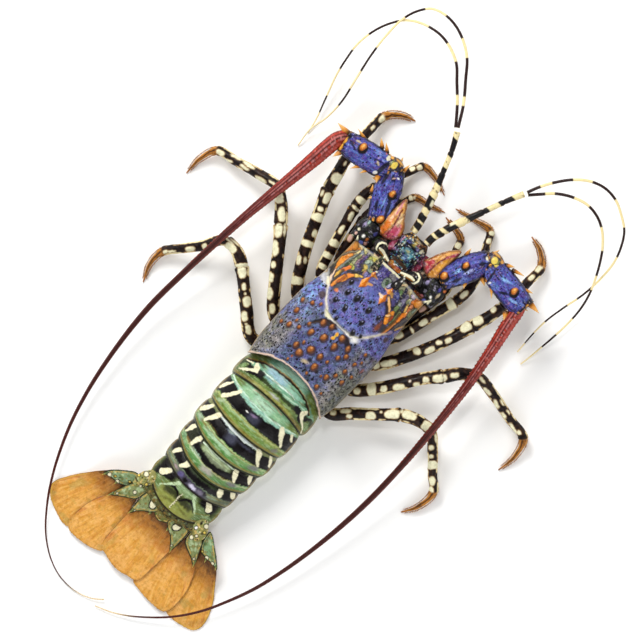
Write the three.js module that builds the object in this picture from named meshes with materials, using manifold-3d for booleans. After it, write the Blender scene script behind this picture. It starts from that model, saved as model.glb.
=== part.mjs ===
// A raw ornate spiny lobster that lies flat on its belly, with its long antennae swept back.
//
// Millimetres, +Z up. +Y runs from the tail fan to the head, and +X points to the animal's right.
// The origin is under the middle of the whole, on the surface that the lobster lies on.

import * as THREE from 'three';
import { mergeVertices } from 'three/addons/utils/BufferGeometryUtils.js';
import Module from 'manifold-3d';

const wasm = await Module();
wasm.setup();

const { clamp, lerp } = THREE.MathUtils;
const UP = new THREE.Vector3(0, 0, 1);
const SIDES = { left: -1, right: 1 };
const ROUND = { sides: 10 }; // the thick limbs' section

// ---------------------------------------------------------------------------------------------
// Driving dimensions
// ---------------------------------------------------------------------------------------------

const GAP = 0.3; // between neighbouring pieces of shell

// The head shell. Its front and rear edges bow, so each has a place on the middle line and one at
// the side.
const SHELL = {
  frontY: 86,
  frontSideY: 82.5,
  rearY: -19.5,
  rearSideY: -33,
  rearHalfWidth: 36.5,
  lowerZ: 17, // the lower margin, above the hips of the legs
  waistZ: 33, // where it is widest
};
const SHELL_HALF_WIDTH = [
  [-33, 36.5], [-19, 39], [1, 40], [21, 40], [36, 39], [46, 36.8], [61, 35.5], [83, 35],
];
const SHELL_RIDGE = [[-20, 56], [-5, 59.5], [15, 61], [35, 60.5], [55, 59], [70, 55], [86, 48.5]];
const BROW_Z = 48.5; // the shell's top at its front edge

// The six rings of the abdomen, from the front: rear edge on the middle line and at the side, half of
// the greatest width, and the top.
const RINGS = [
  { rearY: -47.5, rearSideY: -52, halfWidth: 36, topZ: 48.5 },
  { rearY: -81, rearSideY: -75.5, halfWidth: 35.3, topZ: 47.5 },
  { rearY: -104.3, rearSideY: -95, halfWidth: 34.8, topZ: 45 },
  { rearY: -124.4, rearSideY: -113, halfWidth: 32.8, topZ: 41.5 },
  { rearY: -137.8, rearSideY: -129.5, halfWidth: 31, topZ: 37.5 },
  { rearY: -160.3, rearSideY: -147, halfWidth: 29.9, topZ: 33.5 },
];

// The tail fan: its blades lie on each other like cards, and their stems rise to the last ring.
const FAN = {
  stemZ: 13, // how far the stems rise above the blades
  stemY: -158,
  flatY: -186, // behind this the fan lies flat
  layerZ: { outer: 1.1, inner: 3.0, telson: 4.9 }, // the middle of each blade, above the table
  thickness: 1.3,
};

const BELLY_TOP_Z = SHELL.lowerZ - GAP;
const HIP_Z = 9.5;
const TIP_LIFT = 0.3; // what ends on the table stays this far above it

// Each leg's height at the knee and half of its width; leg 1 is the foremost.
const LEG_BUILD = {
  1: { kneeZ: 12.5, halfWidth: 3.6 },
  2: { kneeZ: 16, halfWidth: 3.8 },
  3: { kneeZ: 22, halfWidth: 4.5 },
  4: { kneeZ: 27, halfWidth: 4.6 },
  5: { kneeZ: 24, halfWidth: 4.5 },
};

const COLOR = {
  shell: '#5b66a0',
  plate: '#58627a',
  mouth: '#6a6458',
  eye: '#0c0c10',
  base: '#4b4a52',
  segment: '#4a5299',
  whip: '#7a3a30',
  pad: '#c06048',
  stem: '#3a2a22',
  whiplet: '#4a3520',
  leg: '#33231c',
  feeding: '#8a7a5a',
  belly: '#b8a888',
  ring: '#5f8a5c',
  knuckle: '#5f7a4a',
  fan: '#c58a48',
};
const WET = 0.45; // roughness of the shell
const GLOSSY = 0.1;

// ---------------------------------------------------------------------------------------------
// Shape tools
// ---------------------------------------------------------------------------------------------

// A smooth graph through [position, value] stations, whose positions rise.
function graph(stations) {
  const positions = stations.map(([position]) => position);
  const values = stations.map(([, value]) => value);
  const spline = new THREE.CubicInterpolant(positions, values, 1);
  const [first, last] = [positions[0], positions[positions.length - 1]];
  return (position) => spline.evaluate(clamp(position, first, last))[0];
}

// The closed solid that a geometry's triangles bound, turned so that its faces look outwards.
function solid(geometry) {
  geometry.deleteAttribute('normal');
  geometry.deleteAttribute('uv');
  const merged = mergeVertices(geometry);
  const vertProperties = merged.attributes.position.array;
  const faces = Uint32Array.from(merged.index.array);
  const bound = (triVerts) => new wasm.Manifold(new wasm.Mesh({ numProp: 3, vertProperties, triVerts }));
  const body = bound(faces);
  return body.volume() > 0 ? body : bound(faces.reverse());
}

// A cylinder's skin pulled into shape. place(turn, along, spread) gives each point, with turn in
// radians round the piece, along from 0 at its start to 1 at its end, and spread 1 on the wall and 0 at
// the middle of an end.
function skin(sides, steps, place) {
  const geometry = new THREE.CylinderGeometry(1, 1, 1, sides, steps);
  const position = geometry.attributes.position;
  for (let i = 0; i < position.count; i += 1) {
    const turn = Math.atan2(position.getX(i), position.getZ(i));
    const spread = Math.hypot(position.getX(i), position.getZ(i));
    const point = place(turn, 0.5 - position.getY(i), spread);
    position.setXYZ(i, point.x, point.y, point.z);
  }
  return solid(geometry);
}

// A sine or cosine made fuller, so that a section grows from round towards a rectangle.
function boxed(value, roundness) {
  return Math.sign(value) * Math.abs(value) ** roundness;
}

// A round limb through stations [x, y, z, radius]. `grow` makes it larger all round, to cut its own seat
// in a neighbour.
function limb(stations, { sides = 8, steps, grow = 0 } = {}) {
  const spans = stations.length - 1;
  const points = stations.map(([x, y, z]) => new THREE.Vector3(x, y, z));
  const line = new THREE.CatmullRomCurve3(points, false, 'centripetal');
  const radiusAt = graph(stations.map((station, index) => [index, station[3]]));
  return skin(sides, steps ?? 2 * spans, (turn, along, spread) => {
    const forward = line.getTangent(along);
    const right = forward.clone().cross(UP).normalize();
    const above = right.clone().cross(forward);
    const radius = (radiusAt(along * spans) + grow) * spread;
    const point = line.getPoint(along);
    point.addScaledVector(forward, grow * (2 * along - 1));
    point.addScaledVector(right, radius * Math.cos(turn));
    return point.addScaledVector(above, radius * Math.sin(turn));
  });
}

// A thorn: a cone from its root to its tip.
function thorn(root, tip, radius, sides = 6) {
  const from = new THREE.Vector3(...root);
  const reach = new THREE.Vector3(...tip).sub(from);
  const length = reach.length();
  const geometry = new THREE.ConeGeometry(radius, length, sides);
  geometry.translate(0, length / 2, 0);
  const lean = new THREE.Quaternion().setFromUnitVectors(new THREE.Vector3(0, 1, 0), reach.normalize());
  geometry.applyQuaternion(lean);
  geometry.translate(from.x, from.y, from.z);
  return solid(geometry);
}

const LOBE_SPREAD = 0.8; // under 1 the rings of the net crowd towards the rim

// A flat lobe inside a closed outline of [x, y] points. middleZ(x, y) is its middle surface, and its
// thickness falls off towards the rim.
function lobe(outline, middleZ, thickness, { sides = 22, rings = 5, rim = 0.5 } = {}) {
  const border = new THREE.SplineCurve([...outline, outline[0]].map(([x, y]) => new THREE.Vector2(x, y)));
  const centre = outline.reduce((sum, [x, y]) => sum.add(new THREE.Vector2(x, y)), new THREE.Vector2());
  centre.divideScalar(outline.length);
  const geometry = new THREE.SphereGeometry(1, sides, rings);
  const position = geometry.attributes.position;
  for (let i = 0; i < position.count; i += 1) {
    const turn = Math.atan2(position.getZ(i), position.getX(i)) / (2 * Math.PI);
    const spread = Math.hypot(position.getX(i), position.getZ(i)) ** LOBE_SPREAD;
    const point = centre.clone().lerp(border.getPoint((turn + 1) % 1), spread);
    const lift = (thickness / 2) * boxed(position.getY(i), rim);
    position.setXYZ(i, point.x, point.y, middleZ(point.x, point.y) + lift);
  }
  return solid(geometry);
}

// What is left of a body once its neighbours' room is cut away, without loose scraps.
function carved(body, ...cutters) {
  const rest = cutters.reduce((kept, cutter) => kept.subtract(cutter), body);
  return rest.decompose().reduce((kept, piece) => (piece.volume() > kept.volume() ? piece : kept));
}

function fused(body, additions) {
  return additions.reduce((whole, addition) => whole.add(addition), body);
}

// A named piece of the model with its own material.
function piece(name, body, color, roughness = WET) {
  const { vertProperties, triVerts } = body.getMesh();
  const geometry = new THREE.BufferGeometry();
  geometry.setAttribute('position', new THREE.BufferAttribute(vertProperties, 3));
  geometry.setIndex(new THREE.BufferAttribute(triVerts, 1));
  geometry.computeVertexNormals();
  const mesh = new THREE.Mesh(geometry, new THREE.MeshStandardMaterial({ color, roughness }));
  mesh.name = name;
  return mesh;
}

function group(...members) {
  const parent = new THREE.Group();
  parent.add(...members);
  return parent;
}

// ---------------------------------------------------------------------------------------------
// Head shell: the carapace
// ---------------------------------------------------------------------------------------------

const shellHalfWidth = graph(SHELL_HALF_WIDTH);
const shellRidge = graph(SHELL_RIDGE);
const SHELL_ROUND = 0.8; // under 1 the shoulders are fuller than an ellipse's
const SHELL_FLOOR_ROUND = 0.5;
const SHELL_MESH = { sides: 30, steps: 16 };

const BOW = 2.2;
const BOW_LIMIT = 1.05; // of the half width; the edge runs straight on beyond it

// Where an edge that bows from middleY to sideY lies at x.
function bowedEdge(middleY, sideY, halfWidth, x) {
  return middleY + (sideY - middleY) * Math.min(Math.abs(x) / halfWidth, BOW_LIMIT) ** BOW;
}

function shellFrontY(x) {
  return bowedEdge(SHELL.frontY, SHELL.frontSideY, SHELL.rearHalfWidth, x);
}

function shellRearY(x) {
  return bowedEdge(SHELL.rearY, SHELL.rearSideY, SHELL.rearHalfWidth, x);
}

// The shell's section at a place along it, 0 at the front edge and 1 at the rear.
function shellSection(along) {
  return {
    halfWidth: shellHalfWidth(lerp(SHELL.frontSideY, SHELL.rearSideY, along)),
    topZ: shellRidge(lerp(SHELL.frontY, SHELL.rearY, along)),
  };
}

// The height of the shell's outer face over a place on the table.
function shellTopZ(x, y) {
  const along = clamp((shellFrontY(x) - y) / (shellFrontY(x) - shellRearY(x)), 0, 1);
  const { halfWidth, topZ } = shellSection(along);
  const inside = Math.max(1 - (x / halfWidth) ** 2, 0);
  return SHELL.waistZ + (topZ - SHELL.waistZ) * inside ** (SHELL_ROUND / 2);
}

function shellBody({ sides, steps }, grow = 0) {
  return skin(sides, steps, (turn, along, spread) => {
    const { halfWidth, topZ } = shellSection(along);
    const x = (halfWidth + grow) * Math.cos(turn) * spread;
    const height = Math.abs(Math.sin(turn));
    const rise = (topZ - SHELL.waistZ + grow) * height ** SHELL_ROUND;
    const fall = (SHELL.waistZ - SHELL.lowerZ + grow) * height ** SHELL_FLOOR_ROUND;
    const z = SHELL.waistZ + spread * (Math.sin(turn) > 0 ? rise : -fall);
    const y = lerp(shellFrontY(x) + grow, shellRearY(x) - grow, along);
    return new THREE.Vector3(x, y, z);
  });
}

// The neck groove crosses the back and runs forwards down both flanks.
const GROOVE = { radius: 1.9, depth: 1.6 };
const NECK_GROOVE = [[36, 52], [31, 48.5], [26, 44], [21, 36], [13, 29], [0, 27.5]];

function grooveCutter(halfRoute) {
  const mirrored = halfRoute.slice(0, -1).map(([x, y]) => [-x, y]);
  const route = [...halfRoute, ...mirrored.reverse()];
  const lift = GROOVE.radius - GROOVE.depth;
  const stations = route.map(([x, y]) => [x, y, shellTopZ(x, y) + lift, GROOVE.radius]);
  return limb(stations, { sides: 5, steps: 16 });
}

// Tubercles of the back, as [x, y, radius]; they lean forwards.
const TUBERCLES = [
  [-10.5, 22, 2.2], [-3.5, 24, 2], [7.5, 22.5, 2.2], [16.5, 20, 2.2], [-2.5, 14, 2.1], [7.5, 14, 2.1],
  [19.5, 15, 1.9], [-12.5, 10.5, 2.2], [15.5, 10, 2.1], [-3.5, 1, 2.6], [5, 2, 2.3], [-14, -4, 2.2],
  [-8.5, -7, 2.5], [7.5, -7, 2.5], [19, -7, 2.1], [18.5, -16.5, 2], [-33.5, 24, 1.9], [-26.5, 27, 2.1],
  [-31.5, 15, 2], [-28.5, 4, 2.1], [-21.5, 7, 1.9], [-25.5, 10, 1.9], [-18, 13, 1.9], [-21.5, 31, 2],
  [28.5, 25, 2.1], [31.5, 19, 1.9], [28.5, 14.5, 1.9], [26.5, 6, 1.9], [32.5, 6, 1.8], [23.5, -1, 1.9],
  [30.5, -1, 1.9], [-4.5, 52, 2.2], [7.5, 52, 2.2], [-12.5, 51, 1.8], [16.5, 52, 1.8], [-6.5, 41, 1.9],
  [10.5, 41, 1.9], [-15.5, 41, 1.7],
];
const TUBERCLE = { height: 0.85, foot: 1.5, lean: 0.5, sides: 5 }; // in radii, but for the sides
const ROOT_DEPTH = 1.2; // how deep tubercles and thorns start in the shell

function tubercle([x, y, radius]) {
  const rootZ = shellTopZ(x, y) - ROOT_DEPTH;
  const tipY = y + TUBERCLE.lean * radius;
  const tipZ = shellTopZ(x, tipY) + TUBERCLE.height * radius;
  return thorn([x, y, rootZ], [x, tipY, tipZ], TUBERCLE.foot * radius, TUBERCLE.sides);
}

// Thorns of the brow, as [x, y, length]; they also lean forwards.
const BROW_THORNS = [
  [-8, 72, 6], [-8.5, 63, 6], [10, 71, 6], [9.5, 61, 6], [-24, 76, 6], [25, 76, 6], [-31, 70, 5],
  [32, 70, 5],
];
const BROW_THORN = { radius: 2.6, lean: 0.75 }; // the lean in lengths

function browThorn([x, y, length]) {
  const rootZ = shellTopZ(x, y) - ROOT_DEPTH;
  return thorn([x, y, rootZ], [x, y + BROW_THORN.lean * length, rootZ + length], BROW_THORN.radius);
}

// The two horns rise from the brow, point forwards and stand over the stalks of the eyes.
function horn(side) {
  const stations = [
    [side * 9.5, 76, BROW_Z, 3.8],
    [side * 10, 82, BROW_Z + 4.5, 2.8],
    [side * 10, 87, BROW_Z + 9, 1.7],
    [side * 9.8, 90, BROW_Z + 13, 0.5],
  ];
  return limb(stations, { sides: 6, steps: 5 });
}

// Side thorns at the front corners of the shell.
function cornerThorn(side) {
  return thorn([side * 30, 77, 44], [side * 36.5, 89, 49], 3.2);
}

function carapace() {
  const grooved = carved(shellBody(SHELL_MESH), grooveCutter(NECK_GROOVE));
  const additions = [
    ...TUBERCLES.map(tubercle),
    ...BROW_THORNS.map(browThorn),
    ...Object.values(SIDES).map(horn),
    ...Object.values(SIDES).map(cornerThorn),
  ];
  return piece('carapace', fused(grooved, additions), COLOR.shell);
}

// ---------------------------------------------------------------------------------------------
// Front of the head: the plate between the eyes, the mouth plate and the eyes
// ---------------------------------------------------------------------------------------------

const PLATE_HALF_WIDTH = [[86, 9], [93, 9.5], [104, 11.5], [112, 11], [117, 8]];
const PLATE_TOP_Z = [[86, 44], [95, 43.5], [105, 44], [117, 42]];
const PLATE = { rearY: 86.6, frontY: 117, lowerZ: 29.5 };
const PLATE_THORNS = [[-5, 100], [5.5, 101], [-7, 108], [7, 108.5], [0, 111]];
const BOXY = 0.6; // the roundness of both plates' sections

function antennularPlateBody(grow = 0) {
  const halfWidthAt = graph(PLATE_HALF_WIDTH);
  const topAt = graph(PLATE_TOP_Z);
  const middleZ = (PLATE.lowerZ + PLATE_TOP_Z[0][1]) / 2;
  return skin(12, 5, (turn, along, spread) => {
    const y = lerp(PLATE.frontY, PLATE.rearY, along);
    const height = Math.abs(Math.sin(turn)) ** BOXY;
    const reach = Math.sin(turn) > 0 ? topAt(y) - middleZ : PLATE.lowerZ - middleZ;
    const x = (halfWidthAt(y) + grow) * boxed(Math.cos(turn), BOXY);
    const z = middleZ + spread * height * (reach + Math.sign(reach) * grow);
    return new THREE.Vector3(x * spread, y + grow * (1 - 2 * along), z);
  });
}

function antennularPlate() {
  const thornlets = PLATE_THORNS.map(([x, y]) => thorn([x, y, 42], [x, y + 3, 47], 1.8, 5));
  return piece('antennular_plate', fused(antennularPlateBody(), thornlets), COLOR.plate);
}

const MOUTH = { halfWidth: 21, frontShare: 0.6, rearY: 86.6, frontY: 103, lowerZ: 17.5, upperZ: 29 };

function mouthPlate() {
  const middleZ = (MOUTH.lowerZ + MOUTH.upperZ) / 2;
  return skin(12, 4, (turn, along, spread) => {
    const y = lerp(MOUTH.frontY, MOUTH.rearY, along);
    const halfWidth = MOUTH.halfWidth * lerp(MOUTH.frontShare, 1, Math.sqrt(along));
    const x = halfWidth * boxed(Math.cos(turn), BOXY);
    const z = (MOUTH.upperZ - middleZ) * boxed(Math.sin(turn), BOXY);
    return new THREE.Vector3(x * spread, y, middleZ + z * spread);
  });
}

const EYE = { radius: 5, x: 18.4, y: 93.2, z: 50 };

// A glossy ball on a short stalk that leans out from beside the brow.
function eye(side) {
  const ball = new THREE.SphereGeometry(EYE.radius, 10, 7);
  ball.translate(side * EYE.x, EYE.y, EYE.z);
  const stalk = limb([
    [side * 6.5, 88.8, EYE.z - 2.6, 2.2],
    [side * 11, 90.4, EYE.z - 1.8, 2.4],
    [side * 16, 92.4, EYE.z - 0.8, 3.2],
  ], { sides: 7, steps: 2 });
  return solid(ball).add(stalk);
}

// ---------------------------------------------------------------------------------------------
// Antennae: a base, two thick thorny segments and a long whip on each side
// ---------------------------------------------------------------------------------------------

const ANTENNA_BASE = [[32, 84.6, 31, 9.6], [32, 91, 31.5, 10.4], [32.5, 98, 33, 10], [33, 103.4, 34, 8]];
const SEGMENT_A = {
  left: [
    [-33, 104.2, 35, 7.4], [-36, 111, 35.5, 8.6], [-40.5, 121, 36.5, 10.4], [-45, 132.5, 38, 10],
    [-50, 143, 39.5, 7.6],
  ],
  right: [
    [32.5, 104.2, 35, 7.4], [35, 111, 35.5, 8.6], [39.5, 121, 36.5, 10.4], [44.5, 132, 38, 10],
    [50, 142, 39.5, 7.6],
  ],
};
const SEGMENT_B = {
  left: [
    [-52, 141, 40, 8], [-60, 138, 40.5, 10.2], [-72, 135.6, 41.5, 10.8], [-83, 133.4, 42, 10.4],
    [-92, 132, 42.5, 8.6],
  ],
  right: [
    [52, 140, 40, 8], [60, 137, 40.5, 10.2], [72, 134.8, 41.5, 10.8], [84, 133, 42, 10.4],
    [93, 132, 42.5, 8.6],
  ],
};

// Thorns of the segments: the station that each grows from, its tip and its radius.
const THORNS_A = {
  left: [
    [2, [-49, 113], 2.4], [3, [-58.5, 125], 2.6], [3, [-51, 153], 2.6], [3, [-43.5, 152.5], 2.4],
  ],
  right: [
    [2, [49, 112], 2.2], [3, [59, 124], 2.6], [3, [54, 149.5], 2.6], [3, [47, 152], 2.4],
    [2, [31.5, 137], 2.4],
  ],
};
const THORNS_B = {
  left: [
    [3, [-105, 138.5], 3.4], [3, [-91, 145.5], 2.6], [2, [-74, 152.5], 2.6], [1, [-68, 152.5], 2.4],
    [2, [-75, 119.5], 2.6], [1, [-67, 121.5], 2.4], [3, [-90, 117], 2.6],
  ],
  right: [
    [3, [103.5, 137], 3.4], [3, [90, 145], 2.6], [2, [76.5, 150], 2.6], [1, [66, 150], 2.4],
    [3, [87, 114.5], 2.6], [1, [62.5, 126], 2.4],
  ],
};

function mirroredStations(stations, side) {
  return stations.map(([x, ...rest]) => [side * x, ...rest]);
}

const THORN_LIFT = { root: 1, tip: 4 }; // over the middle of the segment

function segmentThorns(stations, thorns) {
  return thorns.map(([from, [x, y], radius]) => {
    const [rootX, rootY, rootZ] = stations[from];
    return thorn([rootX, rootY, rootZ + THORN_LIFT.root], [x, y, rootZ + THORN_LIFT.tip], radius);
  });
}

// The whip's route on the table, from its root to its tip.
const WHIP = {
  left: [
    [-94, 131.5], [-96.5, 123], [-98.5, 108], [-101, 90], [-104, 68], [-107.5, 40], [-110, 12],
    [-112.3, -20], [-114, -59], [-111, -99], [-104, -139], [-98.5, -159], [-91, -179], [-81.5, -199],
    [-69, -219],
    [-51, -239], [-39, -247], [-25, -252], [-8, -252], [4, -247.5], [11, -242],
  ],
  right: [
    [94.5, 131], [94.5, 122], [95.3, 108], [97, 90], [100, 65], [102.5, 40], [104.5, 10], [105.7, -20],
    [105.7, -45], [103.5, -79], [101, -99], [93.5, -139], [88, -159], [80, -179], [70, -199],
    [55, -219], [44.5, -229], [32, -239], [22, -245], [9, -250.3],
  ],
};
const whipZ = graph([
  [-252, 1.3], [-239, 3], [-219, 6.5], [-160, 9], [-99, 13], [-40, 20], [6, 30], [40, 34], [75, 38],
  [110, 41.5], [128, 42.5],
]);
const whipRadius = graph([
  [-252, 0.45], [-229, 0.8], [-199, 1.05], [-159, 1.3], [-119, 1.65], [-59, 2.1], [-20, 2.5], [20, 3.2],
  [60, 3.8], [80, 4.3], [128, 5],
]);

function antenna(name) {
  const side = SIDES[name];
  const base = mirroredStations(ANTENNA_BASE, side);
  const segmentA = limb(SEGMENT_A[name], ROUND);
  const segmentB = limb(SEGMENT_B[name], ROUND);
  const seat = (stations) => limb(stations, { ...ROUND, grow: GAP });
  const whipStations = WHIP[name].map(([x, y]) => [x, y, whipZ(y), whipRadius(y)]);
  const whip = limb(whipStations, { sides: 6, steps: 27 });
  const thornyA = fused(segmentA, segmentThorns(SEGMENT_A[name], THORNS_A[name]));
  const thornyB = fused(segmentB, segmentThorns(SEGMENT_B[name], THORNS_B[name]));
  return group(
    piece(`antenna_base_${name}`, limb(base, ROUND), COLOR.base),
    piece(`antenna_segment_a_${name}`, carved(thornyA, seat(base)), COLOR.segment),
    piece(`antenna_segment_b_${name}`, carved(thornyB, seat(SEGMENT_A[name])), COLOR.segment),
    piece(`antenna_whip_${name}`, carved(whip, seat(SEGMENT_B[name])), COLOR.whip),
  );
}

// Fleshy pads fill the room between the plate and the antennae's thick segments.
const PAD = {
  left: [
    [-28.5, 131], [-24, 128.5], [-19, 121], [-13.5, 114], [-12, 106], [-19, 99.5], [-28, 101], [-31, 112],
  ],
  right: [[29.5, 130.5], [23, 127], [18, 119], [15, 112], [13, 106], [22, 100], [29, 103], [29, 114]],
};

const PAD_BUILD = { middleZ: 36.5, thickness: 11, rim: 0.7 };

function pad(name) {
  const side = SIDES[name];
  const { middleZ, thickness, rim } = PAD_BUILD;
  const body = lobe(PAD[name], () => middleZ, thickness, { sides: 14, rim });
  const seats = [
    antennularPlateBody(GAP),
    limb(SEGMENT_A[name], { ...ROUND, grow: GAP }),
    limb(mirroredStations(ANTENNA_BASE, side), { ...ROUND, grow: GAP }),
  ];
  return piece(`antennal_pad_${name}`, carved(body, ...seats), COLOR.pad);
}

// ---------------------------------------------------------------------------------------------
// Antennules: a jointed stem on each side that forks into two thin whips
// ---------------------------------------------------------------------------------------------

const STEM = {
  left: [
    [-7.5, 117.4, 38, 3], [-8.3, 123, 38.5, 3.1], [-11, 133.5, 40, 3.1], [-16, 150, 42.5, 3],
    [-21.5, 165, 44.5, 2.2], [-28.5, 183, 46, 2.1], [-34.5, 194.6, 46.5, 2.5],
  ],
  right: [
    [6, 117.4, 38, 3], [6, 123, 38.5, 3.1], [9, 134, 40, 3.1], [15, 150, 42.5, 3], [21, 165, 44.5, 2.2],
    [28.8, 184, 46, 2.1], [33.8, 194.6, 46.5, 2.5],
  ],
};
const WHIPLET = {
  left: {
    upper: [
      [-36, 197], [-44, 211], [-57, 228], [-67, 240], [-79, 248], [-91, 252], [-101, 252.3], [-111, 249],
      [-118.5, 239], [-121.8, 229], [-122.6, 212], [-121, 194], [-117, 172], [-113.3, 152], [-113.6, 135],
      [-116.6, 121], [-115, 106],
    ],
    lower: [
      [-37.5, 196], [-48, 209], [-60, 221.5], [-70, 231.5], [-80, 236.5], [-92, 239], [-104, 237.5],
      [-113, 234], [-120, 229], [-127, 219], [-132, 206], [-134, 190], [-133, 181], [-130, 165],
      [-124, 146.5], [-118, 128], [-116, 118],
    ],
  },
  right: {
    upper: [
      [34.6, 197], [39, 207], [45, 217], [53, 227], [64, 235.5], [75, 239], [87, 238], [98, 232.5],
      [107, 226], [114, 215], [118, 203], [119, 188], [117.6, 170], [113.5, 152], [110.7, 136],
      [110.3, 120], [111, 105],
    ],
    lower: [
      [36.5, 196], [43, 203], [51, 211], [63, 218], [75, 221], [86, 219.3], [95, 214.5], [104, 205.5],
      [110, 196.5], [116, 185], [120.5, 174], [123.4, 161], [124, 147], [123, 131], [121.5, 118],
      [120.3, 108], [119, 100],
    ],
  },
};
const WHIPLET_Z = {
  upper: [[0, 48], [0.3, 47.5], [0.5, 42], [0.65, 32], [0.8, 18], [0.93, 7], [1, 1.4]],
  lower: [[0, 45], [0.3, 44], [0.5, 37], [0.65, 26], [0.8, 12.5], [0.93, 3.4], [1, 1.2]],
};
const WHIPLET_RADIUS = [[0, 1.25], [0.4, 1], [0.8, 0.75], [1, 0.5]];

function whiplet(route, heights) {
  const last = route.length - 1;
  const heightAt = graph(heights);
  const radiusAt = graph(WHIPLET_RADIUS);
  const stations = route.map(([x, y], index) => [x, y, heightAt(index / last), radiusAt(index / last)]);
  return limb(stations, { sides: 5, steps: 22 });
}

function antennule(name) {
  const seat = limb(STEM[name], { sides: 6, grow: GAP });
  const upper = whiplet(WHIPLET[name].upper, WHIPLET_Z.upper);
  const lower = whiplet(WHIPLET[name].lower, WHIPLET_Z.lower);
  return group(
    piece(`antennule_stem_${name}`, limb(STEM[name], { sides: 6 }), COLOR.stem),
    piece(`antennule_upper_${name}`, carved(upper, seat), COLOR.whiplet),
    piece(`antennule_lower_${name}`, carved(lower, seat), COLOR.whiplet),
  );
}

// ---------------------------------------------------------------------------------------------
// Legs: hip, merus, carpus, propodus and the pointed dactyl
// ---------------------------------------------------------------------------------------------

// Each route has the same twelve stations, from the root at the belly to the tip.
const LEG_ROUTE = {
  left: {
    1: [
      [-15, 52], [-33, 63], [-38, 79], [-40, 92], [-41, 100], [-40, 109], [-37, 116], [-32, 122.5],
      [-28, 129.5], [-24, 137.5], [-12, 140.5], [0, 144.5],
    ],
    2: [
      [-19, 34], [-38, 49], [-44, 68], [-49, 88], [-52, 101], [-53, 113], [-51, 124], [-46, 136],
      [-41, 147], [-34.5, 159], [-24, 158.7], [-9, 153.5],
    ],
    3: [
      [-23, 14], [-41, 26], [-54, 46], [-69, 80], [-76, 98], [-79, 112], [-82, 124], [-83.5, 138],
      [-83.5, 153], [-82.5, 166], [-71, 177], [-63, 179.5],
    ],
    4: [
      [-26, -5], [-41, 1], [-58, 20], [-76, 44], [-84, 54], [-95, 66], [-104, 72.5], [-121, 70.5],
      [-140, 66], [-157, 61.5], [-162, 48], [-162, 34],
    ],
    5: [
      [-27, -19], [-41, -23], [-60, -9.5], [-78, 6], [-84, 11], [-95, 17], [-105, 17], [-117, 1],
      [-127, -11], [-135, -21.5], [-135.5, -35], [-130, -48],
    ],
  },
  right: {
    1: [
      [15, 52], [32, 62], [36.5, 77], [39, 89], [40, 99], [38.5, 108], [35, 115], [30, 121.5],
      [25.5, 129], [22.5, 137.5], [12, 141], [3, 142.2],
    ],
    2: [
      [19, 34], [36, 49], [42, 67], [47, 86], [51, 101], [52.5, 113], [50.5, 125], [45.5, 136], [40, 147],
      [34, 157.5], [20, 155.5], [4, 152],
    ],
    3: [
      [23, 14], [40, 26], [52, 45], [67, 78], [73, 96], [77, 108], [79.5, 121], [80.5, 135], [81, 150],
      [80.5, 164], [71, 172.5], [60, 175.5],
    ],
    4: [
      [26, -6], [40, 0], [54, 15], [75, 45], [83, 54], [91, 64], [102, 71], [118, 69.5], [140, 64.5],
      [159, 60], [163, 46], [161, 30.5],
    ],
    5: [
      [27, -21], [38, -24.5], [52, -13], [72, 4.5], [79.5, 11], [91, 16.5], [103, 17.5], [115, 7.5],
      [127, -5.5], [136.5, -15], [135.5, -31], [129, -42.5],
    ],
  },
};
// Along those stations: the rise from hip to knee, then the share of the knee's height, and the share of
// the half width.
const LEG_RISE = [0, 0.15, 0.6, 0.95, 1];
const LEG_FALL = [1, 0.93, 0.7, 0.46, 0.29, 0.15, 0];
const LEG_TAPER = [0.95, 1, 1, 0.98, 1.06, 1, 0.9, 0.86, 0.78, 0.72, 0.5, 0.14];

function legStations(name, number) {
  const { kneeZ, halfWidth } = LEG_BUILD[number];
  return LEG_ROUTE[name][number].map(([x, y], index) => {
    const radius = halfWidth * LEG_TAPER[index];
    const rising = index < LEG_RISE.length;
    const fall = kneeZ * LEG_FALL[index - LEG_RISE.length];
    const wanted = rising ? lerp(HIP_Z, kneeZ, LEG_RISE[index]) : fall;
    return [x, y, Math.max(wanted, radius + TIP_LIFT), radius];
  });
}

function leg(name, number) {
  const body = limb(legStations(name, number), { sides: 6, steps: 18 });
  return piece(`leg_${number}_${name}`, body, COLOR.leg);
}

// ---------------------------------------------------------------------------------------------
// Belly: the breastplate that the legs hinge on, and the feeding limbs
// ---------------------------------------------------------------------------------------------

const BREAST_HALF_WIDTH = [[-21, 25], [0, 23], [20, 19], [40, 14.5], [60, 11], [80, 8]];
const BREAST = { rearY: -21, frontY: 80, round: 0.55 };

function breastplate(grow = 0) {
  const halfWidthAt = graph(BREAST_HALF_WIDTH);
  const middleZ = BELLY_TOP_Z / 2;
  return skin(12, 7, (turn, along, spread) => {
    const y = lerp(BREAST.frontY, BREAST.rearY, along);
    const x = (halfWidthAt(y) + grow) * boxed(Math.cos(turn), BREAST.round) * spread;
    const z = middleZ + (middleZ + grow) * boxed(Math.sin(turn), BREAST.round) * spread;
    return new THREE.Vector3(x, y + grow * (1 - 2 * along), z);
  });
}

function feedingLimb(side) {
  return limb([
    [side * 5.5, 81, 8, 4],
    [side * 8, 92, 9, 4.2],
    [side * 8.5, 103, 8, 3.4],
    [side * 5, 112, 6, 1.6],
  ], { sides: 8 });
}

// ---------------------------------------------------------------------------------------------
// Abdomen: six rings with side plates that point down and back
// ---------------------------------------------------------------------------------------------

const RING = {
  overlap: 4, // how far each ring reaches in under the one before it
  sideZ: 13, // where a ring is widest
  centreZ: 24,
  round: 0.8,
  frontDroop: 12, // how far the side plates' points lie back of the ring's front edge
  rearDroop: 2.5,
  lastFall: 8, // how much lower the last ring's rear is
};
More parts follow.
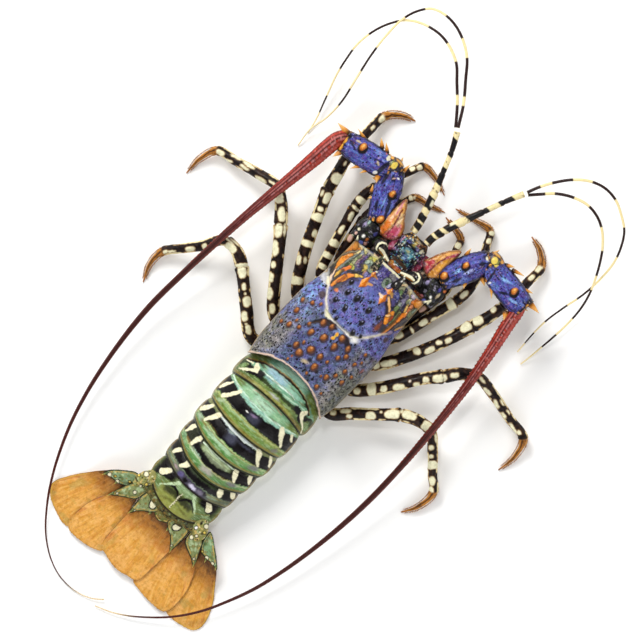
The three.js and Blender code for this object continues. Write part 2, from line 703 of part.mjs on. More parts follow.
// Along a ring from front to rear, shares of its greatest half width and of its top.
const RING_FLARE = [[0, 0.93], [0.25, 0.985], [0.5, 1], [0.8, 0.985], [1, 0.94]];
const RING_ARCH = [[0, 0.94], [0.3, 0.985], [0.6, 1], [1, 0.985]];
// Under a ring, by the sine of the turn: the side plates' points, then the hollow belly.
const RING_UNDERSIDE = [[0, 13], [0.26, 1], [0.5, 2.2], [0.71, 5], [1, 6.5]];

function ringBody(index, grow = 0) {
  const ring = RINGS[index];
  const before = index === 0 ? { rearY: SHELL.rearY, rearSideY: SHELL.rearSideY } : RINGS[index - 1];
  const flareAt = graph(RING_FLARE);
  const archAt = graph(RING_ARCH);
  const undersideAt = graph(RING_UNDERSIDE);
  const nextTop = index < RINGS.length - 1 ? RINGS[index + 1].topZ : ring.topZ - RING.lastFall;
  return skin(22, 5, (turn, along, spread) => {
    const halfWidth = (ring.halfWidth + grow) * flareAt(along);
    const topZ = lerp(ring.topZ, nextTop + 1, along ** 2) * archAt(along) + grow;
    const x = halfWidth * Math.cos(turn) * spread;
    const height = Math.abs(Math.sin(turn));
    const upper = RING.sideZ + (topZ - RING.sideZ) * height ** RING.round;
    const rimZ = Math.sin(turn) > 0 ? upper : undersideAt(height) - grow;
    const z = lerp(RING.centreZ, rimZ, spread);
    const droop = clamp(1 - z / RING.centreZ, 0, 1) ** 1.5;
    const frontEdge = bowedEdge(before.rearY, before.rearSideY, ring.halfWidth, x) + RING.overlap;
    const frontY = frontEdge - RING.frontDroop * droop + grow;
    const rearEdge = bowedEdge(ring.rearY, ring.rearSideY, ring.halfWidth, x);
    const rearY = rearEdge - RING.rearDroop * droop - grow;
    return new THREE.Vector3(x, lerp(frontY, rearY, along), z);
  });
}

function abdomen() {
  const headRoom = [shellBody(SHELL_MESH, GAP), breastplate(GAP)];
  return RINGS.map((ring, index) => {
    const ahead = index === 0 ? headRoom : [ringBody(index - 1, GAP)];
    return piece(`tail_ring_${index + 1}`, carved(ringBody(index), ...ahead), COLOR.ring);
  });
}

// ---------------------------------------------------------------------------------------------
// Tail fan: the telson, and an inner and an outer blade on a knuckle on each side
// ---------------------------------------------------------------------------------------------

const TELSON = [
  [-17, -162.5], [-20.5, -171], [-20.6, -180], [-20.3, -200], [-18.5, -213], [-11, -216.5], [0, -219],
  [11, -217.3], [19.5, -214], [21.5, -200], [22.5, -180], [22.8, -171], [19, -162.5],
];
const BLADES = {
  left: {
    outer: [
      [-33, -157.5], [-45, -162], [-55, -171], [-65, -183], [-72, -193], [-77, -204], [-72, -212.5],
      [-60, -218.5], [-48, -221], [-41, -214], [-38, -198], [-37, -180], [-32, -165],
    ],
    inner: [
      [-24, -163], [-31, -164], [-38, -177], [-45, -190], [-48.5, -202], [-48.5, -216], [-44, -221.6],
      [-34, -222], [-22, -220], [-14, -214], [-15, -196], [-21, -178],
    ],
  },
  right: {
    outer: [
      [36, -152.5], [46, -158], [55, -165.5], [66, -179.5], [73, -189.5], [78, -202], [77, -211.5],
      [70, -215.8], [56, -218], [47, -214], [42, -198], [40, -181], [35, -163],
    ],
    inner: [
      [25, -162], [32.5, -160.5], [41, -172], [48, -183.5], [52, -195], [53, -208], [50, -218],
      [40, -220], [26, -219], [16, -215], [17, -196], [22.5, -178],
    ],
  },
};

// How high the fan stands over its blades' flat part.
function fanRise(y) {
  const climb = clamp((y - FAN.flatY) / (FAN.stemY - FAN.flatY), 0, 1);
  return FAN.stemZ * climb * climb * (3 - 2 * climb);
}

function blade(outline, layer) {
  return lobe(outline, (x, y) => FAN.layerZ[layer] + fanRise(y), FAN.thickness);
}

// The knuckle that carries both blades of one side.
function knuckle(side) {
  const stations = [
    [side * 22, -147, 20, 3.6],
    [side * 26, -151.5, 19, 5.2],
    [side * 28.5, -156, 17.5, 4.8],
    [side * 29, -159.5, 16, 3.2],
  ];
  const lastRing = ringBody(RINGS.length - 1, GAP);
  return carved(limb(stations, { sides: 8 }), lastRing);
}

function tailFan() {
  const lastRing = ringBody(RINGS.length - 1, GAP);
  const sides = Object.keys(SIDES).flatMap((name) => [
    piece(`tail_knuckle_${name}`, knuckle(SIDES[name]), COLOR.knuckle),
    piece(`tail_blade_outer_${name}`, blade(BLADES[name].outer, 'outer'), COLOR.fan),
    piece(`tail_blade_inner_${name}`, blade(BLADES[name].inner, 'inner'), COLOR.fan),
  ]);
  const telson = piece('telson', carved(blade(TELSON, 'telson'), lastRing), COLOR.fan);
  return [telson, ...sides];
}

// ---------------------------------------------------------------------------------------------
// The whole lobster
// ---------------------------------------------------------------------------------------------

function headParts() {
  const pairs = Object.entries(SIDES).flatMap(([name, side]) => [
    piece(`eye_${name}`, eye(side), COLOR.eye, GLOSSY),
    piece(`feeding_limb_${name}`, feedingLimb(side), COLOR.feeding),
    pad(name),
    antenna(name),
    antennule(name),
  ]);
  return [carapace(), antennularPlate(), piece('mouth_plate', mouthPlate(), COLOR.mouth), ...pairs];
}

function legParts() {
  const numbers = Object.keys(LEG_BUILD);
  return Object.keys(SIDES).flatMap((name) => numbers.map((number) => leg(name, number)));
}

const lobster = group(
  group(...headParts()),
  group(piece('breastplate', breastplate(), COLOR.belly), ...legParts()),
  group(...abdomen(), ...tailFan()),
);

export default lobster;
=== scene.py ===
# %% [markdown]
# # A raw ornate spiny lobster, seen from straight above
# The lobster lies flat on its belly. Its shell is hard, wet and painted by nature with marks
# that have crisp edges. Each lesson cell below makes one piece of it: first a form that is
# pulled into shape from a bmesh grid, then relief, then its coat of colours, then its finish.
# All lengths are in millimetres until the moment that they go into a mesh.

# %% The fixed frame
import math

import bmesh
import bpy
import numpy as np
from mathutils import Matrix, Vector
from mathutils.kdtree import KDTree


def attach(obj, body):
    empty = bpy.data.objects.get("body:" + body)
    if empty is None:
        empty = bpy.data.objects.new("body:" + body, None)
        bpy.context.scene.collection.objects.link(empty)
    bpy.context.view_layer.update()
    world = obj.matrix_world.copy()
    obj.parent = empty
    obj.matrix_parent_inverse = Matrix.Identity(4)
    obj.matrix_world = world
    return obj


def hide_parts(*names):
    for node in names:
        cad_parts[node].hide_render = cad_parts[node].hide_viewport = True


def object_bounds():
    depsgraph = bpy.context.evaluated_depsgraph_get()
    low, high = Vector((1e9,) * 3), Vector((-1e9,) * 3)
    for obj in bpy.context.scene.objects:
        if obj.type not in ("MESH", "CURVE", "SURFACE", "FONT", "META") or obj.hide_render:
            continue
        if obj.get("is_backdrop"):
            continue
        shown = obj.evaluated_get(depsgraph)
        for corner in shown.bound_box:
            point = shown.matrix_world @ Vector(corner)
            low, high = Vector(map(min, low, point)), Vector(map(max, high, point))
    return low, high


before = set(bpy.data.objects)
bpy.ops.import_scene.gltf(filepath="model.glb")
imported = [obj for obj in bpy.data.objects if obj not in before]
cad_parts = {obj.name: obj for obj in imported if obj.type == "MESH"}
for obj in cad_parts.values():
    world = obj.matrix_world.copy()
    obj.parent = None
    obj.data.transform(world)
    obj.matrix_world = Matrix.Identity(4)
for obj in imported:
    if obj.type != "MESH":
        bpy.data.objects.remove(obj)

cad_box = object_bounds()
MM = 0.001
MM_IN_METRE = 1000  # a pattern's scale is this over its size in mm
SIDES = {"left": -1, "right": 1}
cad_mm = [tuple(round(v / MM, 1) for v in corner) for corner in cad_box]
print("frame", len(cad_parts), "nodes, box in mm", cad_mm)

# %% [markdown]
# ## Camera, floor and light
# The picture looks straight down. A very long lens far above keeps the tall head from leaning
# outwards at the edges of the picture. The floor is plain and pale, and the light is soft: a
# sky that is bright near the horizon and dim overhead, so that black shell stays black, and
# lamps from both sides, of which the one at the lobster's left is stronger.

# %% Camera
LENS, SENSOR, FRAME_WIDTH = 1200, 36, 480 * MM
AIM_X, AIM_Y, TURN = -13.6 * MM, 21.6 * MM, 43  # middle of the picture, and its turn in degrees
camera = bpy.data.objects.new("camera", bpy.data.cameras.new("camera"))
camera.data.lens, camera.data.sensor_width = LENS, SENSOR
distance = FRAME_WIDTH * LENS / SENSOR
camera.location = (AIM_X, AIM_Y, distance)
camera.rotation_euler = (0, 0, math.radians(TURN))
camera.data.clip_start, camera.data.clip_end = 0.1, distance * 2
bpy.context.scene.collection.objects.link(camera)
bpy.context.scene.camera = camera
print("camera", round(distance, 2), "m above the table")

# %% Floor and light
def lamp(name, place, size, power, colour):
    """A square lamp that faces the lobster."""
    light = bpy.data.lights.new(name, "AREA")
    light.size, light.energy, light.color = size, power, colour
    holder = bpy.data.objects.new(name, light)
    holder.location = place
    holder.rotation_euler = Vector(place).to_track_quat("Z", "Y").to_euler()
    bpy.context.scene.collection.objects.link(holder)


world = bpy.data.worlds.new("studio")
world.use_nodes = True
sky = world.node_tree
height = sky.nodes.new("ShaderNodeSeparateXYZ")
sky.links.new(sky.nodes.new("ShaderNodeTexCoord").outputs["Generated"], height.inputs[0])
level = sky.nodes.new("ShaderNodeMapRange")
level.interpolation_type = "SMOOTHSTEP"
# Height of the horizon's edge and of the top, and how bright the sky is at each.
SKY = {"From Min": 0.1, "From Max": 1.0, "To Min": 1.25, "To Max": 0.12}
for socket, value in SKY.items():
    level.inputs[socket].default_value = value
sky.links.new(height.outputs["Z"], level.inputs["Value"])
sky.links.new(level.outputs[0], sky.nodes["Background"].inputs["Strength"])
sky.nodes["Background"].inputs["Color"].default_value = (1.0, 1.0, 1.0, 1)
bpy.context.scene.world = world
# Lamps: name, place in metres, size, power in watts, colour.
LAMPS = [("key_lamp", (-1.5, 0.7, 1.5), 0.8, 38, (1.0, 0.985, 0.96)),
         ("fill_lamp", (1.3, -0.9, 1.4), 1.4, 16, (0.97, 0.985, 1.0)),
         ("top_glint", (-0.5, 0.3, 2.2), 0.25, 8, (1.0, 1.0, 1.0))]
for settings in LAMPS:
    lamp(*settings)
bpy.context.scene.view_settings.view_transform = "Standard"

FLOOR_HALF, FLOOR_COLOUR, FLOOR_ROUGH, FLOOR_SHINE = 9, (0.93, 0.93, 0.925, 1), 0.9, 0.1
floor_mesh = bpy.data.meshes.new("floor")
floor_bm = bmesh.new()
bmesh.ops.create_grid(floor_bm, x_segments=1, y_segments=1, size=FLOOR_HALF)
floor_bm.to_mesh(floor_mesh)
floor_bm.free()
floor = bpy.data.objects.new("floor", floor_mesh)
bpy.context.scene.collection.objects.link(floor)
floor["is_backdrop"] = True
floor_finish = bpy.data.materials.new("pale_floor")
floor_finish.use_nodes = True
floor_paint = floor_finish.node_tree.nodes["Principled BSDF"]
floor_paint.inputs["Base Color"].default_value = FLOOR_COLOUR
floor_paint.inputs["Roughness"].default_value = FLOOR_ROUGH
floor_paint.inputs["Specular IOR Level"].default_value = FLOOR_SHINE
floor_mesh.materials.append(floor_finish)
print("floor and", len(bpy.data.lights), "lamps")

# %% [markdown]
# ## Tools for form
# A shell piece is a closed skin. It starts as a flat bmesh grid, whose columns run round the
# piece and whose rows run along it. A formula moves every point of the grid to its place, and
# then the seam and the two poles are merged. The first and last rows are the end caps, which
# close the skin. This way gives even faces, and each point keeps how far along it lies.

# %% Graphs, noise and routes
def graph(stations):
    """A smooth curve through (position, value) stations, flat beyond both ends."""
    at, values = np.array(stations, float).T
    slopes = np.gradient(values, at)

    def value(position):
        position = np.clip(position, at[0], at[-1])
        i = np.clip(np.searchsorted(at, position, side="right") - 1, 0, len(at) - 2)
        step = at[i + 1] - at[i]
        t = (position - at[i]) / step
        near = (1 + 2 * t) * (1 - t) ** 2 * values[i] + t * (1 - t) ** 2 * step * slopes[i]
        far = t * t * (3 - 2 * t) * values[i + 1] - t * t * (1 - t) * step * slopes[i + 1]
        return near + far

    return value


LATTICE_SIDE, LATTICE_SEED = 32, 11
LAYER_SHIFT = 7.3  # keeps the layers of the noise from lining up
CLOUD_GAIN = 1.6  # stretches the noise to about -1 to 1
LATTICE = np.random.default_rng(LATTICE_SEED).random((LATTICE_SIDE,) * 3) * 2 - 1


def cloud(points, size, layers=2):
    """Soft noise between about -1 and 1 over points in mm, in lumps of the given size."""
    total, weight = 0, 0
    for layer in range(layers):
        cell = points / size * 2 ** layer + LAYER_SHIFT * layer
        corner = np.floor(cell).astype(int)
        part = cell - corner
        part = part * part * (3 - 2 * part)
        sample = 0
        for dx in (0, 1):
            for dy in (0, 1):
                for dz in (0, 1):
                    x, y, z = ((corner + (dx, dy, dz)) % LATTICE_SIDE).T
                    share = np.prod(np.where((dx, dy, dz), part, 1 - part), axis=1)
                    sample = sample + LATTICE[x, y, z] * share
        total, weight = total + sample * 0.5 ** layer, weight + 0.5 ** layer
    return total / weight * CLOUD_GAIN


def sized(stations):
    """The length of the route up to each of its stations."""
    points = np.array(stations, float)[:, :3]
    return np.concatenate([[0], np.cumsum(np.linalg.norm(np.diff(points, axis=0), axis=1))])


def hill(distance, width):
    """1 at distance 0, falling to nothing at the width."""
    return np.clip(1 - (distance / width) ** 2, 0, 1) ** 2


def smooth(value, start, end):
    """0 up to start, 1 from end on, and an S between them."""
    t = np.clip((value - start) / (end - start), 0, 1)
    return t * t * (3 - 2 * t)


# %% A closed skin from a bmesh grid
SEAM = 1e-6  # the last column of the grid lies on the first
MERGE = 1e-7  # points as close as this, in metres, become one
CAP_CROWDING = 0.6  # pulls the rows of a cap towards its rim


def rows_of(walls, cap=6):
    """Along and spread for each row of the grid: a cap, the wall, and a cap."""
    edge = np.linspace(0, 1, cap + 1)[:-1] ** CAP_CROWDING
    along = np.concatenate([np.zeros(cap), np.linspace(0, 1, walls + 1), np.ones(cap)])
    spread = np.concatenate([edge, np.ones(walls + 1), edge[::-1]])
    return along, spread


def skin(name, columns, walls, place, cap=6, top_share=0.5):
    """A closed piece. place(turn, along, spread) gives the points in mm."""
    along_row, spread_row = rows_of(walls, cap)
    bm = bmesh.new()
    bmesh.ops.create_grid(bm, x_segments=columns, y_segments=len(along_row) - 1, size=0.5)
    mesh = bpy.data.meshes.new(name)
    bm.to_mesh(mesh)
    flat = np.empty(len(mesh.vertices) * 3)
    mesh.vertices.foreach_get("co", flat)
    column, row = flat.reshape(-1, 3)[:, 0] + 0.5, flat.reshape(-1, 3)[:, 1] + 0.5
    column[column > 1 - SEAM] = 0
    row = np.rint(row * (len(along_row) - 1)).astype(int)
    upper = column < top_share
    turn = np.where(upper, column / top_share, 1 + (column - top_share) / (1 - top_share)) * math.pi
    along, spread = along_row[row], spread_row[row]
    points = place(turn, along, spread)
    mesh.vertices.foreach_set("co", (points * MM).ravel())
    kept = {"along": along, "side": np.cos(turn), "up": np.sin(turn), "wall": spread}
    for label, amounts in kept.items():
        layer = mesh.attributes.new(label, "FLOAT", "POINT")
        layer.data.foreach_set("value", amounts.astype(np.float32))
    bm.clear()
    bm.from_mesh(mesh)
    bmesh.ops.remove_doubles(bm, verts=bm.verts, dist=MERGE)
    bmesh.ops.recalc_face_normals(bm, faces=bm.faces)
    bm.to_mesh(mesh)
    bm.free()
    mesh.shade_smooth()
    piece = bpy.data.objects.new(name, mesh)
    bpy.context.scene.collection.objects.link(piece)
    return piece


def tube(name, stations, columns, walls, cap=5, shape=None):
    """A limb through stations (x, y, z, radius). shape(length, turn) scales its radius."""
    stations = np.array(stations, float)
    lengths = sized(stations)
    lines = [graph(np.column_stack([lengths, stations[:, k]])) for k in range(4)]

    def place(turn, along, spread):
        here = along * lengths[-1]
        centre = np.column_stack([line(here) for line in lines[:3]])
        step = lengths[-1] * 0.002
        ahead = np.column_stack([line(here + step) - line(here - step) for line in lines[:3]])
        ahead /= np.linalg.norm(ahead, axis=1)[:, None]
        right = np.cross(ahead, (0, 0, 1))
        right /= np.linalg.norm(right, axis=1)[:, None]
        above = np.cross(right, ahead)
        radius = lines[3](here) * spread
        if shape is not None:
            radius = radius * shape(here, turn)
        across = right * (radius * np.cos(turn))[:, None]
        return centre + across + above * (radius * np.sin(turn))[:, None]

    piece = skin(name, columns, walls, place, cap)
    along = values(piece, "along") * lengths[-1]
    piece.data.attributes["along"].data.foreach_set("value", along.astype(np.float32))
    return piece


def values(piece, label):
    """A named number of each point of a piece."""
    found = np.empty(len(piece.data.vertices), np.float32)
    piece.data.attributes[label].data.foreach_get("value", found)
    return found.astype(float)


def points_of(piece):
    """The piece's points in mm."""
    flat = np.empty(len(piece.data.vertices) * 3)
    piece.data.vertices.foreach_get("co", flat)
    return flat.reshape(-1, 3) / MM


def normals_of(piece):
    """Which way the surface faces at each point of the piece."""
    flat = np.empty(len(piece.data.vertices) * 3)
    piece.data.vertices.foreach_get("normal", flat)
    return flat.reshape(-1, 3)


def wall_of(piece):
    """True on the wall of a skin, and False on its caps."""
    return values(piece, "wall") > 0.99


def raise_by(piece, height):
    """Moves each point along its normal by a height in mm."""
    moved = points_of(piece) + normals_of(piece) * np.asarray(height)[:, None]
    piece.data.vertices.foreach_set("co", (moved * MM).ravel())
    piece.data.update()


print("tools for form are ready")

# %% [markdown]
# ## Tools for colour
# The marks of this animal aren't a pattern that repeats: each cream bar and orange streak has
# its own place. So a piece gets a coat, one colour for each of its fine points, which is laid
# on like paint: first a ground, then clouds, bands, strokes and blobs with slightly ragged
# edges. The finish of the material adds what is finer than the points.

# %% The palette and the coat
PALETTE = {
    "ink": (12, 9, 12), "soot": (30, 24, 27), "cream": (240, 234, 198), "bone": (232, 222, 200),
    "violet": (80, 80, 160), "indigo": (62, 58, 130), "sky": (122, 160, 210), "lilac": (150, 140, 180),
    "ash": (132, 128, 126), "stone": (112, 108, 104), "sand": (198, 178, 140), "blush": (222, 180, 165),
    "olive": (124, 128, 68), "moss": (74, 96, 48),
    "frost": (172, 205, 190), "mist": (150, 180, 190),
    "orange": (226, 124, 34), "amber": (238, 170, 62), "rust": (150, 76, 36), "brown": (112, 70, 34),
    "umber": (66, 42, 24), "plum": (72, 42, 76), "rose": (206, 120, 130), "magenta": (176, 62, 92),
    "wine": (112, 36, 40), "tan": (222, 160, 78), "ochre": (196, 132, 50),
    "lemon": (226, 200, 90), "gold": (206, 150, 60), "turquoise": (96, 160, 175), "white": (246, 244, 236),
}


def linear(colour):
    """A palette name, or red, green and blue up to 255, as light."""
    share = np.array(PALETTE.get(colour, colour) if isinstance(colour, str) else colour, float) / 255
    return np.where(share <= 0.04045, share / 12.92, ((share + 0.055) / 1.055) ** 2.4)


EXPOSURE = 0.86  # makes up for what the bright studio adds to a painted colour
BAND_END = 2.8  # how far a band fades out at its ends, in mm
MOST_TILES = 60000


class Coat:
    """The colours of a piece's points, laid on over each other. Places are seen from above, in mm."""

    def __init__(self, piece, ground, ragged=0.35):
        self.piece = piece
        self.at = points_of(piece)
        self.rgb = np.tile(linear(ground), (len(self.at), 1))
        wobble = np.column_stack([cloud(self.at, 1.7), cloud(self.at + 40, 1.7)])
        drift = np.column_stack([cloud(self.at, 6), cloud(self.at + 40, 6)])
        self.xy = self.at[:, :2] + ragged * (0.6 * wobble + drift)
        self.x, self.y = self.xy.T
        self.seen = smooth(normals_of(piece)[:, 2], -0.35, 0.05)

    def lay(self, colour, cover):
        """Covers each point by a share of a colour; the other ways to paint end here."""
        self.rgb += (linear(colour) - self.rgb) * np.clip(cover, 0, 1)[:, None]

    def clouds(self, colour, size, amount, where=1.0, level=0.1, seed=0):
        """Soft lumps of a size in mm; a higher level leaves fewer of them."""
        lumps = smooth(cloud(self.at + seed, size, 3), level, level + 0.5)
        self.lay(colour, lumps * amount * where)

    def blob(self, colour, x, y, long, wide=None, heading=90, soft=0.3, strength=1.0, power=2.0):
        """An oval of full length `long` along its heading in degrees, and full width `wide`."""
        wide = wide or long
        turn = math.radians(heading)
        dx, dy = self.x - x, self.y - y
        ahead = (dx * math.cos(turn) + dy * math.sin(turn)) / (long / 2)
        across = (dx * math.sin(turn) - dy * math.cos(turn)) / (wide / 2)
        reach = (np.abs(ahead) ** power + np.abs(across) ** power) ** (1 / power)
        outside = (reach - 1) * min(long, wide) / 2
        self.lay(colour, strength * self.seen * (1 - smooth(outside, -soft, soft)))

    def stroke(self, colour, path, width, soft=0.3, strength=1.0):
        """A brush stroke through the points of a path, with one width or one for each point."""
        widths = np.broadcast_to(np.asarray(width, float), len(path)) / 2
        path = np.array(path, float)
        best = np.full(len(self.at), 1e9)
        for (a, b, wa, wb) in zip(path[:-1], path[1:], widths[:-1], widths[1:]):
            span = b - a
            t = np.clip(((self.xy - a) @ span) / (span @ span + 1e-9), 0, 1)
            gap = np.linalg.norm(self.xy - a - t[:, None] * span, axis=1)
            best = np.minimum(best, gap - (wa + (wb - wa) * t))
        self.lay(colour, strength * self.seen * (1 - smooth(best, -soft, soft)))

    def band(self, colour, front, rear, soft=0.35, left=-99, right=99, strength=1.0):
        """What lies between two curves across the body, as functions or numbers of x."""
        x = self.x
        head = front(x) if callable(front) else front
        tail = rear(x) if callable(rear) else rear
        cover = smooth(head - self.y, -soft, soft) * smooth(self.y - tail, -soft, soft)
        cover *= smooth(x - left, -BAND_END, BAND_END) * smooth(right - x, -BAND_END, BAND_END)
        self.lay(colour, strength * self.seen * cover)

    def tiles(self, colours, size, where=1.0, gap="ink", line=0.16, seed=0):
        """A mosaic: every point takes the colour of its nearest site, with a gap between the tiles."""
        random = np.random.default_rng(seed)
        low, high = self.at.min(axis=0), self.at.max(axis=0)
        count = min(int(np.prod(high - low + size) / size ** 3) + 8, MOST_TILES)
        sites = random.uniform(low - size, high + size, (count, 3))
        tree = KDTree(count)
        for index, site in enumerate(sites):
            tree.insert(site, index)
        tree.balance()
        pick = random.integers(0, len(colours), count)
        found = [tree.find_n(point, 2) for point in self.at]
        chosen = np.array([linear(colour) for colour in colours])[pick[[near[0][1] for near in found]]]
        border = np.array([near[1][2] - near[0][2] for near in found]) / size
        share = np.broadcast_to(where, len(self.at))[:, None]
        self.rgb += (chosen - self.rgb) * share
        self.lay(gap, (1 - smooth(border, line * 0.6, line * 1.4)) * share[:, 0])

    def calm(self):
        """1 where the coat is neither warm, black nor pale, so that specks may lie on it."""
        warm = smooth(self.rgb[:, 0] - self.rgb[:, 2], 0.06, 0.2)
        lit = smooth(self.rgb.sum(axis=1), 0.07, 0.34)
        pale = smooth(self.rgb.min(axis=1), 0.4, 0.6)
        return (1 - warm) * lit * (1 - pale)

    def done(self):
        """Keeps the coat with the piece, for its material to read."""
        rgba = np.column_stack([np.clip(self.rgb * EXPOSURE, 0, 1), np.ones(len(self.rgb))])
        paint = self.piece.data.attributes.new("paint", "FLOAT_COLOR", "POINT")
        paint.data.foreach_set("color", rgba.astype(np.float32).ravel())


def arc(middle, side, half=30, power=2.0):
    """A curve across the body, with its place on the middle line and at the side."""
    return lambda x: middle + (side - middle) * (np.abs(x) / half) ** power


print("palette of", len(PALETTE), "colours")

# %% [markdown]
# ## Tools for finish
# A wet shell isn't one colour even inside one mark: it has clouds of tone, tiny dark pores,
# a grain that breaks the light, and wetter and drier places. Each of these effects is a node
# group that is built once, and every material mixes them with its own values.

# %% Wiring helpers and shared effects
class Wires:
    """Adds nodes to a tree and links them in one go."""

    def __init__(self, tree):
        self.tree = tree

    def add(self, kind, inputs=None, **settings):
        made = self.tree.nodes.new("ShaderNode" + kind)
        for name, setting in settings.items():
            setattr(made, name, setting)
        for name, value in (inputs or {}).items():
            socket = made.inputs[name]
            if isinstance(value, bpy.types.NodeSocket):
                self.tree.links.new(value, socket)
            else:
                socket.default_value = value
        return made

    def math(self, operation, a, b=0.0):
        return self.add("Math", {0: a, 1: b}, operation=operation).outputs[0]

    def blend(self, share, a, b):
        """A share of colour b over colour a."""
        return self.add("Mix", {0: share, 6: a, 7: b}, data_type="RGBA").outputs[2]

    def spread(self, value, low, high, to_low=0.0, to_high=1.0):
        inputs = {0: value, 1: low, 2: high, 3: to_low, 4: to_high}
        return self.add("MapRange", inputs, interpolation_type="SMOOTHSTEP").outputs[0]

    def noise(self, place, scale, detail=3.0, rough=0.55):
        inputs = {"Vector": place, "Scale": scale, "Detail": detail, "Roughness": rough}
        return self.add("TexNoise", inputs).outputs[0]

    def output(self, outputs):
        end = self.tree.nodes.new("NodeGroupOutput")
        for name, socket in outputs.items():
            self.tree.links.new(socket, end.inputs[name])


def effect(name, inputs, outputs):
    """An empty node group with its sockets: {name: (kind, default)} in, {name: kind} out."""
    tree = bpy.data.node_groups.new(name, "ShaderNodeTree")
    for label, (kind, default) in inputs.items():
        socket = tree.interface.new_socket(label, in_out="INPUT", socket_type="NodeSocket" + kind)
        if default is not None:
            socket.default_value = default
    for label, kind in outputs.items():
        tree.interface.new_socket(label, in_out="OUTPUT", socket_type="NodeSocket" + kind)
    wires = Wires(tree)
    return tree, wires, tree.nodes.new("NodeGroupInput").outputs


# Clouds of lighter, darker and warmer tone over a colour.
clouds_fx, w, given = effect("tone_clouds",
    {"Place": ("Vector", None), "Colour": ("Color", (1, 1, 1, 1)), "Scale": ("Float", 200.0),
        "Strength": ("Float", 0.3)}, {"Colour": "Color"})
lump = w.noise(given["Place"], given["Scale"], 4.0, 0.65)
fine = w.noise(given["Place"], w.math("MULTIPLY", given["Scale"], 5.3), 2.0)
mixed = w.math("ADD", w.math("MULTIPLY", lump, 0.65), w.math("MULTIPLY", fine, 0.35))
shift = w.math("MULTIPLY", w.math("SUBTRACT", mixed, 0.5), w.math("MULTIPLY", given["Strength"], 4.0))
warm = w.math("MULTIPLY", w.math("SUBTRACT", fine, 0.5), w.math("MULTIPLY", given["Strength"], 0.12))
toned = w.add("HueSaturation", {
    "Color": given["Colour"],
    "Hue": w.math("ADD", warm, 0.5),
    "Saturation": w.math("ADD", w.math("MULTIPLY", shift, -0.3), 1.0),
    "Value": w.math("ADD", shift, 1.0),
})
w.output({"Colour": toned.outputs[0]})

# Round specks of two sizes, thrown over the surface without any order.
specks_fx, w, given = effect(
    "specks",
    {"Place": ("Vector", None), "Scale": ("Float", 800.0), "Cover": ("Float", 0.3)},
    {"Mask": "Float"})
longer = w.add("VectorMath", {0: given["Place"], 1: (1.2, 0.8, 1.0)}, operation="MULTIPLY")
bent = w.add("VectorMath", {0: longer.outputs[0]}, operation="ADD")
swirl = w.add("TexNoise", {"Vector": given["Place"], "Scale": w.math("MULTIPLY", given["Scale"], 0.8)})
small = w.add("VectorMath", {0: swirl.outputs[1], "Scale": 0.0005}, operation="SCALE")
w.tree.links.new(small.outputs[0], bent.inputs[1])
cells = w.add("TexVoronoi", {"Vector": bent.outputs[0], "Scale": given["Scale"]})
chosen = w.add("SeparateColor", {0: cells.outputs["Color"]})
reach = w.math("SUBTRACT", w.math("ADD", chosen.outputs[0], given["Cover"]), 1.0)
reach = w.math("MINIMUM", w.math("MULTIPLY", reach, 1.6), 0.4)
mask = w.spread(w.math("SUBTRACT", reach, cells.outputs["Distance"]), -0.05, 0.06)
w.output({"Mask": mask})

# A net of pale lines round cells, each of which is a little lighter or darker than the next.
net_fx, w, given = effect("net",
    {"Place": ("Vector", None), "Scale": ("Float", 500.0), "Colour": ("Color", (1, 1, 1, 1)),
        "Line": ("Color", (1, 1, 1, 1)), "Strength": ("Float", 0.5)}, {"Colour": "Color"})
drift = w.add("TexNoise", {"Vector": given["Place"], "Scale": w.math("MULTIPLY", given["Scale"], 0.7)})
push = w.add("VectorMath", {0: drift.outputs[1], "Scale": 0.0016}, operation="SCALE")
moved = w.add("VectorMath", {0: given["Place"], 1: push.outputs[0]}, operation="ADD")
border = w.add("TexVoronoi", {"Vector": moved.outputs[0], "Scale": given["Scale"]},
    feature="DISTANCE_TO_EDGE")
cells = w.add("TexVoronoi", {"Vector": moved.outputs[0], "Scale": given["Scale"]})
lot = w.add("SeparateColor", {0: cells.outputs["Color"]})
swing = w.math("MULTIPLY", w.math("SUBTRACT", lot.outputs[0], 0.55), given["Strength"])
tint = w.math("MULTIPLY", w.math("SUBTRACT", lot.outputs[1], 0.5),
    w.math("MULTIPLY", given["Strength"], 0.08))
patchy = w.add("HueSaturation",
    {"Color": given["Colour"], "Hue": w.math("ADD", tint, 0.5), "Value": w.math("ADD", swing, 1.0)})
faint = w.noise(given["Place"], w.math("MULTIPLY", given["Scale"], 0.4))
close = w.spread(border.outputs["Distance"], 0.02, 0.14, 1.0, 0.0)
thin = w.math("MULTIPLY", close, w.spread(faint, 0.4, 0.7))
bright = w.add("HueSaturation", {"Color": given["Colour"], "Saturation": 0.8, "Value": 1.6})
pale = w.blend(0.14, bright.outputs[0], given["Line"])
w.output({"Colour": w.blend(w.math("MULTIPLY", thin, given["Strength"]), patchy.outputs[0], pale)})

# The grain of the shell: soft lumps with small pits in them.
grain_fx, w, given = effect(
    "shell_grain",
    {"Place": ("Vector", None), "Scale": ("Float", 900.0), "Pits": ("Float", 0.5)},
    {"Height": "Float", "Wet": "Float"})
lumps = w.noise(given["Place"], given["Scale"], 3.0)
cells = w.add("TexVoronoi", {"Vector": given["Place"], "Scale": w.math("MULTIPLY", given["Scale"], 0.9)})
pit = w.math("MULTIPLY", w.spread(cells.outputs["Distance"], 0.0, 0.35, 1.0, 0.0), given["Pits"])
film = w.noise(given["Place"], w.math("MULTIPLY", given["Scale"], 0.12), 3.0)
w.output({"Height": w.math("SUBTRACT", lumps, pit), "Wet": w.spread(film, 0.35, 0.65)})

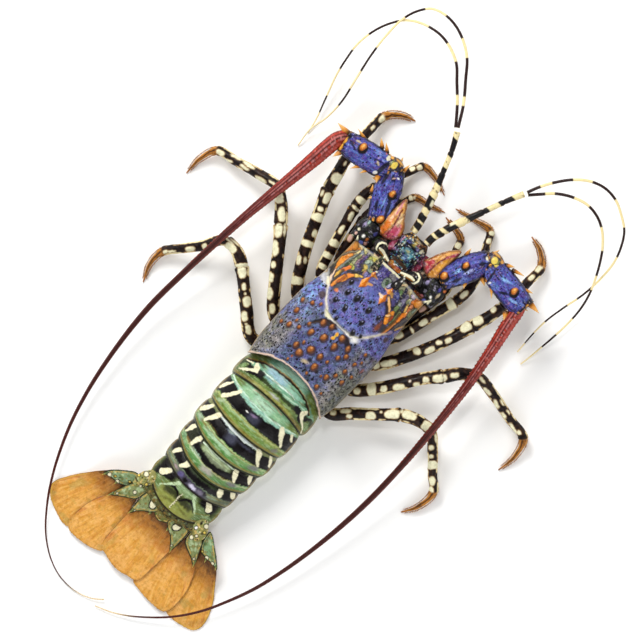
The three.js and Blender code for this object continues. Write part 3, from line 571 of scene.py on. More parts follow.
# Fine threads that run along a piece: Across is the place across them.
threads_fx, w, given = effect(
    "threads",
    {"Across": ("Float", 0.0), "Along": ("Float", 0.0), "Fine": ("Float", 1.5)},
    {"Mask": "Float"})
lane = w.add("CombineXYZ", {
    0: w.math("MULTIPLY", given["Across"], given["Fine"]),
    1: w.math("MULTIPLY", given["Along"], w.math("MULTIPLY", given["Fine"], 0.045)),
})
w.output({"Mask": w.noise(lane.outputs[0], 1.0, 4.0, 0.6)})
print("effects:", [group.name for group in bpy.data.node_groups])

# %% [markdown]
# The finish of each part of the animal: the head shell is grainy and speckled, the rings of
# the tail are smooth and very wet, the legs shine, the fan is a dull membrane of threads, the
# whips are ringed horn, and the eyes are like black glass. All of them take their large marks
# from the coat of their piece.

# %% Materials
def shell_finish(name, tone=0.2, tone_size=5.0, specks=0.0, speck_size=1.2, speck_colour="ink",
                 net=0.0, net_size=1.9, net_colour="sky",
                 grain=0.7, depth=0.12, pits=0.5, rough=(0.28, 0.5), shine=0.3, extra=None):
    """A wet shell. Sizes are in mm; extra(wires, colour, height) may change the last two."""
    material = bpy.data.materials.new(name)
    material.use_nodes = True
    w = Wires(material.node_tree)
    shader = material.node_tree.nodes["Principled BSDF"]
    place = w.add("TexCoord").outputs["Object"]
    colour = w.add("Attribute", attribute_name="paint").outputs["Color"]
    toned = w.add("Group", node_tree=clouds_fx)
    for label, value in (("Place", place), ("Colour", colour), ("Scale", MM_IN_METRE / tone_size),
        ("Strength", tone)):
        put(w, toned, label, value)
    colour = toned.outputs[0]
    if net:
        amount = w.add("Attribute", attribute_name="specks").outputs["Fac"]
        netted = w.add("Group", node_tree=net_fx)
        strength = w.math("MULTIPLY", w.math("MINIMUM", amount, 1.0), net)
        for label, value in (("Place", place), ("Scale", MM_IN_METRE / net_size), ("Colour", colour),
                             ("Line", (*linear(net_colour), 1)), ("Strength", strength)):
            put(w, netted, label, value)
        colour = netted.outputs[0]
    grained = w.add("Group", node_tree=grain_fx)
    for label, value in (("Place", place), ("Scale", MM_IN_METRE / grain), ("Pits", pits)):
        put(w, grained, label, value)
    height, wet = grained.outputs
    if specks:
        amount = w.add("Attribute", attribute_name="specks").outputs["Fac"]
        for size, share in ((speck_size, 1.0), (speck_size * 0.5, 0.8)):
            thrown = w.add("Group", node_tree=specks_fx)
            for label, value in (("Place", place), ("Scale", MM_IN_METRE / size)):
                put(w, thrown, label, value)
            put(w, thrown, "Cover", w.math("MULTIPLY", amount, specks * share))
            colour = w.blend(thrown.outputs[0], colour, (*linear(speck_colour), 1))
    if extra is not None:
        colour, height = extra(w, colour, height)
    w.tree.links.new(colour, shader.inputs["Base Color"])
    w.tree.links.new(w.spread(wet, 0, 1, rough[1], rough[0]), shader.inputs["Roughness"])
    bump = w.add("Bump", {"Height": height, "Strength": 1.0, "Distance": depth * MM})
    w.tree.links.new(bump.outputs[0], shader.inputs["Normal"])
    shader.inputs["Specular IOR Level"].default_value = shine
    return material


def put(w, target, label, value):
    """Sets an input of a node, or links it."""
    if isinstance(value, bpy.types.NodeSocket):
        w.tree.links.new(value, target.inputs[label])
    else:
        target.inputs[label].default_value = value


WHIP_PITCH, FEELER_PITCH = 1.9, 0.9  # from ring to ring, in mm


def along_of(w):
    """How far along its piece a point lies, in mm."""
    return w.add("Attribute", attribute_name="along").outputs["Fac"]


def fan_threads(w, colour, height):
    """Threads of the fan's membrane, from the lines that run out from the tail."""
    across = w.add("Attribute", attribute_name="across").outputs["Fac"]
    soft = w.add("Attribute", attribute_name="membrane").outputs["Fac"]
    thread = w.add("Group", node_tree=threads_fx)
    for label, value in (("Across", across), ("Along", along_of(w)), ("Fine", 1.3)):
        put(w, thread, label, value)
    dark = w.math("MULTIPLY", w.spread(thread.outputs[0], 0.5, 0.72), w.math("MULTIPLY", soft, 0.26))
    pale = w.math("MULTIPLY", w.spread(thread.outputs[0], 0.5, 0.3), w.math("MULTIPLY", soft, 0.16))
    colour = w.blend(dark, colour, (*linear("ochre"), 1))
    colour = w.blend(pale, colour, (*linear((238, 190, 116)), 1))
    ribbed = w.math("MULTIPLY", thread.outputs[0], w.math("MULTIPLY", soft, 2.0))
    return colour, w.math("ADD", height, ribbed)


def whip_rings(w, colour, height):
    """Rings of the long antennae, closer together towards the tip, with dark lines between."""
    wave = w.math("SINE", w.math("MULTIPLY", along_of(w), 2 * math.pi / WHIP_PITCH))
    line = w.spread(wave, 0.55, 0.95)
    colour = w.blend(w.math("MULTIPLY", line, 0.22), colour, (*linear("umber"), 1))
    return colour, w.math("SUBTRACT", height, w.math("MULTIPLY", line, 1.4))


def antennule_rings(w, colour, height):
    """The much finer rings of the small feelers."""
    wave = w.math("SINE", w.math("MULTIPLY", along_of(w), 2 * math.pi / FEELER_PITCH))
    return colour, w.math("ADD", height, w.math("MULTIPLY", wave, 0.5))


def bristles(w, colour, height):
    """Short fur on the points of the legs."""
    fur = w.add("Attribute", attribute_name="fur").outputs["Fac"]
    side = w.add("Attribute", attribute_name="side").outputs["Fac"]
    thread = w.add("Group", node_tree=threads_fx)
    for label, value in (("Across", w.math("MULTIPLY", side, 6.0)), ("Along", along_of(w)), ("Fine", 2.2)):
        put(w, thread, label, value)
    dark = w.math("MULTIPLY", w.spread(thread.outputs[0], 0.5, 0.7), w.math("MULTIPLY", fur, 0.75))
    colour = w.blend(dark, colour, (*linear("umber"), 1))
    return colour, w.math("ADD", height,
        w.math("MULTIPLY", thread.outputs[0], w.math("MULTIPLY", fur, 2.5)))


FINISH = {
    "head_shell": shell_finish("speckled_head_shell", 0.34, 2.2, 0.62, 2.2, net=0.95, net_size=1.7,
        net_colour=(152, 160, 196), grain=0.8, depth=0.2, pits=0.8, shine=0.2),
    "horn": shell_finish("thorn_horn", 0.2, 2.0, grain=0.5, depth=0.05, rough=(0.2, 0.35)),
    "mosaic": shell_finish("mosaic_plate", 0.45, 1.8, 0.3, 1.6, grain=0.8, depth=0.2, shine=0.2),
    "segment": shell_finish("blue_antenna_shell", 0.4, 2.0, 0.5, 2.0, net=0.8, net_size=1.6,
        net_colour=(130, 150, 214), grain=0.8, depth=0.2, shine=0.18),
    "base": shell_finish("dark_antenna_base", 0.5, 2.2, 0.4, 2.2, net=0.5, net_colour="ash", grain=0.9,
        depth=0.22, pits=0.8, shine=0.15),
    "pad": shell_finish("soft_pad", 0.4, 2.5, grain=1.1, depth=0.14, pits=0.2, rough=(0.3, 0.5)),
    "eye": shell_finish("eye_glass", 0.1, 2.0, grain=0.3, depth=0.01, pits=0.1, rough=(0.05, 0.12),
        shine=0.4),
    "stalk": shell_finish("eye_stalk", 0.2, 1.5, grain=0.5, depth=0.05, rough=(0.2, 0.35)),
    "whip": shell_finish("ringed_whip", 0.3, 2.0, grain=0.6, depth=0.1, rough=(0.3, 0.5), shine=0.15,
        extra=whip_rings),
    "antennule": shell_finish("banded_antennule", 0.15, 2.0, grain=0.4, depth=0.04, shine=0.2,
        extra=antennule_rings),
    "leg": shell_finish("striped_leg_shell", 0.3, 2.4, grain=0.9, depth=0.1, rough=(0.22, 0.42),
        shine=0.12, extra=bristles),
    "belly": shell_finish("pale_belly_shell", 0.3, 4.0, 0.4, 2.4, "rust", grain=1.0, depth=0.12),
    "ring": shell_finish("green_ring_shell", 0.36, 2.8, grain=0.9, depth=0.07, pits=0.35,
        rough=(0.2, 0.42), shine=0.13),
    "fan": shell_finish("tan_fan_membrane", 0.22, 3.4, grain=0.7, depth=0.09, pits=0.3,
        rough=(0.34, 0.55), shine=0.2, extra=fan_threads)}
print("finishes:", len(FINISH))


def dress(piece, finish, slot, *nodes):
    """Gives a piece its finish and its place in the frame."""
    piece.data.materials.append(FINISH[finish])
    for label in ("specks", "fur", "across", "membrane", "along"):
        if label not in piece.data.attributes:
            piece.data.attributes.new(label, "FLOAT", "POINT")
    if "paint" not in piece.data.attributes:
        Coat(piece, "cream").done()
    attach(piece, "root")
    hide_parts(*nodes)
    return piece


def mark(piece, label, amounts):
    """Keeps a number of each point for its material."""
    if label not in piece.data.attributes:
        piece.data.attributes.new(label, "FLOAT", "POINT")
    amounts = np.broadcast_to(np.asarray(amounts, np.float32), len(piece.data.vertices))
    piece.data.attributes[label].data.foreach_set("value", np.ascontiguousarray(amounts, np.float32))

# %% [markdown]
# ## Thorns
# Spiny lobsters have no claws: thorns are their defence. Each one is a cone, made by the
# operator for cones, cut into short lengths, and bent forwards a little. Its root has the
# colour of the shell under it, and its tip is amber horn.

# %% Cones for thorns and spines
def cones(name, rows, sides=10, cuts=4, bend=0.0):
    """One mesh of cones from rows of (root, tip, radius), each with its share of the way to the tip."""
    bm = bmesh.new()
    share = bm.verts.layers.float.new("along")
    for root, tip, radius in rows:
        root, tip = Vector(root), Vector(tip)
        axis = tip - root
        turn = axis.to_track_quat("Z", "Y").to_matrix().to_4x4()
        place = Matrix.Translation((root + tip) / 2 * MM) @ turn
        before = len(bm.verts)
        bmesh.ops.create_cone(bm, cap_ends=True, segments=sides, radius1=radius * MM,
                              radius2=0.12 * MM, depth=axis.length * MM, matrix=place)
        long_edges = [e for e in {e for v in list(bm.verts)[before:] for e in v.link_edges}
                      if abs((e.verts[1].co - e.verts[0].co).dot(axis)) > 0.5 * axis.length_squared * MM]
        bmesh.ops.subdivide_edges(bm, edges=long_edges, cuts=cuts)
        for v in list(bm.verts)[before:]:
            far = (v.co / MM - root).dot(axis) / axis.length_squared
            v[share] = far
            swell = 1 + 0.9 * far * (1 - far)
            on_axis = root + axis * far
            v.co = (on_axis + (v.co / MM - on_axis) * swell + Vector((0, bend * far * (1 - far), 0))) * MM
    mesh = bpy.data.meshes.new(name)
    bmesh.ops.recalc_face_normals(bm, faces=bm.faces)
    bm.to_mesh(mesh)
    bm.free()
    mesh.shade_smooth()
    piece = bpy.data.objects.new(name, mesh)
    bpy.context.scene.collection.objects.link(piece)
    return piece


def paint_thorns(piece, stops):
    """Colours from root to tip: [(share, colour), …]."""
    coat = Coat(piece, stops[0][1], ragged=0)
    far = values(piece, "along") + 0.06 * cloud(coat.at, 0.8)
    for (start, _), (end, colour) in zip(stops[:-1], stops[1:]):
        coat.lay(colour, smooth(far, start, end))
    coat.done()


# %% [markdown]
# ## The head shell
# One hard shell covers head and chest. It is widest at a third of its height, bows at both
# edges, and a deep pale groove crosses it behind the dome of the stomach. Tubercles lean
# forwards all over it. It could be sculpted, but a warped grid keeps its symmetry and lets the
# groove and the tubercles be placed by number.

# %% Form of the head shell
FRONT, REAR = (86, 82.5), (-19.5, -33)
EDGE_HALF, LOWER_Z, WAIST_Z = 36.5, 17, 33
shell_half_width = graph(
    [(-33, 36.5), (-19, 39), (1, 40), (21, 40), (36, 39), (46, 36.8), (61, 35.5), (83, 35)])
shell_ridge = graph([(-20, 56), (-5, 59.5), (15, 61), (35, 60.5), (55, 59), (70, 55), (86, 48.5)])


def bowed(middle, side, half, x):
    """An edge that bows from its place on the middle line to its place at the side."""
    return middle + (side - middle) * np.minimum(np.abs(x) / half, 1.05) ** 2.2


def mix(a, b, share):
    """What lies between a and b."""
    return a + (b - a) * share


def shell_place(turn, along, spread):
    """The places of the head shell's points: an arch above the waist, a trough below it."""
    half = shell_half_width(mix(FRONT[1], REAR[1], along))
    top = shell_ridge(mix(FRONT[0], REAR[0], along))
    x = half * np.cos(turn) * spread
    high = np.abs(np.sin(turn))
    rise = (top - WAIST_Z) * high ** 0.8
    fall = (WAIST_Z - LOWER_Z) * high ** 0.5
    z = WAIST_Z + spread * np.where(np.sin(turn) > 0, rise, -fall)
    y = mix(bowed(*FRONT, EDGE_HALF, x), bowed(*REAR, EDGE_HALF, x), along)
    return np.column_stack([x, y, z])


def shell_top(x, y):
    """The height of the shell over a place."""
    front, rear = bowed(*FRONT, EDGE_HALF, x), bowed(*REAR, EDGE_HALF, x)
    along = np.clip((front - y) / (front - rear), 0, 1)
    half = shell_half_width(mix(FRONT[1], REAR[1], along))
    top = shell_ridge(mix(FRONT[0], REAR[0], along))
    return WAIST_Z + (top - WAIST_Z) * np.maximum(1 - (x / half) ** 2, 0) ** 0.4


carapace = skin("carapace", columns=330, walls=262, place=shell_place, cap=7, top_share=0.84)
print("head shell:", len(carapace.data.vertices), "points")

# %% Relief of the head shell
NECK = [(-36, 52), (-31, 48.5), (-26, 44), (-21, 36), (-13, 29), (-6, 27.6), (0, 27.5), (7, 27.6),
        (14, 29), (21, 36), (26, 43), (30, 48), (36, 52)]
HEART_RIM = [(-18.5, 12), (-15.5, 18), (-10, 24.5), (-4, 27), (6, 27), (12, 25.5), (17, 21), (20, 15)]
# Tubercles: x, y, radius and colour.
BROWN_BUMPS = [(-10.5, 22, 2.3), (-3.5, 24, 2.2), (8, 22.6, 2.4), (16.5, 20, 2.2), (-2.5, 14, 2.7),
    (7.5, 14, 2.5), (19.5, 15, 1.9), (-12.5, 10.5, 2.3), (15.5, 10, 2.0), (-3.5, 1, 2.9),
    (5, 1.6, 2.4), (-14, -4, 2.3), (-8.7, -6.8, 2.6), (7.2, -7, 2.6), (19, -6.5, 2.1),
    (18.5, -16.5, 1.9), (-33.5, 24, 1.9), (-26.5, 27, 1.7), (-31.5, 15.2, 2.1), (-28.4, 3.8, 2.1),
    (-21.5, 7.3, 1.6), (-26, 9.8, 1.2), (-17.5, 14, 1.4), (29.5, 25.5, 1.5), (28.2, 14.8, 1.6),
    (26.5, 6, 1.7), (32.5, 6, 1.4), (23.2, -1, 1.5), (30, -1.5, 1.7), (12, 2.2, 1.3), (-11, 1.2, 1.4),
    (15.5, -9, 1.0), (6, -14, 1.2), (-34.5, 1.5, 1.6), (-21.5, 31, 1.2), (31.2, 19.2, 1.0),
    (-11.5, -16, 1.1), (24.6, -18, 1.2)]
BLACK_BUMPS = [(-12.5, 51, 1.9), (-4.2, 52.3, 2.3), (8, 52, 2.2), (17.2, 52.6, 1.6), (-6, 41.3, 2.0),
    (11, 41.5, 1.9), (-15.5, 41, 1.8), (-10.3, 34.5, 1.4), (11, 31.5, 1.8), (-6, 31.3, 1.5),
    (-15.5, 58.5, 1.7), (4.6, 57.6, 1.1), (17, 33.5, 1.2), (6.8, 59.5, 0.9), (-1.5, 56, 0.8),
    (1, 46.5, 0.9)]
STARS = [((-9, 60), (-8.6, 66), (-8, 72)), ((-6.8, 72.5), (-6.9, 75), (-7, 78)),
         ((10.2, 60), (9.6, 66), (10.8, 71)), ((10.8, 70.5), (10.2, 74), (10.6, 77))]


def far_from(xy, path):
    """The distance of each place from a path."""
    path, best = np.array(path, float), np.full(len(xy), 1e9)
    for a, b in zip(path[:-1], path[1:]):
        t = np.clip(((xy - a) @ (b - a)) / ((b - a) @ (b - a)), 0, 1)
        best = np.minimum(best, np.linalg.norm(xy - a - t[:, None] * (b - a), axis=1))
    return best


def inside_of(xy, outline, soft):
    """1 inside an outline, 0 outside it, soft mm at the border."""
    corner = np.array(outline, float)
    after = np.roll(corner, -1, axis=0)
    hit = np.zeros(len(xy), bool)
    for (ax, ay), (bx, by) in zip(corner, after):
        crossing = (ay > xy[:, 1]) != (by > xy[:, 1])
        hit ^= crossing & (xy[:, 0] < ax + (xy[:, 1] - ay) / (by - ay + 1e-9) * (bx - ax))
    gap = far_from(xy, np.vstack([corner, corner[:1]]))
    return smooth(np.where(hit, gap, -gap), -soft, soft)


BUMP_LEAN, BUMP_BACK = 0.15, 1.35  # in radii: how far the top leans, and how long the back is


def bump(xy, x, y, radius):
    """A tubercle that leans forwards: blunt behind, steep in front."""
    dx, dy = xy[:, 0] - x, xy[:, 1] - y - BUMP_LEAN * radius
    return hill(np.hypot(dx, np.where(dy > 0, dy, dy / BUMP_BACK)), BUMP_BACK * radius) * radius


at = points_of(carapace)
xy = at[:, :2]
upper = smooth(at[:, 2], 33, 37) * wall_of(carapace)
rear_gap = at[:, 1] - bowed(*REAR, EDGE_HALF, at[:, 0])
front_gap = bowed(*FRONT, EDGE_HALF, at[:, 0]) - at[:, 1]
relief = -1.5 * hill(far_from(xy, NECK), 2.3) - 0.6 * hill(far_from(xy, HEART_RIM), 1.6)
dome = smooth(30 - np.abs(xy[:, 0]), 0, 14) * smooth(xy[:, 1], 29, 40) * smooth(-xy[:, 1], -84, -62)
relief += 0.8 * dome
for x, y, radius in BROWN_BUMPS:
    relief += 0.55 * bump(xy, x, y, 0.9 * radius)
for x, y, radius in BLACK_BUMPS:
    relief += 0.62 * bump(xy, x, y, 0.85 * radius)
for path in STARS:
    relief += 1.2 * hill(far_from(xy, path), 3.2)
for side in SIDES.values():
    relief += 0.9 * hill(far_from(xy, [(side * 25, 47), (side * 22, 58), (side * 13, 68)]), 2.6)
    relief += 0.8 * hill(far_from(xy, [(side * 29, 78), (side * 31, 66), (side * 29, 50)]), 2.4)
relief += 0.7 * hill(rear_gap - 0.9, 1.3) - 0.5 * hill(rear_gap - 2.6, 1.3)
relief += 0.5 * hill(front_gap - 0.8, 1.4)
relief += 0.16 * cloud(at, 2.6) + 0.1 * cloud(at, 1.1)
raise_by(carapace, relief * upper)
print("relief from", round(float(relief.min()), 1), "to", round(float(relief.max()), 1), "mm")

# %% [markdown]
# The coat of the head shell goes from violet-blue on the dome to stone grey on the rear
# flanks. Orange, amber and green streaks run back from the eyes, the groove is cream, and the
# heart's shield behind it has a dark rim and brown tubercles.

# %% Coat of the head shell
# Brush strokes of the brow in the order they are laid: colour, width or widths, path.
STREAKS = [
    # the left side
    ((212, 126, 34), [5.6, 4.4, 1.4], [(-33.4, 81), (-33.6, 76), (-34.6, 71)]),
    ((222, 136, 36), 3.2, [(-31, 80.4), (-28.2, 79.6)]),
    ((244, 212, 146), 1.3, [(-36, 83.6), (-33, 82.6), (-29, 82), (-26.8, 81.6)]),
    ((140, 126, 98), [1.6, 2.4, 1.6], [(-28, 78.4), (-31.5, 73), (-33.6, 69)]),
    ((128, 138, 116), 2.4, [(-34.6, 68), (-35, 61), (-34.2, 56)]),
    ((34, 30, 46), [1, 2.4, 1.8], [(-34.4, 58), (-33.6, 54), (-32.4, 50)]),
    ((70, 62, 40), 0.9, [(-34.4, 69), (-34.3, 62), (-33, 56.5), (-31.8, 51)]),
    ((66, 52, 30), 0.8, [(-29.4, 74), (-29.8, 63), (-29.2, 56), (-28, 51)]),
    ((232, 142, 30), [1.6, 3.2, 4.6, 3.8, 1.8, 1.0],
        [(-28.2, 75.4), (-30.4, 71), (-31.9, 66), (-31.8, 62), (-31, 57.4), (-30.4, 54)]),
    ((246, 226, 156), [1.0, 1.5, 0.8], [(-27, 79.6), (-27.4, 77), (-28.2, 74.8)]),
    ((240, 208, 176), [0.8, 1.3, 1.9, 2.4], [(-30.7, 57), (-30.4, 52), (-29, 49), (-26.8, 45.4)]),
    ((118, 130, 116), [1.4, 1.9, 2.2, 1.3], [(-26.6, 76), (-28.3, 70), (-29, 64), (-29.2, 58.4)]),
    ((48, 64, 22), [1, 2.0, 1.4], [(-25.6, 74), (-26.3, 69), (-27.6, 65)]),
    ((166, 170, 120), [2.2, 2.4, 2.6], [(-24.4, 77.6), (-24.4, 73), (-24.4, 69)]),
    ((182, 182, 66), [2.2, 3.0], [(-24.6, 67.6), (-22.4, 66.6)]),
    ((224, 120, 40), [2.4, 2.8, 1.6], [(-24.4, 65.6), (-25.8, 62.4), (-27, 58.6)]),
    ((222, 170, 54), [1.4, 2.0, 1.0], [(-27.2, 59), (-28, 55.4), (-27.9, 52.6)]),
    ((80, 64, 16), 0.9, [(-26, 61), (-26.3, 55), (-26.7, 50), (-26.2, 47)]),
    ((128, 138, 150), 2.6, [(-24.8, 80.4), (-24.2, 77.4)]),
    ((186, 176, 110), 2.2, [(-24.6, 83), (-23, 82)]),
    ((150, 112, 130), 1.9, [(-22.4, 79), (-22.3, 75), (-22, 71)]),
    ((150, 142, 158), 1.7, [(-21, 83.4), (-20, 80.4)]),
    ((96, 68, 146), [1.8, 2.2, 2.8, 2.8], [(-20.3, 80), (-20.6, 75), (-19.8, 71), (-18.4, 68.6)]),
    ((56, 28, 98), [1.0, 1.6, 1.2], [(-21, 76), (-20.2, 73.6), (-18.6, 71)]),
    ((30, 26, 52), 1.0, [(-18.7, 84), (-18.8, 79), (-18.6, 76)]),
    ((184, 192, 100), 6.6, [(-15, 82.6), (-15, 80)]),
    ((212, 200, 84), [2, 3.4], [(-16.5, 83.6), (-13.6, 83)]),
    ((170, 188, 164), 6.2, [(-15, 77.6), (-14.6, 75.4)]),
    ((122, 150, 158), [1.4, 2.4], [(-14.6, 77), (-14.4, 75.4)]),
    ((150, 168, 120), 2.6, [(-11.4, 76.4), (-10.8, 74)]),
    ((206, 180, 78), [3.8, 1.8], [(-16, 73.6), (-15, 70.4)]),
    ((48, 36, 26), [2, 1.2], [(-18.4, 72.8), (-16.8, 71.6)]),
    ((228, 170, 130), 1.7, [(-13.6, 71.4), (-13.4, 69.4)]),
    ((62, 62, 112), 2.6, [(-19.6, 67.8), (-17.6, 68.6)]),
    ((26, 22, 28), [1.5, 2.3, 2.6, 1.6], [(-15.2, 68.8), (-17.4, 66.2), (-20, 64.2), (-22.6, 62)]),
    ((60, 48, 88), 1.4, [(-13.4, 62.6), (-16.8, 60.4), (-18.8, 57.4), (-20.4, 53)]),
    ((112, 96, 132), 1.5, [(-20.4, 62.6), (-23, 59.4)]),
    ((140, 134, 190), 2.0, [(-12.4, 71), (-11.2, 68)]),
    ((250, 206, 98), [1.2, 2.2, 2.6], [(-12.4, 67.2), (-15, 65.4), (-18.2, 62.6)]),
    ((236, 142, 58), [2.4, 3.4, 4.4], [(-18, 62.6), (-20.5, 60), (-22, 56.6)]),
    ((226, 138, 48), [4.2, 3.8, 2.8, 1.8], [(-22, 57), (-23.4, 53.6), (-24.2, 50), (-25, 47)]),
    ((186, 88, 22), 0.9, [(-21.8, 58.6), (-22.6, 54.6), (-23.4, 51)]),
    ((56, 58, 70), [1.2, 2.8, 1.6], [(-20.8, 52.4), (-21.6, 49.6), (-22.2, 46.4)]),
    # the middle
    ((104, 96, 176), 5, [(-4, 82), (-3.6, 78)]),
    ((150, 150, 212), [2.2, 1.2], [(-4.4, 77.6), (-4.6, 75.4)]),
    ((72, 58, 132), 4, [(0.6, 83), (0.8, 79)]), ((128, 124, 132), 3.4, [(3.4, 82.6), (7.4, 81)]),
    ((122, 138, 122), 5.4, [(4, 77.6), (4.2, 74)]), ((60, 90, 50), 1.2, [(3.6, 77), (4.6, 75)]),
    ((190, 190, 222), 1.8, [(7, 77.6), (6.4, 74.6)]), ((40, 34, 60), 1.2, [(8, 78.6), (11.6, 78)]),
    # the right side
    ((178, 176, 138), [3.4, 4.6, 3.4], [(15.2, 84), (15.4, 80.4), (17, 77.4)]),
    ((110, 150, 92), 2.4, [(16.6, 78.6), (17.4, 76.6)]),
    ((240, 202, 150), 1.3, [(16.6, 84.8), (13, 82)]),
    ((212, 192, 134), 2.8, [(21.4, 83), (23.2, 79.6)]),
    ((246, 214, 176), 1.4, [(20, 82.6), (21.4, 79)]), ((220, 202, 220), 2.8, [(25.4, 82), (27, 80.6)]),
    ((192, 190, 168), 2.2, [(26, 78.6), (27, 76.6)]),
    ((126, 118, 148), 3.6, [(22, 78.6), (22.4, 74), (22, 70)]),
    ((142, 154, 152), 2.4, [(21.4, 71.4), (22.2, 69)]),
    ((42, 36, 78), 1.6, [(18.6, 83.6), (19.8, 80), (20.4, 77)]),
    ((24, 20, 46), 1.6, [(19.3, 75.4), (19.6, 70), (20, 65)]),
    ((72, 78, 142), 4.2, [(15.6, 74.6), (17.2, 71)]), ((68, 60, 112), 3.2, [(16, 69.4), (18, 67)]),
    ((34, 28, 72), [1.0, 1.3, 0.8], [(24.5, 75.8), (25.5, 71), (27, 67.6)]),
    ((70, 72, 100), 1.6, [(26.4, 69.4), (27.4, 67.4)]),
    ((120, 140, 82), 3.2, [(22.4, 67.4), (23, 64.6)]), ((40, 44, 18), 2.0, [(24.9, 66.4), (25.4, 62)]),
    ((128, 134, 82), 1.6, [(26.4, 66), (26.4, 60), (26.3, 55)]),
    ((220, 120, 32), [4.4, 5.4, 3.4], [(30, 81.4), (29.8, 78.6), (30, 76)]),
    ((136, 80, 16), 0.9, [(31.4, 79), (31.8, 72)]),
    ((206, 122, 72), [2.6, 3.0, 2.6], [(29.6, 76), (30.2, 70), (30, 66)]),
    ((242, 194, 104), [1.0, 1.7, 1.0], [(26.8, 75), (28, 71), (28.9, 67.4)]),
    ((234, 130, 30), [3.0, 3.6, 2.2], [(29.4, 66.4), (29.5, 62), (29, 57)]),
    ((212, 130, 52), [2.0, 1.7, 1.7, 1.4], [(28.8, 57.4), (28.4, 52), (28, 47), (27, 44)]),
    ((112, 76, 16), 0.8, [(27.1, 65), (27.6, 58), (27.3, 53), (26.4, 47)]),
    ((80, 56, 30), 0.8, [(31.4, 66), (31.2, 60), (30.2, 53)]),
    ((226, 150, 52), [4.6, 3.4], [(35, 81.4), (34.4, 77.6)]),
    ((130, 134, 92), 2.8, [(33.2, 76), (33, 71), (33, 68)]),
    ((132, 152, 134), 1.4, [(33.4, 76), (33.4, 72.6)]),
    ((80, 74, 74), [2.2, 2.8, 2.4], [(33, 66), (32.6, 61), (31.2, 55.6)]),
    ((74, 54, 24), 1.3, [(35.6, 76), (35.4, 68), (35, 61)]),
    ((196, 150, 92), 1.1, [(34.8, 60), (33.5, 57), (32.6, 54)]),
    ((240, 182, 112), [1.4, 1.9, 1.9, 1.4], [(12, 69), (15, 66), (18, 63.2), (21, 60.2)]),
    ((44, 30, 30), 1.3, [(13.6, 64.6), (17, 61.6), (20, 58), (22, 53)]),
    ((236, 144, 40), [2.6, 4.6, 4.8, 2.6], [(22.4, 62.4), (22.6, 60), (22.6, 56.6), (23.6, 53)]),
    ((166, 60, 14), 1.4, [(24.4, 60), (24.8, 56.6)]),
    ((250, 196, 130), 1.4, [(20.6, 57.4), (22, 59.6)]),
    ((104, 62, 60), [2, 3.8, 2.4], [(21.2, 51.6), (22, 49), (21.2, 45.6)]),
    ((50, 50, 60), 3.4, [(24.6, 50), (24.4, 47)]), ((150, 130, 162), 2.2, [(31.4, 51.4), (31, 49)])]
# Flat thorns of the brow as kites: tip, left, root, right.
KITES = [[(-8.3, 71.6), (-11.4, 65.4), (-9, 58.8), (-5.3, 63.8)],
    [(-7.1, 76.8), (-9.4, 73.6), (-8.2, 71), (-5.2, 73.4)],
    [(10.2, 70), (6.7, 65.4), (10, 59.8), (12.2, 64.6)],
    [(10.2, 77), (7.6, 72.4), (10.2, 69.6), (12.6, 72.6)]]


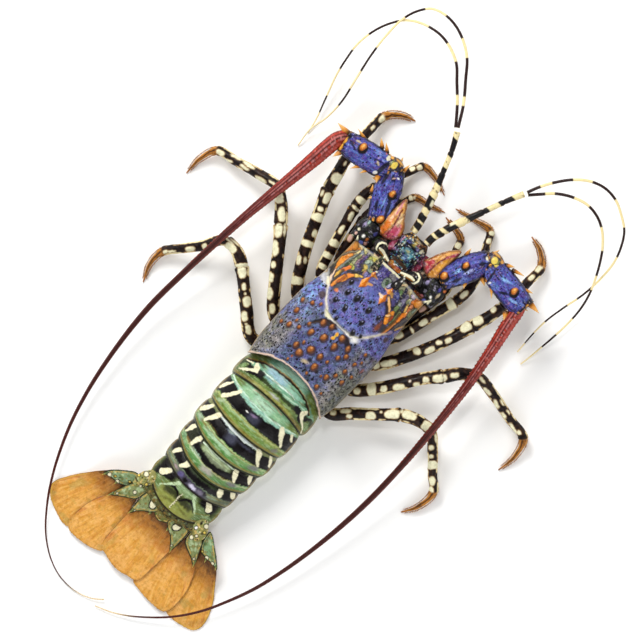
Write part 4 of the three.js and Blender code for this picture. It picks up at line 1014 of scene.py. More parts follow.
def paint_carapace():
    """The head shell's coat: ground, clouds, brow, groove, heart shield, bumps and rims."""
    coat = Coat(carapace, (86, 92, 156), ragged=0.45)
    x, y, z = coat.at.T
    dome = smooth(29 - np.abs(x), 0, 7) * smooth(y, 29, 33)
    coat.lay((92, 106, 170), dome * smooth(12 - np.abs(x + 1), 0, 9) * 0.8)
    coat.lay((70, 74, 140), dome * smooth(np.abs(x), 13, 24) * 0.8)
    coat.lay((66, 68, 128), dome * smooth(-y, -38, -30) * 0.8)
    rear = 1 - smooth(y, 26, 30)
    side = smooth(np.abs(x), 17, 27)
    tail = smooth(-y, -20, 6)
    coat.lay((118, 132, 178), rear * side * smooth(-x, 0, 10) * smooth(y, 8, 24))
    coat.lay((120, 114, 136), rear * side * smooth(x, 0, 10) * 0.9)
    coat.lay((146, 138, 134), rear * side * tail * 0.95)
    coat.lay((124, 118, 104), rear * smooth(x, 27, 34) * 0.8)
    coat.lay((140, 132, 116), rear * smooth(np.abs(x), 26, 34) * smooth(-y, 8, 22))
    coat.lay((112, 128, 168), rear * (1 - side) * smooth(-y, 8, 16) * 0.6)
    # the first haze, sky blue on the left flank only, is painted light from the lamp side over the shell's
    # own blue
    for haze in [("sky", 5, 0.7, (1 - dome) * smooth(y, 4, 30) * smooth(-x, 6, 26), -0.1, 5),
        ((122, 132, 190), 4, 0.55, 1.0, 0.05, 9), ((72, 66, 142), 5, 0.6, 1 - side * tail, 0.0, 21),
        ("ash", 4.5, 0.7, rear * side, -0.05, 33),
        ("olive", 6, 0.45, rear * smooth(np.abs(x), 14, 26) * smooth(-y, -16, 0), 0.1, 47),
        ("stone", 3, 0.6, rear * side * tail, 0.0, 59), ((104, 84, 150), 3.2, 0.5, dome, 0.05, 71),
        ((54, 60, 82), 2.4, 0.75, rear * (1 - 0.4 * side * tail), 0.02, 97),
        ((70, 66, 84), 3.0, 0.7, dome * smooth(np.abs(x), 8, 18), 0.0, 101)]:
        coat.clouds(*haze)
    coat.lay((92, 94, 70), rear * smooth(x, 29, 34) * smooth(-y, -16, -2) * 0.6)
    coat.lay((70, 82, 86), rear * (1 - 0.6 * side) * 0.38)
    front = smooth(y, 60, 70)
    coat.lay((84, 84, 72), front * smooth(np.abs(x), 19, 23) * 0.8)
    coat.lay((86, 80, 140), front * smooth(20 - np.abs(x), 0, 4) * 0.6)
    for colour, width, path in STREAKS:
        coat.stroke("soot", path, np.array(width) + 1.3, soft=0.6, strength=0.8)
        coat.stroke(colour, path, width, soft=0.45, strength=0.95)
    grit = cloud(coat.at, 0.9, 2) * front
    coat.lay("soot", smooth(grit, 0.2, 0.7) * 0.7)
    coat.lay("cream", smooth(-grit, 0.4, 0.8) * 0.2)
    # the groove across the neck, cream with two wide fields
    for brush in [((214, 214, 208), [(-38, 51), (-33, 47.5), (-29, 45)], [9, 6, 3], 1.3, 0.75),
        ("cream", [(-31, 49), (-26.8, 44.5)], [1.6, 2.4], 0.6, 0.9),
        ((196, 196, 222), NECK[2:11], 3.6, 1.2, 0.5), ("bone", NECK[2:11], 1.5, 0.5, 0.95),
        ("bone", NECK[9:12], 1.5, 0.6, 0.7),
        ("cream", [(-16, 30.5), (-12, 28), (-9.5, 27)], [1.6, 3.6, 1.2], 1.1)]:
        coat.stroke(*brush)
    coat.blob("white", 15.6, 27.8, 6.0, 4.0, 30, 1.8, 0.95)
    coat.stroke("olive", [(-16, 31), (-8, 29.2), (8, 29), (16, 31)], 1.0, 0.5, 0.6)
    coat.stroke("white", [(-9, 27.3), (0, 27.6), (12, 27.5)], 0.9, 0.3)
    # the shield over the heart
    for brush in [((30, 18, 18),
            [(-17.6, 14), (-15.4, 18.6), (-12, 22.2), (-8, 24.2), (-3, 25.2), (1, 25)],
            [0.8, 2.2, 4.6, 5.2, 4.2, 1.4], 0.9, 0.96),
        ((30, 18, 18), [(5, 25.2), (10, 23.8), (15, 21.4), (18, 17), (19, 12)],
            [1.6, 5.0, 4.8, 2.4, 0.8], 0.9, 0.96), ("umber", HEART_RIM, 0.9, 0.5, 0.55),
        ("sky", [(2, 25.5), (5.5, 25.5)], 1.8, 0.6, 0.6)]:
        coat.stroke(*brush)
    for spot in [("amber", 3.2, 22.4, 3.6, 2.4), ("amber", 2.6, 18.4, 3.0, 2.6),
        ("lemon", 3.0, 20.4, 1.6), ("sand", -0.8, -8.6, 5.4, 3.0, 12, 1.2, 0.9),
        ("ink", 0.6, -5.6, 3.4, 3.4, 0, 0.8, 0.85), ("ink", 0.5, -14.6, 3.2, 1.8, 20, 0.5, 0.8),
        ("ink", 12.5, -14.5, 2.4, 2.2), ("ink", -15.8, 26.8, 3.0, 2.2),
        ("soot", -17, -8, 3.2, 2.6, 40), ("soot", 11, -8.4, 3.2, 3.0), ("rust", -10.6, -12, 2, 1.6),
        ("umber", -25.5, 36.8, 5.6, 5.0, 70, 1.0, 0.9), ("umber", 32.5, 44, 5.2, 3.6, 90, 0.8, 0.9),
        ("ink", -27.5, 43, 2.8, 2.0), ("orange", -19.6, 46.4, 2.6, 3.4, 90, 0.7, 0.8),
        ("ink", -37, 31, 3.0, 1.6), ("rust", 21.5, 46, 7, 3.2, 80, 1.2, 0.55),
        ("soot", 24, 38, 4, 2, 40, 0.8, 0.7), ("umber", 36, 26, 4.5, 2.4, 90, 0.8, 0.7),
        ("rust", 35.2, 15, 5, 1.8, 80, 0.7, 0.7)]:
        coat.blob(*spot)
    # each brown tubercle: a dark rim, a brown body, and a small pale spot near its top that is a painted
    # highlight
    for bx, by, radius in BROWN_BUMPS:
        for spot in [
            ((52, 34, 40), bx + 0.15 * radius, by - 0.4, 2.9 * radius, 2.5 * radius, 90, 0.45, 0.85),
            ((88, 48, 26), bx, by, 2.25 * radius, 1.9 * radius, 90, 0.4),
            ((158, 92, 40), bx - 0.14 * radius, by + 0.3, 1.6 * radius, 1.2 * radius, 90, 0.5),
            ((206, 142, 76), bx - 0.2 * radius, by + 0.5 * radius, 0.6 * radius, 0.5 * radius, 90, 0.3,
                0.8)]:
            coat.blob(*spot)
    # each black tubercle: soot and ink, with a small pale blue spot near its front that is a painted
    # highlight
    for bx, by, radius in BLACK_BUMPS:
        for spot in [("soot", bx, by - 0.5, 3.1 * radius, 2.2 * radius, 90, 0.4, 0.85),
            ("ink", bx, by - 0.2, 2.5 * radius, 1.7 * radius, 90, 0.3),
            ((150, 150, 190), bx - 0.2, by + 0.5 * radius, 0.6 * radius, 0.35 * radius, 90, 0.25)]:
            coat.blob(*spot)
    for kite in KITES:
        cover = inside_of(coat.xy, kite, 0.35) * coat.seen
        coat.lay((226, 132, 42), cover)
        tip, left, root, right = (np.array(corner) for corner in kite)
        # over each kite: painted shade along its right half and right edges, and a painted highlight along
        # its left half
        coat.lay((182, 84, 20), cover * hill(far_from(coat.xy, [tip, (root + right) / 2]), 1.5) * 0.75)
        coat.lay((246, 172, 74),
            cover * hill(far_from(coat.xy, [(tip + left) / 2, (root + left) / 2]), 1.3) * 0.8)
        coat.lay("umber", hill(far_from(coat.xy, [root, right, tip]), 0.8) * coat.seen * 0.55)
    for brush in [((200, 146, 88), [(-6, 65.6), (-3.2, 66.8)], [2.2, 1.6], 0.4),
        ((196, 140, 76), [(-5.6, 73.8), (-3.0, 73.2)], [1.6, 0.9], 0.4),
        ((236, 206, 176), [(8, 65.8), (5.4, 66.4)], [2.4, 1.3], 0.4),
        ((232, 160, 130), [(8.4, 72.2), (6.2, 72.2)], [1.6, 0.9], 0.4),
        ((204, 152, 74), [(11.8, 72.2), (14, 70.4)], [2.4, 1.4], 0.4)]:
        coat.stroke(*brush)
    coat.blob("cream", -7.2, 77.2, 1.4, 2.2)
    coat.stroke("cream", [(-11, 84), (-11.2, 81.4)], 1.3, 0.3)
    coat.stroke((244, 214, 156), [(-17, 85.4), (-12.6, 86)], 1.4, 0.3)
    # rims: pink-beige behind, cream in front, a pale line down each flank
    gap = coat.y - bowed(*REAR, EDGE_HALF, coat.x)
    edge = (1 - smooth(np.abs(gap - 1.0), 0.5, 0.9)) * coat.seen
    coat.lay((214, 188, 168), edge)
    coat.lay("umber", (1 - smooth(gap, 0.1, 0.4)) * 0.6)
    ahead = bowed(*FRONT, EDGE_HALF, coat.x) - coat.y
    brow = smooth(13 - np.abs(coat.x), 0, 2)
    coat.lay("cream", (1 - smooth(np.abs(ahead - 1.0), 0.6, 1.1)) * (0.35 + 0.65 * brow) * coat.seen)
    flank = smooth(z, 33, 35) * (1 - smooth(z, 37, 40))
    coat.lay((176, 150, 100), flank * np.where(x < 0, 0.75, 0.5))
    coat.clouds("umber", 1.6, 0.6, flank, 0.1, 83)
    under = 1 - smooth(z, 29, 33)
    coat.lay("sand", under * 0.9)
    coat.clouds("ash", 6, 0.6, under, 0.0, 91)
    coat.done()
    pale = 1 - hill(far_from(coat.xy, NECK), 3.0)
    tidy = smooth(gap, 1.6, 3.0) * (1 - smooth(y, 56, 66))
    amount = (0.8 + 0.3 * smooth(-y, -10, 20) + 0.2 * side) * pale * tidy
    amount = amount + 0.3 * (1 - tidy) * smooth(gap, 1.6, 3.0)
    mark(carapace, "specks", np.clip(amount, 0, 1.2) * coat.calm())


paint_carapace()
dress(carapace, "head_shell", "shell_blue", "carapace")
print("strokes on the brow:", len(STREAKS))

# %% Thorns and horns of the head shell
BROW_THORNS = [(-8, 70, 6), (-9, 62, 4), (10.4, 70, 6), (9.8, 62, 4), (-24, 75, 5), (25, 75, 5),
    (-31, 68, 5), (30, 66, 5)]
THORN_COATS = {8: ((196, 108, 34), (238, 160, 70)), 24: ((110, 116, 84), (190, 184, 130)),
    31: ((206, 112, 30), (244, 170, 70))}
for stem, coats in THORN_COATS.items():
    rows = [((x, y, shell_top(x, y) - 1.2),
            (x, y + 0.8 * length, shell_top(x, y) - 1.4 + length * 0.7), 1.7)
        for x, y, length in BROW_THORNS if abs(abs(x) - stem) < 3]
    thorns = cones(f"brow_thorns_{stem}", rows, bend=1.2)
    paint_thorns(thorns, [(0, coats[0]), (0.5, coats[0]), (0.9, coats[1]), (1, "cream")])
    dress(thorns, "horn", "shell_blue", "carapace")
corners = cones("corner_thorns",
    [((side * 30.5, 78, 43), (side * 36.2, 87.6, 46), 2.4) for side in SIDES.values()], bend=1.0)
paint_thorns(corners,
    [(0, (200, 120, 40)), (0.35, (210, 140, 60)), (0.6, "soot"), (0.8, "cream"), (1, "cream")])
dress(corners, "horn", "shell_blue", "carapace")

HORN_STATIONS = [(9.5, 75, 48.5, 3.8), (10.3, 79, 51.5, 3.3), (10.7, 83, 55, 2.6),
    (10.6, 87, 58.8, 1.6), (10.2, 90, 61.6, 0.5)]
for name, side in SIDES.items():
    horn = tube(f"brow_horn_{name}", [(side * x, y, z, r) for x, y, z, r in HORN_STATIONS], columns=28,
        walls=44)
    coat = Coat(horn, "ink", ragged=0.3)
    coat.clouds("sand", 1.3, 0.95, 1.0, 0.1 if side < 0 else 0.75, 3)
    coat.clouds("moss", 2.2, 0.5, 1.0, 0.1 if side < 0 else 0.6, 13)
    # the white spots on the right horn are painted glints
    if side > 0:
        for spot in [("white", 11.2, 84.4, 1.8, 1.0, 80), ("white", 9.4, 80.4, 1.4, 0.7, 80),
            ("white", 11.4, 87, 1.5, 0.9, 40)]:
            coat.blob(*spot)
    coat.lay("cream", smooth(coat.at[:, 2], 60.6, 61.4))
    coat.done()
    dress(horn, "horn", "shell_blue", "carapace")
print("thorns on the brow:", len(BROW_THORNS))

# %% [markdown]
# ## Plate, mouth and eyes
# Between the eyes lies a small plate like a mosaic, which carries the antennules. Each eye is
# a black glossy ball in a cup at the end of a short stalk; the rim of the cup is cream. Balls
# and cups could be spheres and cones, but the cup is one tube, so that its rim is round.

# %% Plate between the eyes, and mouth plate
plate_half = graph([(86, 9), (93, 9.5), (104, 11.5), (112, 11), (117, 8)])
plate_top = graph([(86, 44), (95, 43.5), (105, 44), (117, 42)])
PLATE_REAR, PLATE_FRONT, PLATE_LOW, PLATE_MIDDLE = 86.6, 117, 29.5, 36.75


def boxed(value, roundness):
    """Squares a sine or cosine: 1 is round, and 0 would be a box."""
    return np.sign(value) * np.abs(value) ** roundness


def plate_place(turn, along, spread):
    """A box with round edges, with its own width and height at each place."""
    y = mix(PLATE_FRONT, PLATE_REAR, along)
    reach = np.where(np.sin(turn) > 0, plate_top(y) - PLATE_MIDDLE, PLATE_MIDDLE - PLATE_LOW)
    x = plate_half(y) * boxed(np.cos(turn), 0.6) * spread
    return np.column_stack([x, y, PLATE_MIDDLE + spread * reach * boxed(np.sin(turn), 0.6)])


plate = skin("antennular_plate", columns=120, walls=90, place=plate_place)
at = points_of(plate)
knobs = [(-5, 100, 2.2), (5.5, 101, 2.2), (-7.5, 108, 2.2), (7.5, 108.5, 2.4), (0, 111, 2.2),
    (0, 104.5, 2.4), (-2, 97, 1.6), (3, 97, 1.6)]
height = 0.25 * cloud(at, 2.5) + sum(0.8 * bump(at[:, :2], *knob) for knob in knobs)
height -= 0.9 * hill(at[:, 1] - 107.6, 1.2) + 0.9 * hill(at[:, 1] - 95, 1.2)
raise_by(plate, height * smooth(at[:, 2], 38, 41) * wall_of(plate))
coat = Coat(plate, "soot", 0.3)
coat.tiles([(96, 160, 172), (74, 84, 150), "soot", "indigo", "turquoise", "ink", "ink", "white",
        "frost", (110, 190, 206)], 1.35, gap="ink", line=0.22, seed=3)
flesh = smooth(np.abs(coat.x), 8.4, 9.6) * smooth(coat.y, 97, 99) * (1 - smooth(coat.y, 110, 113))
coat.tiles([(206, 160, 190), (176, 110, 150), "cream", (120, 70, 110), "lilac", "soot"], 1.5, flesh,
    line=0.14, seed=8)
coat.tiles(["brown", "ink", "gold", "soot", "cream"], 1.4, smooth(coat.y, 110, 112), line=0.2, seed=12)
TILES = [("orange", -4, 89, 4, 5), ("rust", 4, 88.5, 8, 3), ("orange", 1.5, 88.2, 13, 3.4),
    ("amber", -4, 89.6, 2.5, 3), ("rose", 1.6, 89.6, 2.6, 2), ("cream", -3.5, 96.2, 2, 1.2),
    ("lemon", 0, 96, 2.6, 1.2), ("frost", 4.6, 95.6, 2, 1.3), ("sky", 0.5, 98.8, 3.4, 4.5),
    ("turquoise", 0.5, 104, 8.5, 6), ("mist", -4.6, 101.5, 3, 3.6), ("turquoise", 3.4, 101.6, 3, 5),
    ("lemon", -0.4, 103.8, 3.2, 2), ("indigo", 4.2, 98, 3.4, 3), ("lilac", -7.5, 99.4, 2.6, 2.6),
    ("white", -8.5, 96.4, 1.8, 1.6), ("lilac", 8.4, 100, 2.4, 3.6), ("frost", -8, 102.5, 3, 2.6),
    ("plum", -9.6, 106.5, 3.4, 7), ("lilac", -9, 107.4, 1.8, 4), ("cream", -6.9, 106.5, 1.2, 4),
    ("lilac", 8.6, 105.4, 4, 3.4), ("frost", 5.4, 107.4, 1.8, 2), ("indigo", -4.4, 110.6, 3, 3.6),
    ("mist", -5.2, 112, 1.6, 1.6), ("lemon", -0.6, 111.4, 2.4, 4.4), ("rose", 2.2, 112.4, 2.4, 3),
    ("lilac", 3.8, 110, 2, 3), ("cream", 7.2, 110.3, 2.6, 3.6), ("sand", 0, 114.8, 7, 1.8),
    ("plum", 9.6, 110, 2.4, 5), ("sky", 1, 100.5, 2, 2)]
for colour, x, y, wide, long in TILES:
    coat.blob(colour, x, y, long, wide, 90, 0.35, 0.5 if abs(x) < 8 else 0)
for brush in [("ink", [(-4.5, 108), (4.5, 108)], 1.1, 0.3),
    ("ink", [(-5.5, 96.5), (-6.2, 105), (-5, 109)], 0.8, 0.3),
    ("umber", [(-5.5, 93.4), (7, 93.4)], 2.8, 0.4)]:
    coat.stroke(*brush)
coat.lay("sand", 1 - smooth(coat.at[:, 2], 32, 37))
coat.clouds("ink", 1.2, 0.8, smooth(coat.y, 93, 95), 0.25, 9)
coat.done()
mark(plate, "specks", 0.9)
dress(plate, "mosaic", "plate_blue", "antennular_plate")


def mouth_place(turn, along, spread):
    """A small flat plate, narrow in front."""
    half = 21 * mix(0.6, 1, np.sqrt(along))
    x = half * boxed(np.cos(turn), 0.6) * spread
    return np.column_stack([x, mix(103, 86.6, along), 23.25 + 5.75 * boxed(np.sin(turn), 0.6) * spread])


mouth = skin("mouth_plate", columns=64, walls=30, place=mouth_place)
at = points_of(mouth)
raise_by(mouth, 0.3 * cloud(at, 3) - 0.6 * hill(np.abs(at[:, 0]) - 7, 1.6) - 0.6 * hill(at[:, 0], 1.2))
coat = Coat(mouth, "sand", 0.4)
coat.clouds("rust", 3, 0.7, 1, 0.15)
coat.clouds("stone", 5, 0.6, 1, 0.1, 17)
coat.done()
mark(mouth, "specks", 0.7)
dress(mouth, "belly", "belly_cream", "mouth_plate")

# %% Eyes and their stalks
EYE_X, EYE_Y, EYE_Z, EYE_RADIUS = 18.9, 93.4, 50, 5.1
# Each limb below has stations of x, y, z and radius, for one side or for both by its sign.
STALK = [(6.4, 88.6, 47.4, 1.7), (9, 89.6, 48, 2.0), (12, 90.7, 48.7, 2.7), (14.6, 91.9, 49.3, 4.0),
    (16.4, 92.8, 49.6, 4.6)]


def paint_eye(piece, side):
    """Black, with the cream rim of the cup as a hook, and a cream bar along the stalk."""
    coat = Coat(piece, (10, 8, 10), 0.1)
    hook = [(side * x, y)
        for x, y in ((13.4, 96.4), (16.4, 97), (19.2, 95.6), (20.3, 92.8), (19.5, 89.6), (17.2, 88))]
    for brush in [("cream", hook, [0.7, 1.3, 1.5, 1.4, 1.2, 0.7], 0.25),
        ("ochre", [(side * 8, 87.7), (side * 12.6, 89.1), (side * 17, 90)], 0.8, 0.3, 0.8),
        ("cream", [(side * 6.6, 88.7), (side * 11, 90.3), (side * 14.6, 91.3), (side * 17.6, 91.2)],
            [1.6, 2.0, 2.2, 1.4], 0.25),
        ("umber", [(side * 14.4, 93.4), (side * 16.4, 94.6)], 1.2, 0.4, 0.6)]:
        coat.stroke(*brush)
    coat.done()


for name, side in SIDES.items():
    bm = bmesh.new()
    bmesh.ops.create_uvsphere(bm, u_segments=96, v_segments=64, radius=EYE_RADIUS * MM,
                              matrix=Matrix.Translation(Vector((side * EYE_X, EYE_Y, EYE_Z)) * MM))
    mesh = bpy.data.meshes.new(f"eye_ball_{name}")
    bm.to_mesh(mesh)
    bm.free()
    mesh.shade_smooth()
    ball = bpy.data.objects.new(f"eye_ball_{name}", mesh)
    bpy.context.scene.collection.objects.link(ball)
    paint_eye(ball, side)
    dress(ball, "eye", "eye_black", f"eye_{name}")
    stations = [(side * x, y, z, r) for x, y, z, r in STALK]
    stalk = tube(f"eye_stalk_{name}", stations, columns=96, walls=90)
    paint_eye(stalk, side)
    dress(stalk, "stalk", "eye_black", f"eye_{name}")
print("eyes at", EYE_X, EYE_Y)

# %% [markdown]
# ## Antennae
# Each antenna has a dark square base, two thick thorny segments of blue shell, and a long
# ringed whip that is swept back past the tail. Segments and whips are tubes through the same
# places as in the fixed frame. A whip is a free limb of the animal and not a cord.

# %% Bases and segments
BASE = [(32, 84.6, 31, 9.6), (32, 91, 31.5, 10.4), (32.5, 98, 33, 10), (33, 103.4, 34, 8)]
SEGMENT_A = {"left": [(-33, 104.2, 35, 7.4), (-36, 111, 35.5, 8.6), (-40.5, 121, 36.5, 10.4),
        (-45, 132.5, 38, 10), (-50, 143, 39.5, 7.6)],
    "right": [(32.5, 104.2, 35, 7.4), (35, 111, 35.5, 8.6), (39.5, 121, 36.5, 10.4),
        (44.5, 132, 38, 10), (50, 142, 39.5, 7.6)]}
SEGMENT_B = {"left": [(-52, 141, 40, 8), (-60, 138, 40.5, 10.2), (-72, 135.6, 41.5, 10.8),
        (-83, 133.4, 42, 10.4), (-92, 132, 42.5, 8.6)],
    "right": [(52, 140, 40, 8), (60, 137, 40.5, 10.2), (72, 134.8, 41.5, 10.8), (84, 133, 42, 10.4),
        (93, 132, 42.5, 8.6)]}
KNOBS = {"left": [(-32, 107.5, 3.0), (-38.3, 127.5, 2.6), (-78.5, 138.2, 2.8)],
    "right": [(31.5, 109.5, 2.8), (38.2, 126, 2.6), (78, 136.4, 2.7)]}
# Gem-like spots of the bases: colour, place, length and width.
BASE_GEMS = {
    "left": [((190, 198, 206), -37.4, 98.6, 7, 2.6), ((88, 96, 176), -31, 84.6, 3.4, 3.4),
        ((228, 160, 150), -28, 86.2, 2.6, 2.4), ("white", -32.6, 90, 3, 2.2),
        ("rust", -29, 89.2, 3, 2.2), ("cream", -39.2, 83.6, 2.6, 2), ("amber", -23.2, 85.2, 2, 2.4),
        ("moss", -23.5, 94, 7, 2.4), ("lilac", -38, 97, 5, 2.2), ("cream", -38.6, 91, 2.4, 2),
        ("blush", -38.4, 87.4, 2.4, 2), ("frost", -36.6, 100, 3, 1.6), ("violet", -27, 97, 4, 2)],
    "right": [("rust", 27, 85.6, 2.6, 9), ("orange", 24, 84.6, 2, 3), ("rose", 29.6, 87, 1.6, 3),
        ((88, 96, 176), 33.4, 85, 3.4, 3), ("cream", 36.4, 87.2, 4.6, 2.2),
        ("white", 35, 90.6, 2.4, 1.6), ("sand", 38.6, 95, 5, 2), ("orange", 40.2, 101, 2.4, 1.8),
        ("lilac", 26, 97, 4, 2.4), ("violet", 36.6, 99, 4, 2)]}
# Thorns: root, tip and root radius, seen from above.
THORNS_A = {
    "left": [((-46, 117), (-49.5, 113), 2.2), ((-52, 129), (-58, 126), 2.6),
        ((-49, 145), (-51, 153), 2.2), ((-44, 144), (-43.6, 152.4), 1.9), ((-50, 117), (-54, 123), 1.8)],
    "right": [((46, 117), (49, 112), 2.2), ((53, 128), (59, 124), 2.6), ((47, 143), (49, 151.5), 2.3),
        ((53, 141), (54, 149.5), 2.4), ((33.5, 131), (32.5, 138), 1.9)]}
THORNS_B = {
    "left": [((-92, 137.5), (-104.5, 138.5), 3.0), ((-80, 143), (-90.5, 145.6), 1.7),
        ((-67, 147), (-73, 152.4), 2.0), ((-62, 147), (-68, 152.4), 1.8),
        ((-70, 127), (-74.5, 119.8), 1.8), ((-64, 128.5), (-66.8, 122), 1.6),
        ((-88, 124.5), (-90, 117.4), 2.4), ((-93, 133), (-99, 134.6), 1.4),
        ((-92, 128), (-96, 129.6), 1.2), ((-56, 131), (-52.8, 125), 2.8)],
    "right": [((91, 137.5), (103, 137), 3.0), ((82, 142), (89.4, 144.8), 1.7),
        ((66, 147), (76, 149.8), 1.8), ((60, 146), (66, 149.8), 2.0),
        ((62, 128.5), (69.4, 120.6), 1.8), ((84, 121), (87, 115), 2.6),
        ((90, 131), (95.4, 132.6), 1.5), ((56, 129), (62, 129.4), 2.8), ((88, 124), (93, 122.4), 1.6)]}


# Marks that one segment alone has: colour, place, length, width and heading.
SEGMENT_MARKS = {
    "left": {
        "a": [("ink", -41, 113, 9, 2.4, 115), ("sky", -38.5, 118, 7, 1.4, 110),
            ("ink", -46, 136, 6, 2.6, 120), ("ink", -34, 118, 22, 2.4, 118),
            ("ink", -50.6, 134, 14, 3, 100), ("gold", -47, 147, 9, 2, 165),
            ("lemon", -51.6, 144.4, 4, 5, 90), ("blush", -45, 136.6, 3, 1, 60),
            ("white", -42.6, 138.6, 2, 1.2, 30)],
        "b": [("ink", -57, 134, 22, 3.4, 86), ("lemon", -54, 144.6, 5, 4, 90),
            ("cream", -58.8, 145, 4, 3, 120), ("white", -58.8, 130, 3.6, 2.6, 60),
            ("amber", -59.6, 148.4, 2, 7, 90), ("sand", -61.6, 137, 4, 1.6, 150),
            ("rose", -62, 147, 2, 1.6, 90), ("amber", -90.6, 127, 6, 3, 110),
            ("amber", -91.4, 133, 5, 2, 100), ("ink", -84, 133.6, 9, 1.4, 165),
            ("sand", -83.6, 139, 4, 2, 10), ("lilac", -64, 141, 3, 1.4, 60)]},
    "right": {
        "a": [("ink", 41, 113, 8, 2.4, 65), ("sky", 37.6, 119, 7, 2.0, 70),
            ("ink", 46.4, 135, 6, 2.6, 60), ((170, 182, 226), 43.4, 124, 9, 2.2, 70),
            ("cream", 46.6, 140.4, 3, 2, 150)],
        "b": [("lemon", 54.4, 142, 4.6, 3.4, 120), ("ink", 57.6, 133, 14, 2.2, 96),
            ("white", 60.4, 128.4, 2.6, 1.6, 80), ("sky", 68, 138, 9, 2.2, 15),
            ("sky", 82, 130, 8, 2.2, 10), ("ink", 73, 130, 8, 2.4, 30)]}}


JOINT = [(46.6, 143.6, 40.4, 5.0), (50, 143.8, 41.6, 6.4), (54, 142.8, 42, 6.6), (57.6, 141.2, 41.4, 5.2)]
JOINT_GEMS = [("ink", 55.6, 139.6, 12, 2.6, 96), ("lemon", 51.8, 144, 5.6, 4.8, 90),
    ("olive", 54.8, 144.4, 5, 1.4, 90), ("cream", 57.6, 143.4, 4.4, 2.4, 60),
    ("gold", 50, 148.6, 2, 8, 90), ("amber", 57, 147, 2, 3, 90), ("white", 48.2, 140.4, 1.6, 1.2, 90),
    ("cream", 57, 137.6, 2.4, 1.6, 90)]


def blue_joint(name, side):
    """The swollen skin and shell between the two segments, black with yellow and cream gems."""
    back = 1 if side > 0 else 0
    stations = [(side * x, y - back, z, r) for x, y, z, r in JOINT]
    joint = tube(f"antenna_joint_{name}", stations, columns=80, walls=60)
    raise_by(joint, 0.3 * cloud(points_of(joint), 2.2))
    coat = Coat(joint, (40, 36, 60), 0.4)
    coat.clouds((222, 150, 50), 2.0, 0.9, 1, 0.2, 5)
    coat.clouds("ink", 2.0, 0.9, 1, 0.1, 15)
    for colour, x, y, long, wide, heading in JOINT_GEMS:
        coat.blob(colour, side * x, y - back, long, wide, heading if side > 0 else 180 - heading, 0.35)
    coat.done()
    dress(joint, "stalk", "segment_blue", f"antenna_segment_a_{name}")


def blue_segment(name, kind, stations, thorns):
    """A thorny segment: relief, streaks along it, its own marks, knobs and thorns."""
    piece = tube(f"antenna_segment_{kind}_{name}", stations, columns=110, walls=120, cap=6)
    at = points_of(piece)
    height = 0.25 * cloud(at, 2.2) + 0.12 * cloud(at, 0.9)
    for knob in KNOBS[name]:
        height += 0.75 * bump(at[:, :2], *knob) * smooth(normals_of(piece)[:, 2], 0, 0.4)
    raise_by(piece, height * wall_of(piece))
    coat = Coat(piece, (66, 70, 156), 0.4)
    far = values(piece, "along") / values(piece, "along").max()
    side = values(piece, "side")
    along_it = np.column_stack(
        [values(piece, "along") * 0.4, side * values(piece, "along").max() * 0.6, 0 * far])
    coat.clouds((76, 52, 122), 3.0, 0.8, 1, 0.1, 25)
    coat.lay((98, 122, 196), smooth(cloud(along_it, 3.0, 3), 0.1, 0.6) * 0.75)
    coat.lay("ink", smooth(cloud(along_it + 17, 2.2, 3), 0.38, 0.58) * 0.9)
    coat.clouds((206, 190, 220), 0.9, 0.7, 1, 0.62, 45)
    coat.clouds((150, 84, 100), 1.4, 0.7, 1, 0.5, 35)
    coat.lay("ink", smooth(np.abs(side), 0.78, 0.94) * smooth(cloud(coat.at, 4), -0.6, 0.1) * 0.95)
    coat.lay("ink", np.maximum(1 - smooth(far, 0.02, 0.09), smooth(far, 0.93, 0.98)) * 0.95)
    for haze in [
        ("ink", 2.6, 0.95, np.maximum(1 - smooth(far, 0.05, 0.2), smooth(far, 0.82, 0.95)), -0.1, 65),
        ((222, 150, 50), 1.8, 0.95, np.maximum(1 - smooth(far, 0.03, 0.08), smooth(far, 0.94, 0.99)),
            0.05, 75),
        ("white", 0.8, 0.9, np.maximum(1 - smooth(far, 0.1, 0.25), smooth(far, 0.8, 0.95)), 0.62, 85)]:
        coat.clouds(*haze)
    for mark_colour, x, y, long, wide, heading in SEGMENT_MARKS[name][kind]:
        coat.blob(mark_colour, x, y, long, wide, heading, 0.35, 0.9)
    # each knob: the ink blob offset towards +x and -y is its painted shadow, and the two lighter spots
    # offset the other way are a painted highlight on its orange
    for x, y, radius in KNOBS[name]:
        for spot in [("ink", x + 0.8, y - 1.1, 3.1 * radius, 2.8 * radius, 90, 0.5),
            ((178, 96, 34), x, y + 0.1, 2.2 * radius, 1.6 * radius, 90, 0.35),
            ((218, 140, 52), x - 0.2, y + 0.5, 1.6 * radius, 1.1 * radius, 90, 0.4),
            ((240, 190, 110), x - 0.3, y + 1.1, 0.7 * radius, 0.5 * radius, 90, 0.3)]:
            coat.blob(*spot)
    coat.lay((170, 120, 90), (1 - smooth(normals_of(piece)[:, 2], -0.75, -0.3)) * 0.6)
    coat.done()
    mark(piece, "specks", 0.65 * coat.calm())
    dress(piece, "segment", "segment_blue", f"antenna_segment_{kind}_{name}")
    z = np.mean([s[2] for s in stations])
    rows = [((*root, z + 1.5), (*tip, z + 4), radius) for root, tip, radius in thorns]
    spikes = cones(f"antenna_thorns_{kind}_{name}", rows, bend=0.6)
    paint_thorns(spikes,
        [(0, "ink"), (0.16, "umber"), (0.34, (206, 128, 40)), (0.7, (232, 170, 84)),
            (1, (244, 206, 150))])
    dress(spikes, "horn", "segment_blue", f"antenna_segment_{kind}_{name}")


